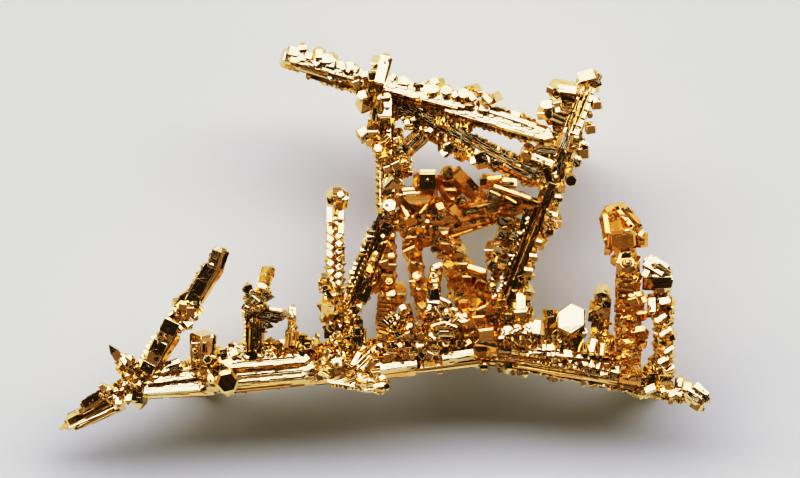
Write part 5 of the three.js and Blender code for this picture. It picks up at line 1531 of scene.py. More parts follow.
def fan_club():
    """The club in the middle, with its dark six-sided end."""
    return [
        rod([3.23, 1.16, 3.8], [2.16, 2.1, 4.4], 0.5, 45, tip=0.3, flat=0.5),
        facing([2.09, 2.03, 4.8], 0.5, 0.6, 15, (-0.02, -0.02), sides=6, flat=0.8),
        tile([2.32, 2.17, 4.65], [2.83, 1.63, 4.5], 0.37, (0.45, -0.6, 0.66)),
        tile([2.69, 1.9, 4.45], [3.16, 1.33, 4.3], 0.23, (0.4, -0.1, 0.9)),
        *cells([2.76, 1.76, 4.45], [3.13, 1.36, 4.35], 4, 0.13, 0.06),
        bar([2.56, 0.63, 3.79], [1.86, 1.76, 4.25], 0.33, 45),
        tile([1.96, 1.53, 4.5], [2.36, 1.5, 4.5], 0.1),
        tile([2.09, 1.4, 4.45], [2.26, 1.16, 4.45], 0.17, (0.1, 0.62, 0.78)),
        facing([2.51, 1.13, 4.55], 0.4, 0.4, 0, (0.02, 0), sides=8, flat=0.86, depth=0.3),
        tile([1.86, 1.16, 4.3], [2.39, 0.43, 4.2], 0.3, (-0.5, -0.5, 0.7)),
        tile([2.16, 1.03, 4.35], [2.56, 0.36, 4.2], 0.27, (0.5, -0.5, 0.7)),
        bar([1.96, 1.23, 4.45], [2.49, 0.36, 4.3], 0.07, 30),
        *crust([3.09, 1.23, 3.9], [2.22, 1.9, 4.2], 24, 0.3, 0.15, bare=0.3, tilt=45),
    ]


def fan_blades():
    """The blades at the right."""
    return [
        bar([3.9, 1.7, 4.05], [3.19, 1.8, 4.2], 0.37, 45, BEVELLED),
        facing([3.28, 1.76, 4.5], 0.27, 0.4, 10, (-0.05, -0.1)),
        tile([3.39, 1.88, 4.5], [3.9, 1.93, 4.5], 0.12),
        tile([3.29, 1.6, 4.35], [3.9, 1.73, 4.35], 0.2, FORWARD),
        bar([4.36, 1.7, 4.03], [3.8, 1.76, 4.15], 0.27, 20, BLUNT),
        tile([3.76, 1.7, 4.35], [4.3, 1.7, 4.35], 0.13, (0, 0.1, 1)),
        rod([5.03, 0.99, 3.83], [3.46, 1.5, 4.2], 0.43, 0),
        tile([3.43, 1.36, 4.5], [3.96, 1.26, 4.5], 0.47, (0.04, -0.05, 1), BLUNT),
        tile([3.96, 1.23, 4.4], [4.57, 1.06, 4.3], 0.33, (0.02, -0.08, 1), BLUNT),
        bar([3.6, 1.63, 4.5], [4.83, 1.2, 4.3], 0.12, 28),
        bar([3.49, 1.46, 4.65], [3.83, 1.3, 4.65], 0.06, 24),
        bar([4, 1.26, 4.55], [4.36, 1.06, 4.5], 0.06, 24),
        rod([1.96, 0.23, 3.55], [4.63, 1.06, 3.79], 0.5, 45),
        rod([2.09, 0.63, 3.84], [3.83, 0.99, 4.06], 0.54, 45),
        tile([3.09, 0.76, 4.4], [3.83, 0.96, 4.4], 0.33, (0, -0.08, 1), BLUNT),
        *ridges([3.09, 0.89, 4.5], [3.23, 0.63, 4.5], (0.5, -0.1, 0), 4, 0.06),
        plank([2.22, 0.09, 3.95], [4.57, 0.89, 3.95], 0.37, -45, BEVELLED),
        plank([2.42, 0.43, 4.1], [4.36, 1.03, 4.1], 0.27, -45, BEVELLED),
        bar([2.16, -0.08, 3.9], [3.83, 0.49, 3.9], 0.1, 30),
        facing([2.93, 0.46, 4.3], 0.2, 0.3, 5, (0, 0), flat=0.9),
        facing([2.79, 0.69, 4.35], 0.13, 0.3, 5, (0, 0), flat=0.9),
        *row([2.16, 0.29, 3.9], [4.5, 0.96, 4], 10, [0.1, -0.8, 0.6], 0.23, 0.2, 45, BLUNT, 0.25),
        *row([2.69, 0.96, 3.9], [4.7, 1.26, 4], 9, [0, 0.8, 0.6], 0.23, 0.18, 45, BLUNT, 0.3),
        bar([2.22, 0.69, 3.51], [2.36, -0.04, 3.5], 0.4, 45, POINTED),
        *crust([2.02, 0.49, 3.7], [4.63, 1.1, 3.8], 50, 0.33, 0.17, bare=0.2, tilt=45),
        *row([0.55, 0.43, 3.49], [2.22, 0.69, 3.49], 6, BACK, 0.64, 0.5, 20, BLUNT, 0.4),
        *row([2.42, 0.76, 3.54], [4.5, 1.16, 3.7], 7, [0, 0.1, -1], 0.5, 0.43, 20, BLUNT, 0.4),
        *crust([0.55, 0.43, 3.5], [4.5, 1.1, 3.6], 70, 0.4, 0.23, BACK, 0.4, bare=0.1),
    ]


def left_column():
    """The left column of the three under the fan."""
    return [
        *beaded_column([0.05, -3.92, 3.2], [0.08, 0.43, 3.71], 13, 0.67),
        tile([0.18, -0.01, 4.1], [0.32, -0.04, 4.1], 0.13),
        tile([0.08, -0.71, 4.05], [0.35, -0.68, 4.05], 0.17, (0.05, 0.55, 0.83)),
        facing([0.02, -0.38, 3.95], 0.33, 0.5, 30, (0, -0.75)),
        facing([0.22, -0.41, 3.95], 0.23, 0.5, 20, (0.3, 0.75)),
        facing([-0.02, -1.01, 3.95], 0.33, 0.5, 20, (0, -0.75)),
        facing([0.22, -1.11, 3.9], 0.3, 0.5, 20, (0.2, -0.75)),
        facing([0.12, -1.55, 3.95], 0.33, 0.5, 20, (0.02, 0.5), sides=8, flat=0.7),
        facing([0.12, -1.55, 4], 0.17, 0.1, 20, (0.02, 0.34), sides=8, flat=0.4, tip=0.4),
        bar([-0.12, -1.71, 3.1], [-0.55, -1.68, 3.3], 0.33, 45, BLUNT),
        tile([-0.59, -1.65, 3.7], [-0.28, -1.55, 3.7], 0.2, (-0.1, 0.55, 0.83)),
        facing([-0.32, -1.85, 3.6], 0.3, 0.5, 45, (-0.1, -0.75)),
        bar([0.08, -2.08, 3.15], [0.59, -2.08, 3.4], 0.43, 45, BEVELLED),
        facing([0.22, -1.95, 3.9], 0.37, 0.5, 30, (0.05, 0.55), sides=8, flat=0.6),
        facing([0.52, -2.12, 3.75], 0.37, 0.5, 20, (0.2, -0.8)),
        facing([0.55, -2.05, 3.9], 0.1, 0.3, 5, (0, 0), flat=0.9),
        *shingles([-0.05, -2.92, 3.7], [-0.02, -2.18, 3.8], 5, 0.5, (-0.1, -0.6, 0.78)),
        *shingles([-0.05, -3.72, 3.6], [-0.05, -2.98, 3.7], 3, 0.47, (-0.4, -0.6, 0.7)),
    ]


def middle_column():
    """The middle column, which bends to the right towards its foot."""
    return [
        *beaded_column([1.12, -1.91, 3.4], [0.82, 0.36, 3.68], 7, 0.64),
        *beaded_column([1.49, -3.85, 3], [1.15, -1.85, 3.4], 6, 0.6),
        facing([0.89, -0.38, 3.95], 0.5, 0.5, 30, (0, 0.75)),
        facing([0.89, -0.64, 4.05], 0.5, 0.5, 30, (0, -0.75)),
        facing([0.99, -1.11, 4], 0.43, 0.5, 20, (0.1, -0.75)),
        facing([1.07, -0.99, 4.2], 0.15, 0.4, 25, (0, 0), flat=0.9),
        tile([0.92, -1.45, 3.95], [1.22, -1.28, 3.95], 0.27, (-0.1, 0.45, 0.88)),
        facing([0.92, -1.65, 3.7], 0.27, 0.5, 30, (-0.3, -0.8)),
        tile([1.09, -1.85, 3.85], [1.22, -1.61, 3.85], 0.2, (-0.2, 0.6, 0.77)),
        facing([1.32, -1.98, 3.8], 0.37, 0.5, 30, (0.1, -0.7)),
        facing([1.25, -2.32, 3.75], 0.37, 0.5, 20, (-0.2, 0.75)),
        facing([1.39, -2.72, 3.7], 0.4, 0.5, 30, (0, -0.75)),
        facing([1.29, -3.12, 3.7], 0.37, 0.5, 10, (-0.1, -0.8)),
    ]


# right_column: the right column, which slants and widens towards its foot.


def right_column_core():
    """The strings of crystals that carry the column."""
    return [
        *beads([1.76, 0.29, 3.65], [2.63, -1.51, 3.33], 5, 0.57, 45, 0.1),
        *stacked([1.82, 0.09, 3.65], [2.56, -1.38, 3.45], 6, 0.6, 48, 25),
        *beads([2.36, -0.91, 3.45], [3.23, -3.39, 3.2], 6, 0.67, 45, 0.1),
        bar([2.89, -1.85, 3.1], [3.23, -4.12, 3.2], 1, 45, dict(sides=8, tip=0.2, flat=0.7)),
        *stacked([2.69, -1.71, 3.4], [3.29, -3.72, 3.3], 6, 0.8, 48, 25),
    ]


def right_column_crystals():
    """Crystals down the slanting part, orange but for a pale top one and dark etched faces."""
    return [
        facing([1.96, 0.13, 4.15], 0.33, 0.5, 20, (0, 0.55), sides=6),
        facing([1.72, -0.18, 4.1], 0.3, 0.5, 20, (-0.2, 0.05)),
        facing([1.92, -0.18, 4.15], 0.3, 0.5, 40, (0, 0.05), sides=6),
        facing([1.96, -0.41, 4.15], 0.3, 0.5, 10, (0.05, -0.75)),
        facing([2.19, -0.21, 4.05], 0.37, 0.5, 30, (0.1, 0.75)),
        facing([2.19, -0.51, 4.05], 0.43, 0.5, 30, (0.1, -0.75)),
        facing([1.62, -0.48, 4], 0.2, 0.4, 5, (-0.05, -0.05)),
        facing([2.42, -0.78, 3.95], 0.43, 0.5, 40, (0.2, -0.75)),
        facing([2.36, -0.94, 3.9], 0.3, 0.5, 20, (0, 0.8)),
        facing([2.12, -0.98, 4], 0.37, 0.5, 30, (-0.1, 0.8)),
        tile([2.06, -1.21, 4.1], [2.39, -1.25, 4.1], 0.27, (0, -0.64, 0.77)),
        facing([2.56, -1.11, 3.9], 0.37, 0.5, 20, (0.2, -0.75)),
        facing([2.73, -1.55, 3.85], 0.4, 0.5, 10, (0.1, -0.75)),
    ]


def right_column_striped_plate():
    """The striped plate: a pale upper face and a dark lower one with lines along it."""
    return [
        rod([2.69, -1.15, 3.5], [3.36, -1.38, 3.5], 0.37, 0),
        tile([2.76, -1.05, 4], [3.36, -1.25, 4], 0.17, (-0.1, 0.55, 0.83), BLUNT),
        plank([2.69, -1.21, 3.8], [3.36, -1.45, 3.8], 0.23, -6),
        *ridges([2.69, -1.18, 3.95], [3.36, -1.4, 3.95], (-0.04, -0.12, 0), 3, 0.04),
        facing([3.16, -1.71, 3.8], 0.4, 0.5, 30, (0.1, -0.75)),
        tile([3.49, -1.71, 3.9], [3.66, -1.65, 3.9], 0.13, (0, 0.5, 0.87)),
    ]


def right_column_broad_plates():
    """The broad orange plates below."""
    return [
        tile([2.63, -1.91, 3.95], [2.96, -1.85, 3.95], 0.43, (-0.05, -0.66, 0.75)),
        tile([2.76, -2.25, 3.95], [3.16, -2.18, 3.95], 0.47, (0.3, -0.6, 0.75)),
        tile([2.96, -1.91, 3.85], [3.49, -2.12, 3.85], 0.33, (0.2, -0.65, 0.75)),
        facing([2.89, -2.45, 3.95], 0.3, 0.5, 30, (0, 0.75), sides=8),
        facing([2.99, -2.25, 3.98], 0.08, 0.3, 30, (0, 0)),
        facing([3.29, -2.58, 3.9], 0.43, 0.5, 30, (0, -0.75)),
        facing([3.13, -2.92, 3.85], 0.47, 0.5, 15, (-0.1, -0.75)),
        facing([3.36, -3.39, 3.8], 0.57, 0.5, 10, (0.2, -0.75)),
        facing([2.83, -3.05, 3.8], 0.4, 0.5, 30, (-0.1, -0.75)),
        facing([2.89, -3.45, 3.7], 0.4, 0.5, 30, (0, -0.75)),
        tile([2.63, -3.69, 3.8], [2.86, -3.55, 3.8], 0.17, shape=BEVELLED),
        *row([3.29, -3.05, 3.5], [3.76, -2.25, 3.6], 7, [0.9, 0.2, 0.4], 0.37, 0.15, 0, BLUNT, 0.08),
        *row([3.16, -3.32, 3.5], [3.49, -2.78, 3.6], 5, [0.9, 0.2, 0.4], 0.3, 0.14, 0, BLUNT, 0.1),
        *row([1.82, 0.23, 3.6], [2.56, -1.51, 3.5], 7, [-0.9, 0.1, 0.1], 0.23, 0.27, 45, BLUNT, 0.2),
        *row([1.96, 0.29, 3.6], [2.76, -1.18, 3.5], 6, [0.9, 0.3, 0.1], 0.27, 0.27, 45, BLUNT, 0.2),
        *row([2.63, -1.85, 3.2], [2.96, -3.65, 3.3], 7, [-1, 0.1, 0.1], 0.3, 0.3, 45, BLUNT, 0.25),
        *row([3.23, -1.85, 3.2], [3.63, -3.85, 3.3], 7, [1, 0.1, 0.1], 0.3, 0.3, 45, BLUNT, 0.25),
        *crust([1.82, 0.23, 3.6], [2.56, -1.38, 3.4], 26, 0.3, 0.17, bare=0.3, tilt=45),
        *crust([2.83, -1.78, 3.3], [3.29, -3.85, 3.3], 40, 0.47, 0.2, bare=0.3, tilt=45),
        *row([2.16, -0.51, 3.43], [3.16, -3.52, 3.1], 7, BACK, 0.6, 0.5, 20, BLUNT, 0.4),
        *crust([2.16, -0.51, 3.3], [3.16, -3.69, 3.1], 50, 0.54, 0.27, BACK, 0.4, bare=0.1),
        *leg([2.63, -3.09, 3], [2.42, -2.92, 0], 0.77),
    ]


# front_column: the pale column that leans forward before the others, and the low crystals beside
# it.


def front_column_crystals():
    """The pale etched crystals of the column."""
    return [
        bar([1.56, -2.05, 3.8], [1.72, -0.98, 3.95], 0.33, 45, BLUNT),
        *tiles([1.59, -1.78, 4.25], [1.76, -0.98, 4.2], 9, 0.13, 0.1, loose=0.25),
        facing([1.69, -1.05, 4.25], 0.23, 0.4, 30, (0, 0.36)),
        facing([1.59, -1.35, 4.25], 0.23, 0.4, 10, (0.1, 0.34), sides=8),
        facing([1.59, -1.35, 4.3], 0.12, 0.2, 10, (0, 0), sides=8),
        facing([1.72, -1.18, 4.3], 0.12, 0.2, 10, (0, 0)),
        bar([1.59, -2.32, 3.8], [1.62, -1.81, 4.1], 0.47, 0, BEVELLED),
        facing([1.61, -2, 4.45], 0.4, 0.5, 6, (0, 0), flat=0.86),
        tile([1.39, -2.22, 4.4], [1.82, -2.25, 4.4], 0.13),
        rod([1.56, -2.12, 3.8], [2.26, -2.85, 3.95], 0.5, 0),
        *tiles([1.49, -2.25, 4.3], [2.22, -2.92, 4.3], 26, 0.12, 0.2, (-0.1, 0.24, 0.96), 0.45),
        *cells([1.56, -2.32, 4.35], [2.22, -2.85, 4.35], 12, 0.15, 0.12),
        bar([1.82, -2.12, 4.35], [2.16, -2.28, 4.35], 0.08, 24),
        bar([2.16, -2.28, 4.35], [2.19, -2.48, 4.35], 0.08, 24),
        bar([2.19, -2.45, 4.35], [2.39, -2.52, 4.35], 0.08, 24),
        facing([1.86, -2.48, 4.45], 0.15, 0.3, 10, (0, 0)),
        facing([2.06, -2.72, 4.45], 0.15, 0.3, 30, (0, 0)),
        *knot([2.49, -2.82, 3.8], 0.3, 12, 0.23),
        *tiles([2.29, -2.85, 4.2], [2.73, -2.78, 4.2], 10, 0.17, 0.13, loose=0.25),
    ]


def front_column_dark_block():
    """The dark etched block under the pale crystals of the column."""
    return [
        bar([1.96, -3.99, 3.5], [2.02, -2.52, 3.75], 0.67, 0, dict(sides=8)),
        facing([1.92, -3.24, 4.4], 0.74, 0.6, 10, (-0.03, -0.03), sides=8, flat=0.82, depth=0.43),
        tile([1.45, -3.29, 4.3], [1.72, -3.49, 4.3], 0.13),
        bar([1.52, -3.05, 4.35], [1.96, -2.92, 4.35], 0.07, 24),
        bar([1.96, -2.92, 4.35], [2.39, -3.09, 4.35], 0.07, 24),
        *ridges([1.62, -3.05, 4.45], [2.22, -3.05, 4.45], (0.1, -0.35, 0), 5, 0.04),
        facing([2.27, -3.57, 4.1], 0.23, 0.4, 3, (0, 0), flat=0.9),
        tile([1.92, -3.69, 4.1], [2.12, -3.59, 4.1], 0.2),
        *row([1.49, -3.79, 3.7], [2.63, -3.65, 3.7], 8, [0, 0.6, 1], 0.33, 0.23, 45, BLUNT, 0.35),
        *row([1.69, -3.19, 3.8], [2.42, -3.05, 3.8], 5, [0, 0.6, 1], 0.33, 0.23, 45, BLUNT, 0.35),
        *crust([1.62, -2.18, 3.9], [2.02, -3.85, 3.7], 70, 0.4, 0.17, bare=0.4),
    ]


def front_column_low_crystals():
    """The low crystals beside its foot."""
    return [
        bar([0.42, -3.85, 3.5], [0.62, -2.52, 3.8], 0.43, 45, BLUNT),
        facing([0.64, -2.58, 4.2], 0.37, 0.5, 40, (-0.2, 0.75)),
        tile([0.48, -2.48, 4.3], [0.72, -2.38, 4.3], 0.2, (0, 0.58, 0.81)),
        facing([0.59, -2.78, 4.2], 0.17, 0.4, 5, (0, 0)),
        facing([0.79, -2.68, 4.1], 0.23, 0.4, 30, (0.3, -0.7)),
        bar([0.35, -3.59, 3.6], [0.08, -2.92, 3.75], 0.33, 45, BLUNT),
        *shingles([-0.02, -2.98, 3.95], [0.28, -2.62, 4.05], 4, 0.27, (-0.3, -0.1, 0.95)),
        tile([0.02, -2.82, 4.15], [0.32, -2.58, 4.15], 0.1, (-0.3, 0.6, 0.74)),
        *row([-0.05, -2.98, 3.8], [0.38, -2.65, 3.9], 7, [0.4, -0.8, 0.4], 0.27, 0.1, 10, BLUNT, 0.1),
        bar([0.79, -3.85, 3.6], [0.82, -3.05, 3.9], 0.37, 45, BLUNT),
        facing([0.82, -3.02, 4.2], 0.3, 0.5, 42, (0, 0.55), sides=8, flat=0.6),
        facing([0.79, -3.39, 4.2], 0.33, 0.5, 25, (0, -0.75), sides=6),
        facing([0.42, -3.32, 4.1], 0.23, 0.5, 25, (0, 0)),
        bar([1.09, -3.92, 3.6], [1.19, -3.19, 3.85], 0.3, 45, BLUNT),
        facing([1.15, -2.95, 4.1], 0.27, 0.5, 35, (-0.3, 0.75)),
        facing([1.19, -3.39, 4.05], 0.27, 0.5, 35, (0, -0.3), sides=6),
        facing([0.18, -3.69, 3.9], 0.27, 0.4, 5, (0, -0.05)),
        facing([0.75, -3.65, 3.95], 0.27, 0.4, 5, (0, -0.1)),
        tile([0.42, -3.72, 3.9], [0.59, -3.65, 3.9], 0.17),
        tile([0.99, -3.72, 3.9], [1.32, -3.65, 3.9], 0.17, (0, 0.5, 0.87)),
        rod([0.02, -3.85, 3.5], [2.22, -3.79, 3.6], 0.43, 0),
        *row([-0.25, -3.85, 3.5], [1.56, -3.82, 3.6], 9, [0, 0.8, 0.7], 0.4, 0.23, 45, BLUNT, 0.35),
        *row([-0.12, -3.99, 3.4], [2.36, -3.92, 3.5], 11, [0, -0.3, 1], 0.27, 0.23, 24, BEVELLED, 0.3),
        *crust([-0.05, -3.72, 3.6], [2.29, -3.65, 3.6], 80, 0.43, 0.17, bare=0.6),
        *crust([0.42, -3.72, 3.6], [0.55, -2.65, 3.8], 24, 0.3, 0.15, bare=0.3, tilt=42),
    ]


# white_plate_cluster: the cluster with the big six-sided plate on the right stem.


def white_plate_cluster_plate():
    """The six-sided plate and what carries it."""
    return [
        facing([6.2, -2.8, 4.05], 0.9, 0.62, 24, (0.02, 0.36), sides=6, tip=0.06, flat=0.9, depth=1.04),
        facing([6, -2.88, 4.06], 0.2, 0.03, 10, (0.04, 0.42), sides=8, tip=0.15, flat=0.7),
        bar([6.2, -2.92, 3.6], [6.24, -3.39, 3.7], 0.67, -8, TAPERED),
        bar([6.57, -3.12, 3.6], [6.64, -3.45, 3.7], 0.27, 0, BLUNT),
    ]


def white_plate_cluster_left_blocks():
    """The blocks at the left."""
    return [
        bar([4.1, -3.32, 3.7], [4.1, -2.65, 3.6], 0.33, 5, BEVELLED),
        *ridges([3.96, -3.25, 3.86], [3.96, -2.72, 3.8], (0.26, 0, 0), 4, 0.05),
        bar([4.53, -3.25, 3.6], [4.53, -2.58, 3.7], 0.5, 45, BEVELLED),
        facing([4.53, -2.75, 4.05], 0.5, 0.4, 5, (0, -0.75)),
        bar([4.46, -2.65, 3.6], [4.6, -2.18, 3.6], 0.3, 20, POINTED),
        bar([4.77, -2.78, 3.6], [4.9, -2.38, 3.6], 0.23, 20, BLUNT),
        bar([5.5, -3.32, 3.6], [5.5, -2.48, 3.75], 0.37, 30, BEVELLED),
        facing([5.5, -2.62, 4], 0.27, 0.4, 10, (0.1, 0.1)),
        *row([3.83, -3.39, 3.92], [4.9, -3.29, 3.86], 6, [0.25, 1, -0.42], 0.47, 0.2, 5, POINTED, 0.3),
        *tiles([3.83, -3.19, 4.1], [4.9, -3.09, 4.1], 9, 0.17, 0.1, loose=0.3),
        tile([5.03, -3.32, 4.15], [5.1, -2.72, 4.15], 0.23, shape=POINTED),
        tile([5.23, -3.32, 4.1], [5.17, -2.85, 4.1], 0.17, (0.3, 0.6, 0.74), POINTED),
        *row([3.83, -3.42, 3.85], [5.27, -3.32, 3.8], 9, [0.1, -1, 0.25], 0.3, 0.17, 25, POINTED, 0.25),
        bar([5.33, -3.22, 3.65], [3.9, -3.32, 3.75], 0.27, 10),
        *row([4.77, -3.85, 3.75], [5.97, -3.92, 3.7], 8, [0.2, 1, -0.42], 0.37, 0.15, 10, POINTED, 0.35),
        *row([4.77, -3.89, 3.65], [5.97, -3.95, 3.6], 8, [0, -1, 0.3], 0.2, 0.13, 0, POINTED, 0.1),
        *crust([3.96, -3.45, 3.4], [5.7, -3.45, 3.5], 150, 0.4, 0.14),
    ]


def white_plate_cluster_right_blocks():
    """The blocks at the right."""
    return [
        bar([7.14, -3.39, 3.5], [7.27, -1.95, 3.6], 0.43, 45, BLUNT),
        bar([6.97, -2.92, 3.55], [7.07, -2.08, 3.65], 0.3, 45, BLUNT),
        facing([7.21, -2.18, 4], 0.5, 0.5, 30, (-0.1, -0.7), sides=8, flat=0.6),
        facing([7.37, -2.32, 4.1], 0.33, 0.5, 10, (0.04, 0), sides=6, flat=0.86),
        tile([7.11, -1.98, 4], [7.41, -1.95, 4], 0.13, (0, 0.6, 0.8)),
        facing([7.21, -2.62, 3.95], 0.37, 0.5, 40, (-0.1, -0.8)),
        bar([7.27, -2.78, 3.8], [7.47, -2.45, 3.9], 0.2, -20, BLUNT),
        bar([6.94, -4.06, 3.7], [6.94, -3.35, 3.55], 0.23, 45, BLUNT),
        tile([6.87, -3.92, 4], [6.97, -3.42, 4], 0.17, shape=BLUNT),
        tile([7.04, -3.99, 4], [7.14, -3.52, 4], 0.1, (0.3, 0.62, 0.73), BLUNT),
        bar([7.19, -4.06, 3.7], [7.19, -3.45, 3.6], 0.2, 45, BLUNT),
        tile([7.21, -4.02, 4], [7.27, -3.59, 4], 0.12, (0, 0.5, 0.87), BLUNT),
        bar([7.44, -4.12, 3.6], [7.44, -3.25, 3.55], 0.3, 45, BLUNT),
        tile([7.37, -3.92, 4], [7.47, -3.32, 4], 0.13, GLOW, BLUNT),
        bar([6.71, -3.99, 3.7], [6.67, -3.59, 3.6], 0.2, 45, BLUNT),
        bar([6.4, -3.92, 3.6], [6.34, -3.39, 3.6], 0.4, 25, BEVELLED),
        rod([4.23, -3.72, 3.2], [6.37, -3.99, 3.2], 0.57, 0),
        rod([5.7, -3.89, 3.2], [7.84, -4.39, 3.1], 0.57, 0),
        *row([6.64, -4.39, 3.65], [8.04, -4.72, 3.4], 11, [0.2, 1, -0.42], 0.37, 0.14, 8, POINTED, 0.25),
        *row([6.64, -4.46, 3.55], [8.11, -4.79, 3.3], 11, [0.02, -1, 0.2], 0.2, 0.13, 0, POINTED, 0.1),
        *row([5.7, -4.06, 3.65], [6.91, -4.19, 3.6], 9, [0.02, 1, -0.42], 0.33, 0.13, 0, BLUNT, 0.1),
        *row([4.3, -3.92, 3.4], [5.9, -4.12, 3.4], 12, [0, 1, -0.3], 0.27, 0.15, 10, BLUNT, 0.3),
        *row([5.84, -4.26, 3.3], [7.78, -4.56, 3.2], 16, [0, -0.6, 0.6], 0.23, 0.17, 20, BLUNT, 0.3),
        *crust([7.04, -3.85, 3.5], [7.31, -2.32, 3.5], 60, 0.3, 0.13),
        *crust([4.3, -3.69, 3.3], [7.78, -4.32, 3.2], 260, 0.4, 0.14),
        *row([4.36, -3.69, 3], [7.64, -4.19, 3], 10, [0, 0.2, -1], 0.54, 0.43, 20, BLUNT, 0.4),
        *crust([4.16, -3.52, 3.2], [7.64, -4.06, 3.1], 60, 0.47, 0.23, BACK, 0.5, bare=0.1),
    ]


# right_post: the post with the large end crystal at the right.


def right_post_shaft():
    """The long shaft of stacked blocks."""
    return [
        bar([8.18, -4.86, 3.1], [8.11, -0.71, 3.9], 0.54, 45),
        *stacked([8.18, -4.79, 3.15], [8.08, -1.25, 3.85], 19, 0.64, 45, 14, 0.14),
        *beads([8.18, -4.79, 3.4], [8.08, -1.25, 4.1], 15, 0.43, 45, 0.2),
        *row([7.91, -4.66, 3.3], [7.88, -1.25, 3.9], 21, [-1, 0, 0], 0.23, 0.15, 45, BEVELLED, 0.08),
        *row([8.31, -4.66, 3.3], [8.28, -1.31, 3.9], 13, [1, 0.15, 0.1], 0.27, 0.23, 45, BLUNT, 0.2),
        *shingles([8.04, -2.18, 4.15], [8.04, -1.31, 4.25], 5, 0.57, (-0.1, -0.6, 0.78)),
        tile([7.81, -1.55, 4.3], [8.38, -1.51, 4.3], 0.08, GLOW),
        tile([7.78, -1.78, 4.25], [8.34, -1.78, 4.25], 0.08, GLOW),
        *tiles([8.08, -4.59, 3.75], [8.04, -1.38, 4.4], 26, 0.13, 0.2, GLOW, 0.5),
        tile([8.18, -1.31, 4.35], [8.38, -1.48, 4.35], 0.13),
        tile([8.31, -1.58, 4.3], [8.41, -1.38, 4.3], 0.13),
        tile([7.81, -2.05, 4.2], [8.31, -2.05, 4.2], 0.1),
        bar([8.11, -2.18, 3.9], [8.65, -2.18, 3.9], 0.43, 45, BEVELLED),
        facing([8.28, -2.25, 4.35], 0.33, 0.4, 20, (0, -0.7)),
        tile([8.11, -2.02, 4.3], [8.58, -1.98, 4.3], 0.17),
        tile([8.51, -2.22, 4.2], [8.75, -2.12, 4.2], 0.2, (0.3, 0.3, 0.9)),
        bar([8.24, -2.72, 3.6], [8.78, -2.65, 3.7], 0.3, 45, BLUNT),
        tile([8.38, -2.62, 4], [8.75, -2.58, 4], 0.13),
        facing([8.11, -2.85, 4.1], 0.3, 0.4, 20, (0, -0.7)),
        bar([8.24, -3.39, 3.5], [8.81, -3.25, 3.6], 0.4, 45, BLUNT),
        tile([8.18, -3.22, 3.95], [8.68, -3.12, 3.95], 0.2),
        facing([8.61, -3.39, 3.9], 0.27, 0.4, 20, (0.1, -0.3)),
        bar([8.31, -3.69, 3.4], [8.75, -3.59, 3.5], 0.27, 45, BLUNT),
        tile([7.91, -3.59, 3.9], [8.31, -3.55, 3.9], 0.17),
        tile([7.88, -4.06, 3.8], [8.21, -3.99, 3.8], 0.17),
        *crust([8.14, -4.72, 3.1], [8.11, -1.31, 3.8], 60, 0.3, 0.13, bare=0.4, tilt=42),
    ]


def right_post_neck():
    """The ringed neck."""
    return [
        bar([8.04, -0.78, 4.1], [7.98, -0.31, 4.1], 0.74, 45, dict(sides=8)),
        bar([8.08, -1.31, 4.05], [8.08, -0.51, 4.15], 0.64, 45, dict(sides=8, tip=0.2, flat=0.7)),
        facing([8.06, -0.91, 4.55], 0.67, 0.5, 10, (0.02, 0.62), sides=8, tip=0.2, flat=0.7),
        facing([8.06, -0.91, 4.62], 0.4, 0.2, 30, (0.02, 0.72), sides=8, tip=0.2, flat=0.6),
        facing([8.08, -0.88, 4.68], 0.2, 0.2, 10, (0.05, 0.62), sides=8, tip=0.2, flat=0.5),
        tile([7.74, -0.98, 4.5], [7.88, -0.58, 4.5], 0.1, (-0.3, 0.36, 0.9)),
        tile([7.88, -0.54, 4.45], [8.31, -0.54, 4.45], 0.1, GLOW),
        bar([7.91, -1.18, 4.45], [8.31, -1.15, 4.45], 0.07, 30),
        tile([8.34, -0.98, 4.4], [8.48, -0.71, 4.4], 0.13, GLOW),
        bar([7.78, -0.91, 4.1], [7.54, -0.71, 4.1], 0.3, 45, BLUNT),
    ]


def right_post_end_crystal():
    """The end crystal: a large block with a deep hollow of ridges on its upper face."""
    return [
        bar(
            [7.98, -0.48, 4], [7.61, 1.03, 4.05], 1.17, 0,
            dict(sides=8, depth=0.87, tip=0.3, flat=0.5, foot=0.2, foot_flat=0.6),
        ),
        tile([7.34, -0.18, 4.45], [7.27, 0.69, 4.5], 0.17, (-0.5, 0.62, 0.6), FACETED),
        tile([7.44, 0.03, 4.58], [7.34, 0.76, 4.58], 0.2, (-0.1, 0.4, 0.91), BLUNT),
        tile([7.37, 0.79, 4.56], [7.78, 1.03, 4.5], 0.2, (-0.1, 0.6, 0.78), BLUNT),
        tile([7.71, 0.09, 4.6], [7.58, 0.79, 4.6], 0.4, (-0.1, 0.74, 0.67), dict(tip=0.2, flat=0.6)),
        *row([7.58, 0.76, 4.66], [7.81, 0.19, 4.72], 7, [-0.8, -0.5, 0.2], 0.2, 0.05, 45, POINTED, 0.1),
        *row([7.58, 0.76, 4.66], [7.81, 0.19, 4.72], 5, [0.6, -0.7, 0.2], 0.17, 0.05, 0, POINTED, 0.1),
        tile([7.74, 0.86, 4.62], [8.28, 0.19, 4.7], 0.17, (0.2, 0.36, 0.9)),
        tile([7.88, 0.89, 4.6], [8.41, 0.26, 4.62], 0.1, (0.3, -0.5, 0.8)),
        tile([7.98, 0.93, 4.5], [8.48, 0.36, 4.55], 0.17, (0.2, 0.7, 0.69)),
        bar([8.04, 0.89, 4.45], [8.55, 0.23, 4.45], 0.13, 0, BLUNT),
        facing([7.74, 0.89, 4.68], 0.13, 0.3, 20, (0, 0)),
        facing([8.01, 0.53, 4.8], 0.13, 0.3, 40, (0.1, 0.36)),
        facing([8.18, 0.29, 4.8], 0.12, 0.3, 40, (0.1, -0.2)),
    ]


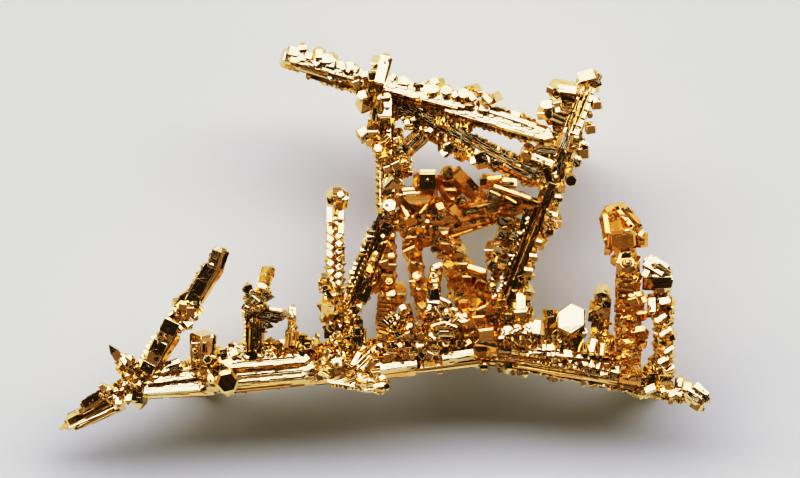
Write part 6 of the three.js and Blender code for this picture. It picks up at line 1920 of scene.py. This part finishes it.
def right_post_lower_face():
    """Its smooth lower face with a pale rim, and the crystals beside it."""
    return [
        facing([7.91, -0.18, 4.72], 0.9, 0.7, 30, (0.02, -0.6), sides=6, tip=0.08, flat=0.84, depth=0.8),
        facing([7.91, -0.18, 4.73], 0.54, 0.1, 10, (0.05, -0.66), sides=8, tip=0.1, flat=0.8),
        bar([7.47, 0.06, 4.8], [8.14, 0.16, 4.86], 0.07, 24),
        bar([8.14, 0.16, 4.86], [8.38, -0.01, 4.8], 0.07, 45),
        bar([7.47, 0.06, 4.8], [7.44, -0.41, 4.5], 0.07, 30),
        bar([7.31, -0.48, 4.1], [7.61, -0.51, 4.1], 0.27, 45, BLUNT),
        facing([8.24, 0.13, 4.82], 0.17, 0.3, 20, (0.05, 0)),
        tile([8.41, 0.06, 4.55], [8.65, -0.04, 4.55], 0.2, (0.1, 0.5, 0.86)),
        bar([8.51, -0.41, 4.1], [8.51, 0.09, 4.15], 0.37, 45, BEVELLED),
        facing([8.55, -0.28, 4.5], 0.27, 0.4, 10, (0.3, -1.2)),
        *row([8.14, -4.46, 3], [8.11, -0.91, 3.6], 9, BACK, 0.5, 0.4, 20, BLUNT, 0.5),
        *knot([7.98, -4.52, 3.1], 0.4, 24, 0.2),
    ]


# outer_post: the outer post, with its own end crystal.


def outer_post_shaft():
    """The shaft of stacked blocks."""
    return [
        bar([9.35, -5.13, 2.8], [9.18, -1.85, 3.4], 0.33, 45),
        *stacked([9.38, -5.06, 2.85], [9.21, -2.05, 3.45], 11, 0.47, 42, 22, 0.2),
    ]


def outer_post_end_crystal():
    """The end crystal: bright ridged top, dark front."""
    return [
        bar([9.08, -1.85, 3.5], [9.11, -0.91, 3.55], 0.8, 20, dict(tip=0.35, flat=0.4)),
        tile([8.71, -0.88, 3.95], [9.52, -1.35, 4], 0.5, (0.05, 0.5, 0.86), BLUNT),
        *cells([8.91, -0.98, 4.14], [9.38, -1.25, 4.14], 6, 0.17, 0.08),
        tile([8.65, -0.98, 3.9], [8.91, -0.81, 3.9], 0.27),
        tile([8.61, -1.25, 4], [8.91, -1.38, 4], 0.3, (-0.1, 0.38, 0.92), BLUNT),
        *ridges([8.85, -0.91, 4.15], [9.45, -1.38, 4.15], (0.14, 0.1, 0), 3, 0.06),
        *row([8.91, -1.11, 4.1], [9.25, -1.38, 4.1], 4, [0.5, 0.8, 0], 0.2, 0.07, 45, POINTED, 0.1),
        tile([8.95, -1.61, 4.1], [9.55, -1.58, 4.05], 0.37, (0.02, -0.12, 1), BEVELLED),
        bar([8.91, -1.38, 4.15], [9.58, -1.41, 4.1], 0.07, 24),
        tile([9.48, -1.75, 3.9], [9.55, -1.45, 3.9], 0.13, (0.3, 0, 0.95)),
        tile([8.71, -1.81, 3.85], [8.85, -1.48, 3.85], 0.3, (-0.3, -0.6, 0.74)),
        facing([9.18, -1.85, 4], 0.33, 0.4, 10, (0, -0.75)),
    ]


def outer_post_cubes():
    """The stack of cubes below it."""
    return [
        tile([8.91, -2.65, 3.8], [8.91, -2.05, 3.8], 0.23, (-0.15, 0.36, 0.92)),
        bar([8.91, -2.78, 3.5], [8.95, -1.98, 3.4], 0.27, 45, BEVELLED),
        bar([9.05, -2.45, 3.5], [9.65, -2.35, 3.55], 0.43, 45, BEVELLED),
        tile([9.15, -2.28, 3.95], [9.52, -2.18, 3.95], 0.23),
        tile([9.58, -2.45, 3.9], [9.68, -2.18, 3.9], 0.13, GLOW),
        facing([9.48, -2.45, 3.9], 0.23, 0.4, 20, (0.1, -0.2), sides=6),
        bar([9.18, -2.98, 3.5], [9.55, -2.78, 3.55], 0.33, 45, BEVELLED),
        tile([9.01, -2.92, 3.85], [9.41, -2.65, 3.85], 0.15),
        tile([9.31, -3.02, 3.85], [9.65, -2.78, 3.85], 0.13, GLOW),
        facing([9.55, -2.92, 3.8], 0.17, 0.3, 20, (0.05, 0)),
        bar([9.11, -3.45, 3.4], [9.75, -3.32, 3.5], 0.37, 45, BLUNT),
        tile([9.15, -3.39, 3.85], [9.58, -3.09, 3.85], 0.15),
        tile([9.01, -3.32, 3.8], [9.21, -3.12, 3.8], 0.17, GLOW),
        facing([9.58, -3.45, 3.8], 0.2, 0.4, 20, (0.1, -0.1)),
        tile([8.98, -3.62, 3.75], [9.31, -3.82, 3.75], 0.15, GLOW),
        bar([9.18, -4.02, 3.3], [9.65, -3.89, 3.35], 0.33, 45, BEVELLED),
        tile([9.31, -3.95, 3.7], [9.65, -3.72, 3.7], 0.13),
        tile([9.11, -4.29, 3.65], [9.48, -4.06, 3.65], 0.17),
        tile([9.25, -4.46, 3.6], [9.62, -4.22, 3.6], 0.13, GLOW),
        bar([9.25, -4.52, 3.2], [9.62, -4.39, 3.2], 0.3, 45, BEVELLED),
        tile([9.31, -4.52, 3.5], [9.65, -4.39, 3.5], 0.2),
        *row([9.18, -4.86, 3], [9.11, -2.18, 3.55], 12, [-1, 0.2, 0], 0.23, 0.17, 45, BLUNT, 0.3),
        *row([9.45, -4.86, 3], [9.38, -2.18, 3.55], 12, [1, 0.2, 0.1], 0.23, 0.17, 45, BLUNT, 0.3),
        *crust([9.35, -4.92, 2.9], [9.25, -2.18, 3.4], 60, 0.27, 0.13, bare=0.4, tilt=40),
        bar([9.08, -5.13, 2.9], [8.91, -4.02, 2.9], 0.23, 45, BLUNT),
        bar([9.01, -4.59, 3.1], [8.85, -4.19, 3], 0.2, 45, BLUNT),
        *row([9.35, -4.52, 2.9], [9.28, -1.71, 3.3], 8, BACK, 0.43, 0.37, 20, BLUNT, 0.5),
    ]


# The branches, each with the functions that make its crystals.
BRANCHES = {
    "left_stem": [
        left_stem_bars, left_stem_mound, left_stem_box, left_stem_forward_crystals,
        left_stem_upper_edge, left_stem_spire, left_stem_back,
    ],
    "right_stem": [
        right_stem_bars, right_stem_bright_faces, right_stem_middle, right_stem_crowd,
        right_stem_end_crystal, right_stem_hanging, right_stem_back,
    ],
    "right_upright": [
        right_upright_pale_part, right_upright_dark_part, right_upright_top, right_upright_prisms,
        right_upright_right_edge, right_upright_left_edge, right_upright_back,
    ],
    "top_bar": [
        top_bar_core, top_bar_left_end, top_bar_crossing, top_bar_hanging, top_bar_right_part,
        top_bar_fringe, top_bar_back,
    ],
    "upper_post": [upper_post_core, upper_post_low_crystal, upper_post_cluster, upper_post_neck],
    "fan": [fan_block, fan_triangle, fan_crowd, fan_club, fan_blades],
    "slanted_post": [
        slanted_post_core, slanted_post_plates, slanted_post_ridge, slanted_post_head,
        slanted_post_block, slanted_post_back,
    ],
    "left_post": [left_post_shaft, left_post_cap, left_post_foot],
    "second_bar": [
        second_bar_core, second_bar_cubes, second_bar_lower_side, second_bar_oval_face,
        second_bar_back, second_bar_arm,
    ],
    "front_spur": [front_spur_core, front_spur_faces, front_spur_tip, front_spur_root],
    "right_column": [
        right_column_core, right_column_crystals, right_column_striped_plate,
        right_column_broad_plates,
    ],
    "left_column": [left_column],
    "middle_column": [middle_column],
    "front_column": [front_column_crystals, front_column_dark_block, front_column_low_crystals],
    "white_plate_cluster": [
        white_plate_cluster_plate, white_plate_cluster_left_blocks,
        white_plate_cluster_right_blocks,
    ],
    "right_post": [
        right_post_shaft, right_post_neck, right_post_end_crystal, right_post_lower_face,
    ],
    "outer_post": [outer_post_shaft, outer_post_end_crystal, outer_post_cubes],
    "left_blade": [left_blade_bars, left_blade_knot, left_blade_spike],
    "left_prong": [left_prong_lumps, left_prong_cluster, left_prong_plate, left_prong_box],
    "stubby_post": [stubby_post_shaft, stubby_post_head, stubby_post_arm, stubby_post_foot],
}

# The crystals of these branches get the orange gold: painted bounce light, a deeper, warmer colour in
# place of the light that the crowded crystals reflect onto each other.
BOUNCE_PAINTED_BRANCHES = ("left_column", "middle_column", "right_column", "fan", "right_post")


# Meshes.

# Growth steps: the least and the most of the length or width of a face, and of STEP.
STEP_LENGTHS = (0.15, 0.55)
STEP_WIDTHS = (0.15, 0.8)
STEP_HEIGHTS = (0.3, 1.1)
LONGEST_SLIDE = 50  # how far one crystal's streaks can be from the next one's


def axes(crystal):
    """The length of a crystal and its three directions: across, along and to the front."""
    start, end = np.array(crystal["start"], float), np.array(crystal["end"], float)
    along = end - start
    length = np.linalg.norm(along)
    along = along / length
    up = np.array((0.0, 1.0, 0.0)) if abs(along[2]) > UPRIGHT else np.array((0.0, 0.0, 1.0))
    if "front" in crystal:
        up = np.array(crystal["front"], float)
    across = np.cross(along, up)
    across /= np.linalg.norm(across)
    front = np.cross(across, along)
    sense = -1 if across[1] < -0.001 and "front" not in crystal else 1
    turn = math.radians(sense * crystal["roll"])
    turned_across = across * math.cos(turn) - front * math.sin(turn)
    turned_front = across * math.sin(turn) + front * math.cos(turn)
    return length, turned_across, along, turned_front


def section(sides, chamfered):
    """The outline of a crystal's section, for half a width of 1."""
    reach = 1 / math.cos(math.pi / sides)
    corners = []
    for corner in range(sides):
        angle = math.pi / sides + corner * 2 * math.pi / sides
        corners.append(np.array((reach * math.sin(angle), reach * math.cos(angle))))
    if not chamfered:
        return np.array(corners)
    outline = []
    for index, corner in enumerate(corners):
        before, after = corners[index - 1], corners[(index + 1) % sides]
        outline.append(corner + (before - corner) * CHAMFER / 2)
        outline.append(corner + (after - corner) * CHAMFER / 2)
    return np.array(outline)


SECTIONS = {sides: section(sides, True) for sides in (4, 6, 8)}
SHARP_SECTIONS = {sides: section(sides, False) for sides in (4, 6, 8)}


def rings(crystal, length):
    """(height, share of the width) of each ring of corners, from foot to tip."""
    width = crystal["width"]
    tip, flat = crystal.get("tip", 0), crystal.get("flat", 1)
    foot, foot_flat = crystal.get("foot", 0), crystal.get("foot_flat", 1)
    slope = width * min(1, length / ((tip + foot or 1) * width))
    chamfer = min(0.5 * CHAMFER * width, 0.2 * length)
    if foot:
        low = [(0, foot_flat), (foot * slope, 1)]
    else:
        low = [(0, 1 - CHAMFER), (chamfer, 1)]
    if tip:
        high = [(length - tip * slope, 1), (length, max(flat, SHARPEST_TIP))]
    else:
        high = [(length - chamfer, 1), (length, 1 - CHAMFER)]
    return low + high


def mesh_of(crystal):
    """Corners, faces and streak coordinates of one crystal. A crystal on the floor is flat there."""
    length, across, along, front = axes(crystal)
    width = crystal["width"]
    half, half_depth = width / 2, crystal.get("depth", width) / 2
    sections = SECTIONS if width > SMALLEST_CHAMFERED else SHARP_SECTIONS
    outline = sections[crystal.get("sides", 4)]
    start = np.array(crystal["start"], float)
    count = len(outline)
    points, streaks = [], []
    levels = rings(crystal, length)
    for height, share in levels:
        centre = start + along * height
        for number, (x, z) in enumerate(outline):
            corner = centre + across * x * half * share + front * z * half_depth * share
            corner[2] = max(corner[2], 0)
            points.append(corner)
            streaks.append((width * number, height))
    faces = []
    for low in range(0, count * (len(levels) - 1), count):
        for corner in range(count):
            following = (corner + 1) % count
            faces.append((low + corner, low + following, low + count + following, low + count + corner))
    last = count * (len(levels) - 1)
    faces.append(tuple(range(count))[::-1])
    faces.append(tuple(range(last, last + count)))
    return points, faces, streaks


def step(out, over, along, base, room, usable):
    """One thin plate that lies on a face of a crystal, nearly parallel to it."""
    long = usable * random.uniform(*STEP_LENGTHS)
    low = random.uniform(0, usable - long)
    wide = room * random.uniform(*STEP_WIDTHS)
    slip = jitter(0.5) * (room - wide)
    lift = STEP * random.uniform(*STEP_HEIGHTS)
    corner = base + out * (lift - STEP) + over * slip
    foot = corner + along * low + over * jitter(0.03 * long)
    head = corner + along * (low + long) + out * jitter(0.012)
    normal = out + over * jitter(0.05)
    shape = random.choice(({}, SPEARED, LONG_POINT))
    return bar(foot, head, wide, 0, shape, depth=2 * STEP, front=normal)


def steps(crystal):
    """The growth steps on the long faces of a crystal."""
    width = crystal["width"]
    depth = crystal.get("depth", width)
    sides = crystal.get("sides", 4)
    length, across, along, front = axes(crystal)
    if min(width, depth) < SMALLEST_STEPPED or length < SHORTEST_STEPPED:
        return []
    start = np.array(crystal["start"], float)
    usable = length - width * crystal.get("tip", 0)
    plates = []
    for side in range(sides):
        angle = 2 * math.pi * side / sides
        out = across * math.sin(angle) + front * math.cos(angle)
        over = across * math.cos(angle) - front * math.sin(angle)
        reach = math.hypot(width * math.sin(angle), depth * math.cos(angle)) / 2
        room = math.tan(math.pi / sides) * (depth if abs(math.sin(angle)) > 0.8 else width)
        for _ in range(1 + int(usable / STEP_EVERY)):
            plates.append(step(out, over, along, start + out * reach, room, usable))
    return plates


def to_object(name, crystals, material):
    """One mesh object of all the crystals of a branch."""
    points, faces, streaks, tones = [], [], [], []
    for crystal in crystals:
        own_points, own_faces, own_streaks = mesh_of(crystal)
        first = len(points)
        points.extend(own_points)
        faces.extend(tuple(first + corner for corner in face) for face in own_faces)
        slide = random.uniform(0, LONGEST_SLIDE)
        streaks.extend((u + slide, v + slide) for u, v in own_streaks)
        tones.extend([random.random()] * len(own_points))
    mesh = bpy.data.meshes.new(name)
    mesh.from_pydata([tuple(METRES * p) for p in points], [], faces)
    layer = mesh.uv_layers.new(name="streaks")
    corners = np.array([loop.vertex_index for loop in mesh.loops])
    layer.data.foreach_set("uv", np.array(streaks, np.float32)[corners].ravel())
    tone = mesh.attributes.new("tone", "FLOAT", "POINT")
    tone.data.foreach_set("value", np.array(tones, np.float32))
    mesh.materials.append(material)
    mesh.update()
    piece = bpy.data.objects.new(name, mesh)
    bpy.context.scene.collection.objects.link(piece)
    return piece


# Materials.


def node(tree, kind, **settings):
    """A new shader node. Settings that begin with a capital are the values of its inputs, with _
    for a space, and the others are its own."""
    made = tree.nodes.new(kind)
    for key, value in settings.items():
        if key[0].isupper():
            made.inputs[key.replace("_", " ")].default_value = value
        else:
            setattr(made, key, value)
    return made


def new_material(name):
    """A material, its node tree and its shader."""
    material = bpy.data.materials.new(name)
    material.use_nodes = True
    return material, material.node_tree, material.node_tree.nodes["Principled BSDF"]


def paint_tones(tree, shader, pale, deep):
    """Gives each crystal a colour between pale and deep, from its own tone."""
    tone = node(tree, "ShaderNodeAttribute", attribute_name="tone")
    colour = node(tree, "ShaderNodeValToRGB")
    colour.color_ramp.elements[0].color = deep
    colour.color_ramp.elements[1].color = pale
    tree.links.new(tone.outputs["Fac"], colour.inputs["Fac"])
    tree.links.new(colour.outputs["Color"], shader.inputs["Base Color"])


def add_grain(tree, shader, place, smooth, rough):
    """Fine patches that are between smooth and rough. Returns their pattern."""
    grain = node(tree, "ShaderNodeTexNoise", noise_dimensions="3D", Scale=2500, Detail=3)
    tree.links.new(place.outputs["Object"], grain.inputs["Vector"])
    patches = node(tree, "ShaderNodeMapRange", From_Min=0.35, From_Max=0.7, To_Min=smooth, To_Max=rough)
    tree.links.new(grain.outputs["Fac"], patches.inputs["Value"])
    tree.links.new(patches.outputs["Result"], shader.inputs["Roughness"])
    return grain


def add_relief(tree, shader, place, grain):
    """Low terraces along each crystal, with the grain on top of them."""
    link = tree.links.new
    stretch = node(tree, "ShaderNodeMapping", Scale=(3.5, 1.1, 1))
    streak = node(tree, "ShaderNodeTexNoise", noise_dimensions="2D", Scale=1, Detail=2)
    raised = node(tree, "ShaderNodeMath", operation="MULTIPLY")
    raised.inputs[1].default_value = 4
    terrace = node(tree, "ShaderNodeMath", operation="FLOOR")
    bump = node(tree, "ShaderNodeBump", Strength=0.3, Distance=0.00001)
    fine = node(tree, "ShaderNodeBump", Strength=0.05, Distance=0.00003)
    link(place.outputs["UV"], stretch.inputs["Vector"])
    link(stretch.outputs["Vector"], streak.inputs["Vector"])
    link(streak.outputs["Fac"], raised.inputs[0])
    link(raised.outputs["Value"], terrace.inputs[0])
    link(terrace.outputs["Value"], bump.inputs["Height"])
    link(grain.outputs["Fac"], fine.inputs["Height"])
    link(bump.outputs["Normal"], fine.inputs["Normal"])
    link(fine.outputs["Normal"], shader.inputs["Normal"])


def gold_material(name, pale, deep, smooth, rough):
    """Native gold: metallic, with streaks along each crystal and patches of finer relief. Each
    crystal has a colour between `pale` and `deep`, and its roughness lies between two values."""
    material, tree, shader = new_material(name)
    shader.inputs["Metallic"].default_value = 1
    place = node(tree, "ShaderNodeTexCoord")
    paint_tones(tree, shader, pale, deep)
    grain = add_grain(tree, shader, place, smooth, rough)
    add_relief(tree, shader, place, grain)
    return material


def floor_material():
    """Plain pale paper."""
    material, _, shader = new_material("pale_floor")
    shader.inputs["Base Color"].default_value = FLOOR_COLOUR
    shader.inputs["Roughness"].default_value = 0.9
    shader.inputs["Specular IOR Level"].default_value = 0.1
    return material


# The studio.


def softbox(name, angles, distance, size, radiance, colour=(1, 1, 1)):
    """A soft lamp that faces the object. Its angles are degrees round from +Y towards +X, and
    degrees up from the floor. Its size is a width and a height, in metres as its distance is."""
    data = bpy.data.lights.new(name, "AREA")
    data.shape = "RECTANGLE"
    data.size, data.size_y = size
    data.energy = radiance * math.pi * size[0] * size[1]
    data.color = colour
    lamp = bpy.data.objects.new(name, data)
    turn, rise = (math.radians(angle) for angle in angles)
    way = np.array((math.sin(turn) * math.cos(rise), math.cos(turn) * math.cos(rise), math.sin(rise)))
    lamp.location = tuple(way * distance)
    lamp.rotation_mode = "QUATERNION"
    lamp.rotation_quaternion = Vector(tuple(way)).to_track_quat("Z", "Y")
    lamp.visible_camera = False
    bpy.context.scene.collection.objects.link(lamp)
    return lamp


def add_floor():
    """A wide plain floor."""
    bpy.ops.mesh.primitive_circle_add(
        vertices=64, radius=FLOOR_RADIUS, fill_type="NGON", location=(0, 0, 0)
    )
    floor = bpy.context.object
    floor.name = "floor"
    floor.data.materials.append(floor_material())


def add_lamps():
    """Two lamps that light the floor, and two that the gold mirrors."""
    floor_strip = softbox("floor_strip", (0, 52), 3.0, (9.0, 1.2), FLOOR_LIGHT)
    upper = softbox("upper_softbox", (-10, 42), 3.6, (8.5, 3.4), KEY_LIGHT)
    fill = softbox("soft_fill", (0, 75), 3.6, (6, 6), SOFT_FILL, WARM_WHITE)
    lower = softbox("lower_softbox", (180, 42), 3.6, (5, 2.4), LOW_FILL, AMBER)
    floor_strip.visible_glossy = fill.visible_glossy = False
    upper.visible_diffuse = lower.visible_diffuse = False


def add_surroundings():
    """What the gold mirrors between the lamps: amber near the floor and almost black above."""
    world = bpy.data.worlds.new("surroundings")
    bpy.context.scene.world = world
    world.use_nodes = True
    world.cycles_visibility.diffuse = False
    tree = world.node_tree
    place = node(tree, "ShaderNodeTexCoord")
    split = node(tree, "ShaderNodeSeparateXYZ")
    ramp = node(tree, "ShaderNodeValToRGB")
    ramp.color_ramp.elements[0].position = 0
    ramp.color_ramp.elements[0].color = BELOW
    ramp.color_ramp.elements.new(0.3).color = DUSK
    ramp.color_ramp.elements[2].position = 0.6
    ramp.color_ramp.elements[2].color = BETWEEN_LAMPS
    tree.links.new(place.outputs["Generated"], split.inputs["Vector"])
    tree.links.new(split.outputs["Z"], ramp.inputs["Fac"])
    tree.links.new(ramp.outputs["Color"], tree.nodes["Background"].inputs["Color"])


def add_camera():
    """A camera straight above the middle of the crystal, with a long lens."""
    data = bpy.data.cameras.new("camera")
    data.sensor_width = SENSOR
    data.lens = SENSOR * CAMERA_HEIGHT / FRAME_WIDTH
    data.clip_start = 0.05
    data.clip_end = 50
    camera = bpy.data.objects.new("camera", data)
    camera.location = CAMERA_PLACE
    bpy.context.scene.collection.objects.link(camera)
    bpy.context.scene.camera = camera


def set_tones():
    """Plain contrast curves for the picture, with a cooler one for blue."""
    settings = bpy.context.scene.view_settings
    settings.view_transform = "Standard"
    settings.use_curve_mapping = True
    mapping = settings.curve_mapping
    mapping.white_level = (WHITE, WHITE, WHITE)
    blue, all_colours = mapping.curves[2], mapping.curves[3]
    all_colours.points[1].location = BRIGHTEST
    for before, after in TONES:
        all_colours.points.new(before, after)
    for before, after in BLUE_TONES:
        blue.points.new(before, after)
    mapping.update()


def add_branch(name, parts, seed, material):
    """Makes the mesh of one branch in place of its solid."""
    random.seed(seed)
    crystals = [crystal for part in parts for crystal in part()]
    crystals += [plate for crystal in crystals for plate in steps(crystal)]
    piece = to_object(name + "_crystals", crystals, material)
    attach(piece, "root")
    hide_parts(name)


bright = gold_material("bright_gold", *PALE_GOLD, 0.03, 0.12)
# The etched gold is rougher, and its deeper orange is painted bounce light from the crowded crystals.
etched_and_bounce_painted = gold_material("etched_gold_bounce_painted", *ORANGE_GOLD_PAINTED_BOUNCE, 0.14, 0.3)
for index, (name, parts) in enumerate(BRANCHES.items()):
    add_branch(name, parts, FIRST_SEED + index, etched_and_bounce_painted if name in BOUNCE_PAINTED_BRANCHES else bright)

add_floor()
add_lamps()
add_surroundings()
add_camera()
set_tones()
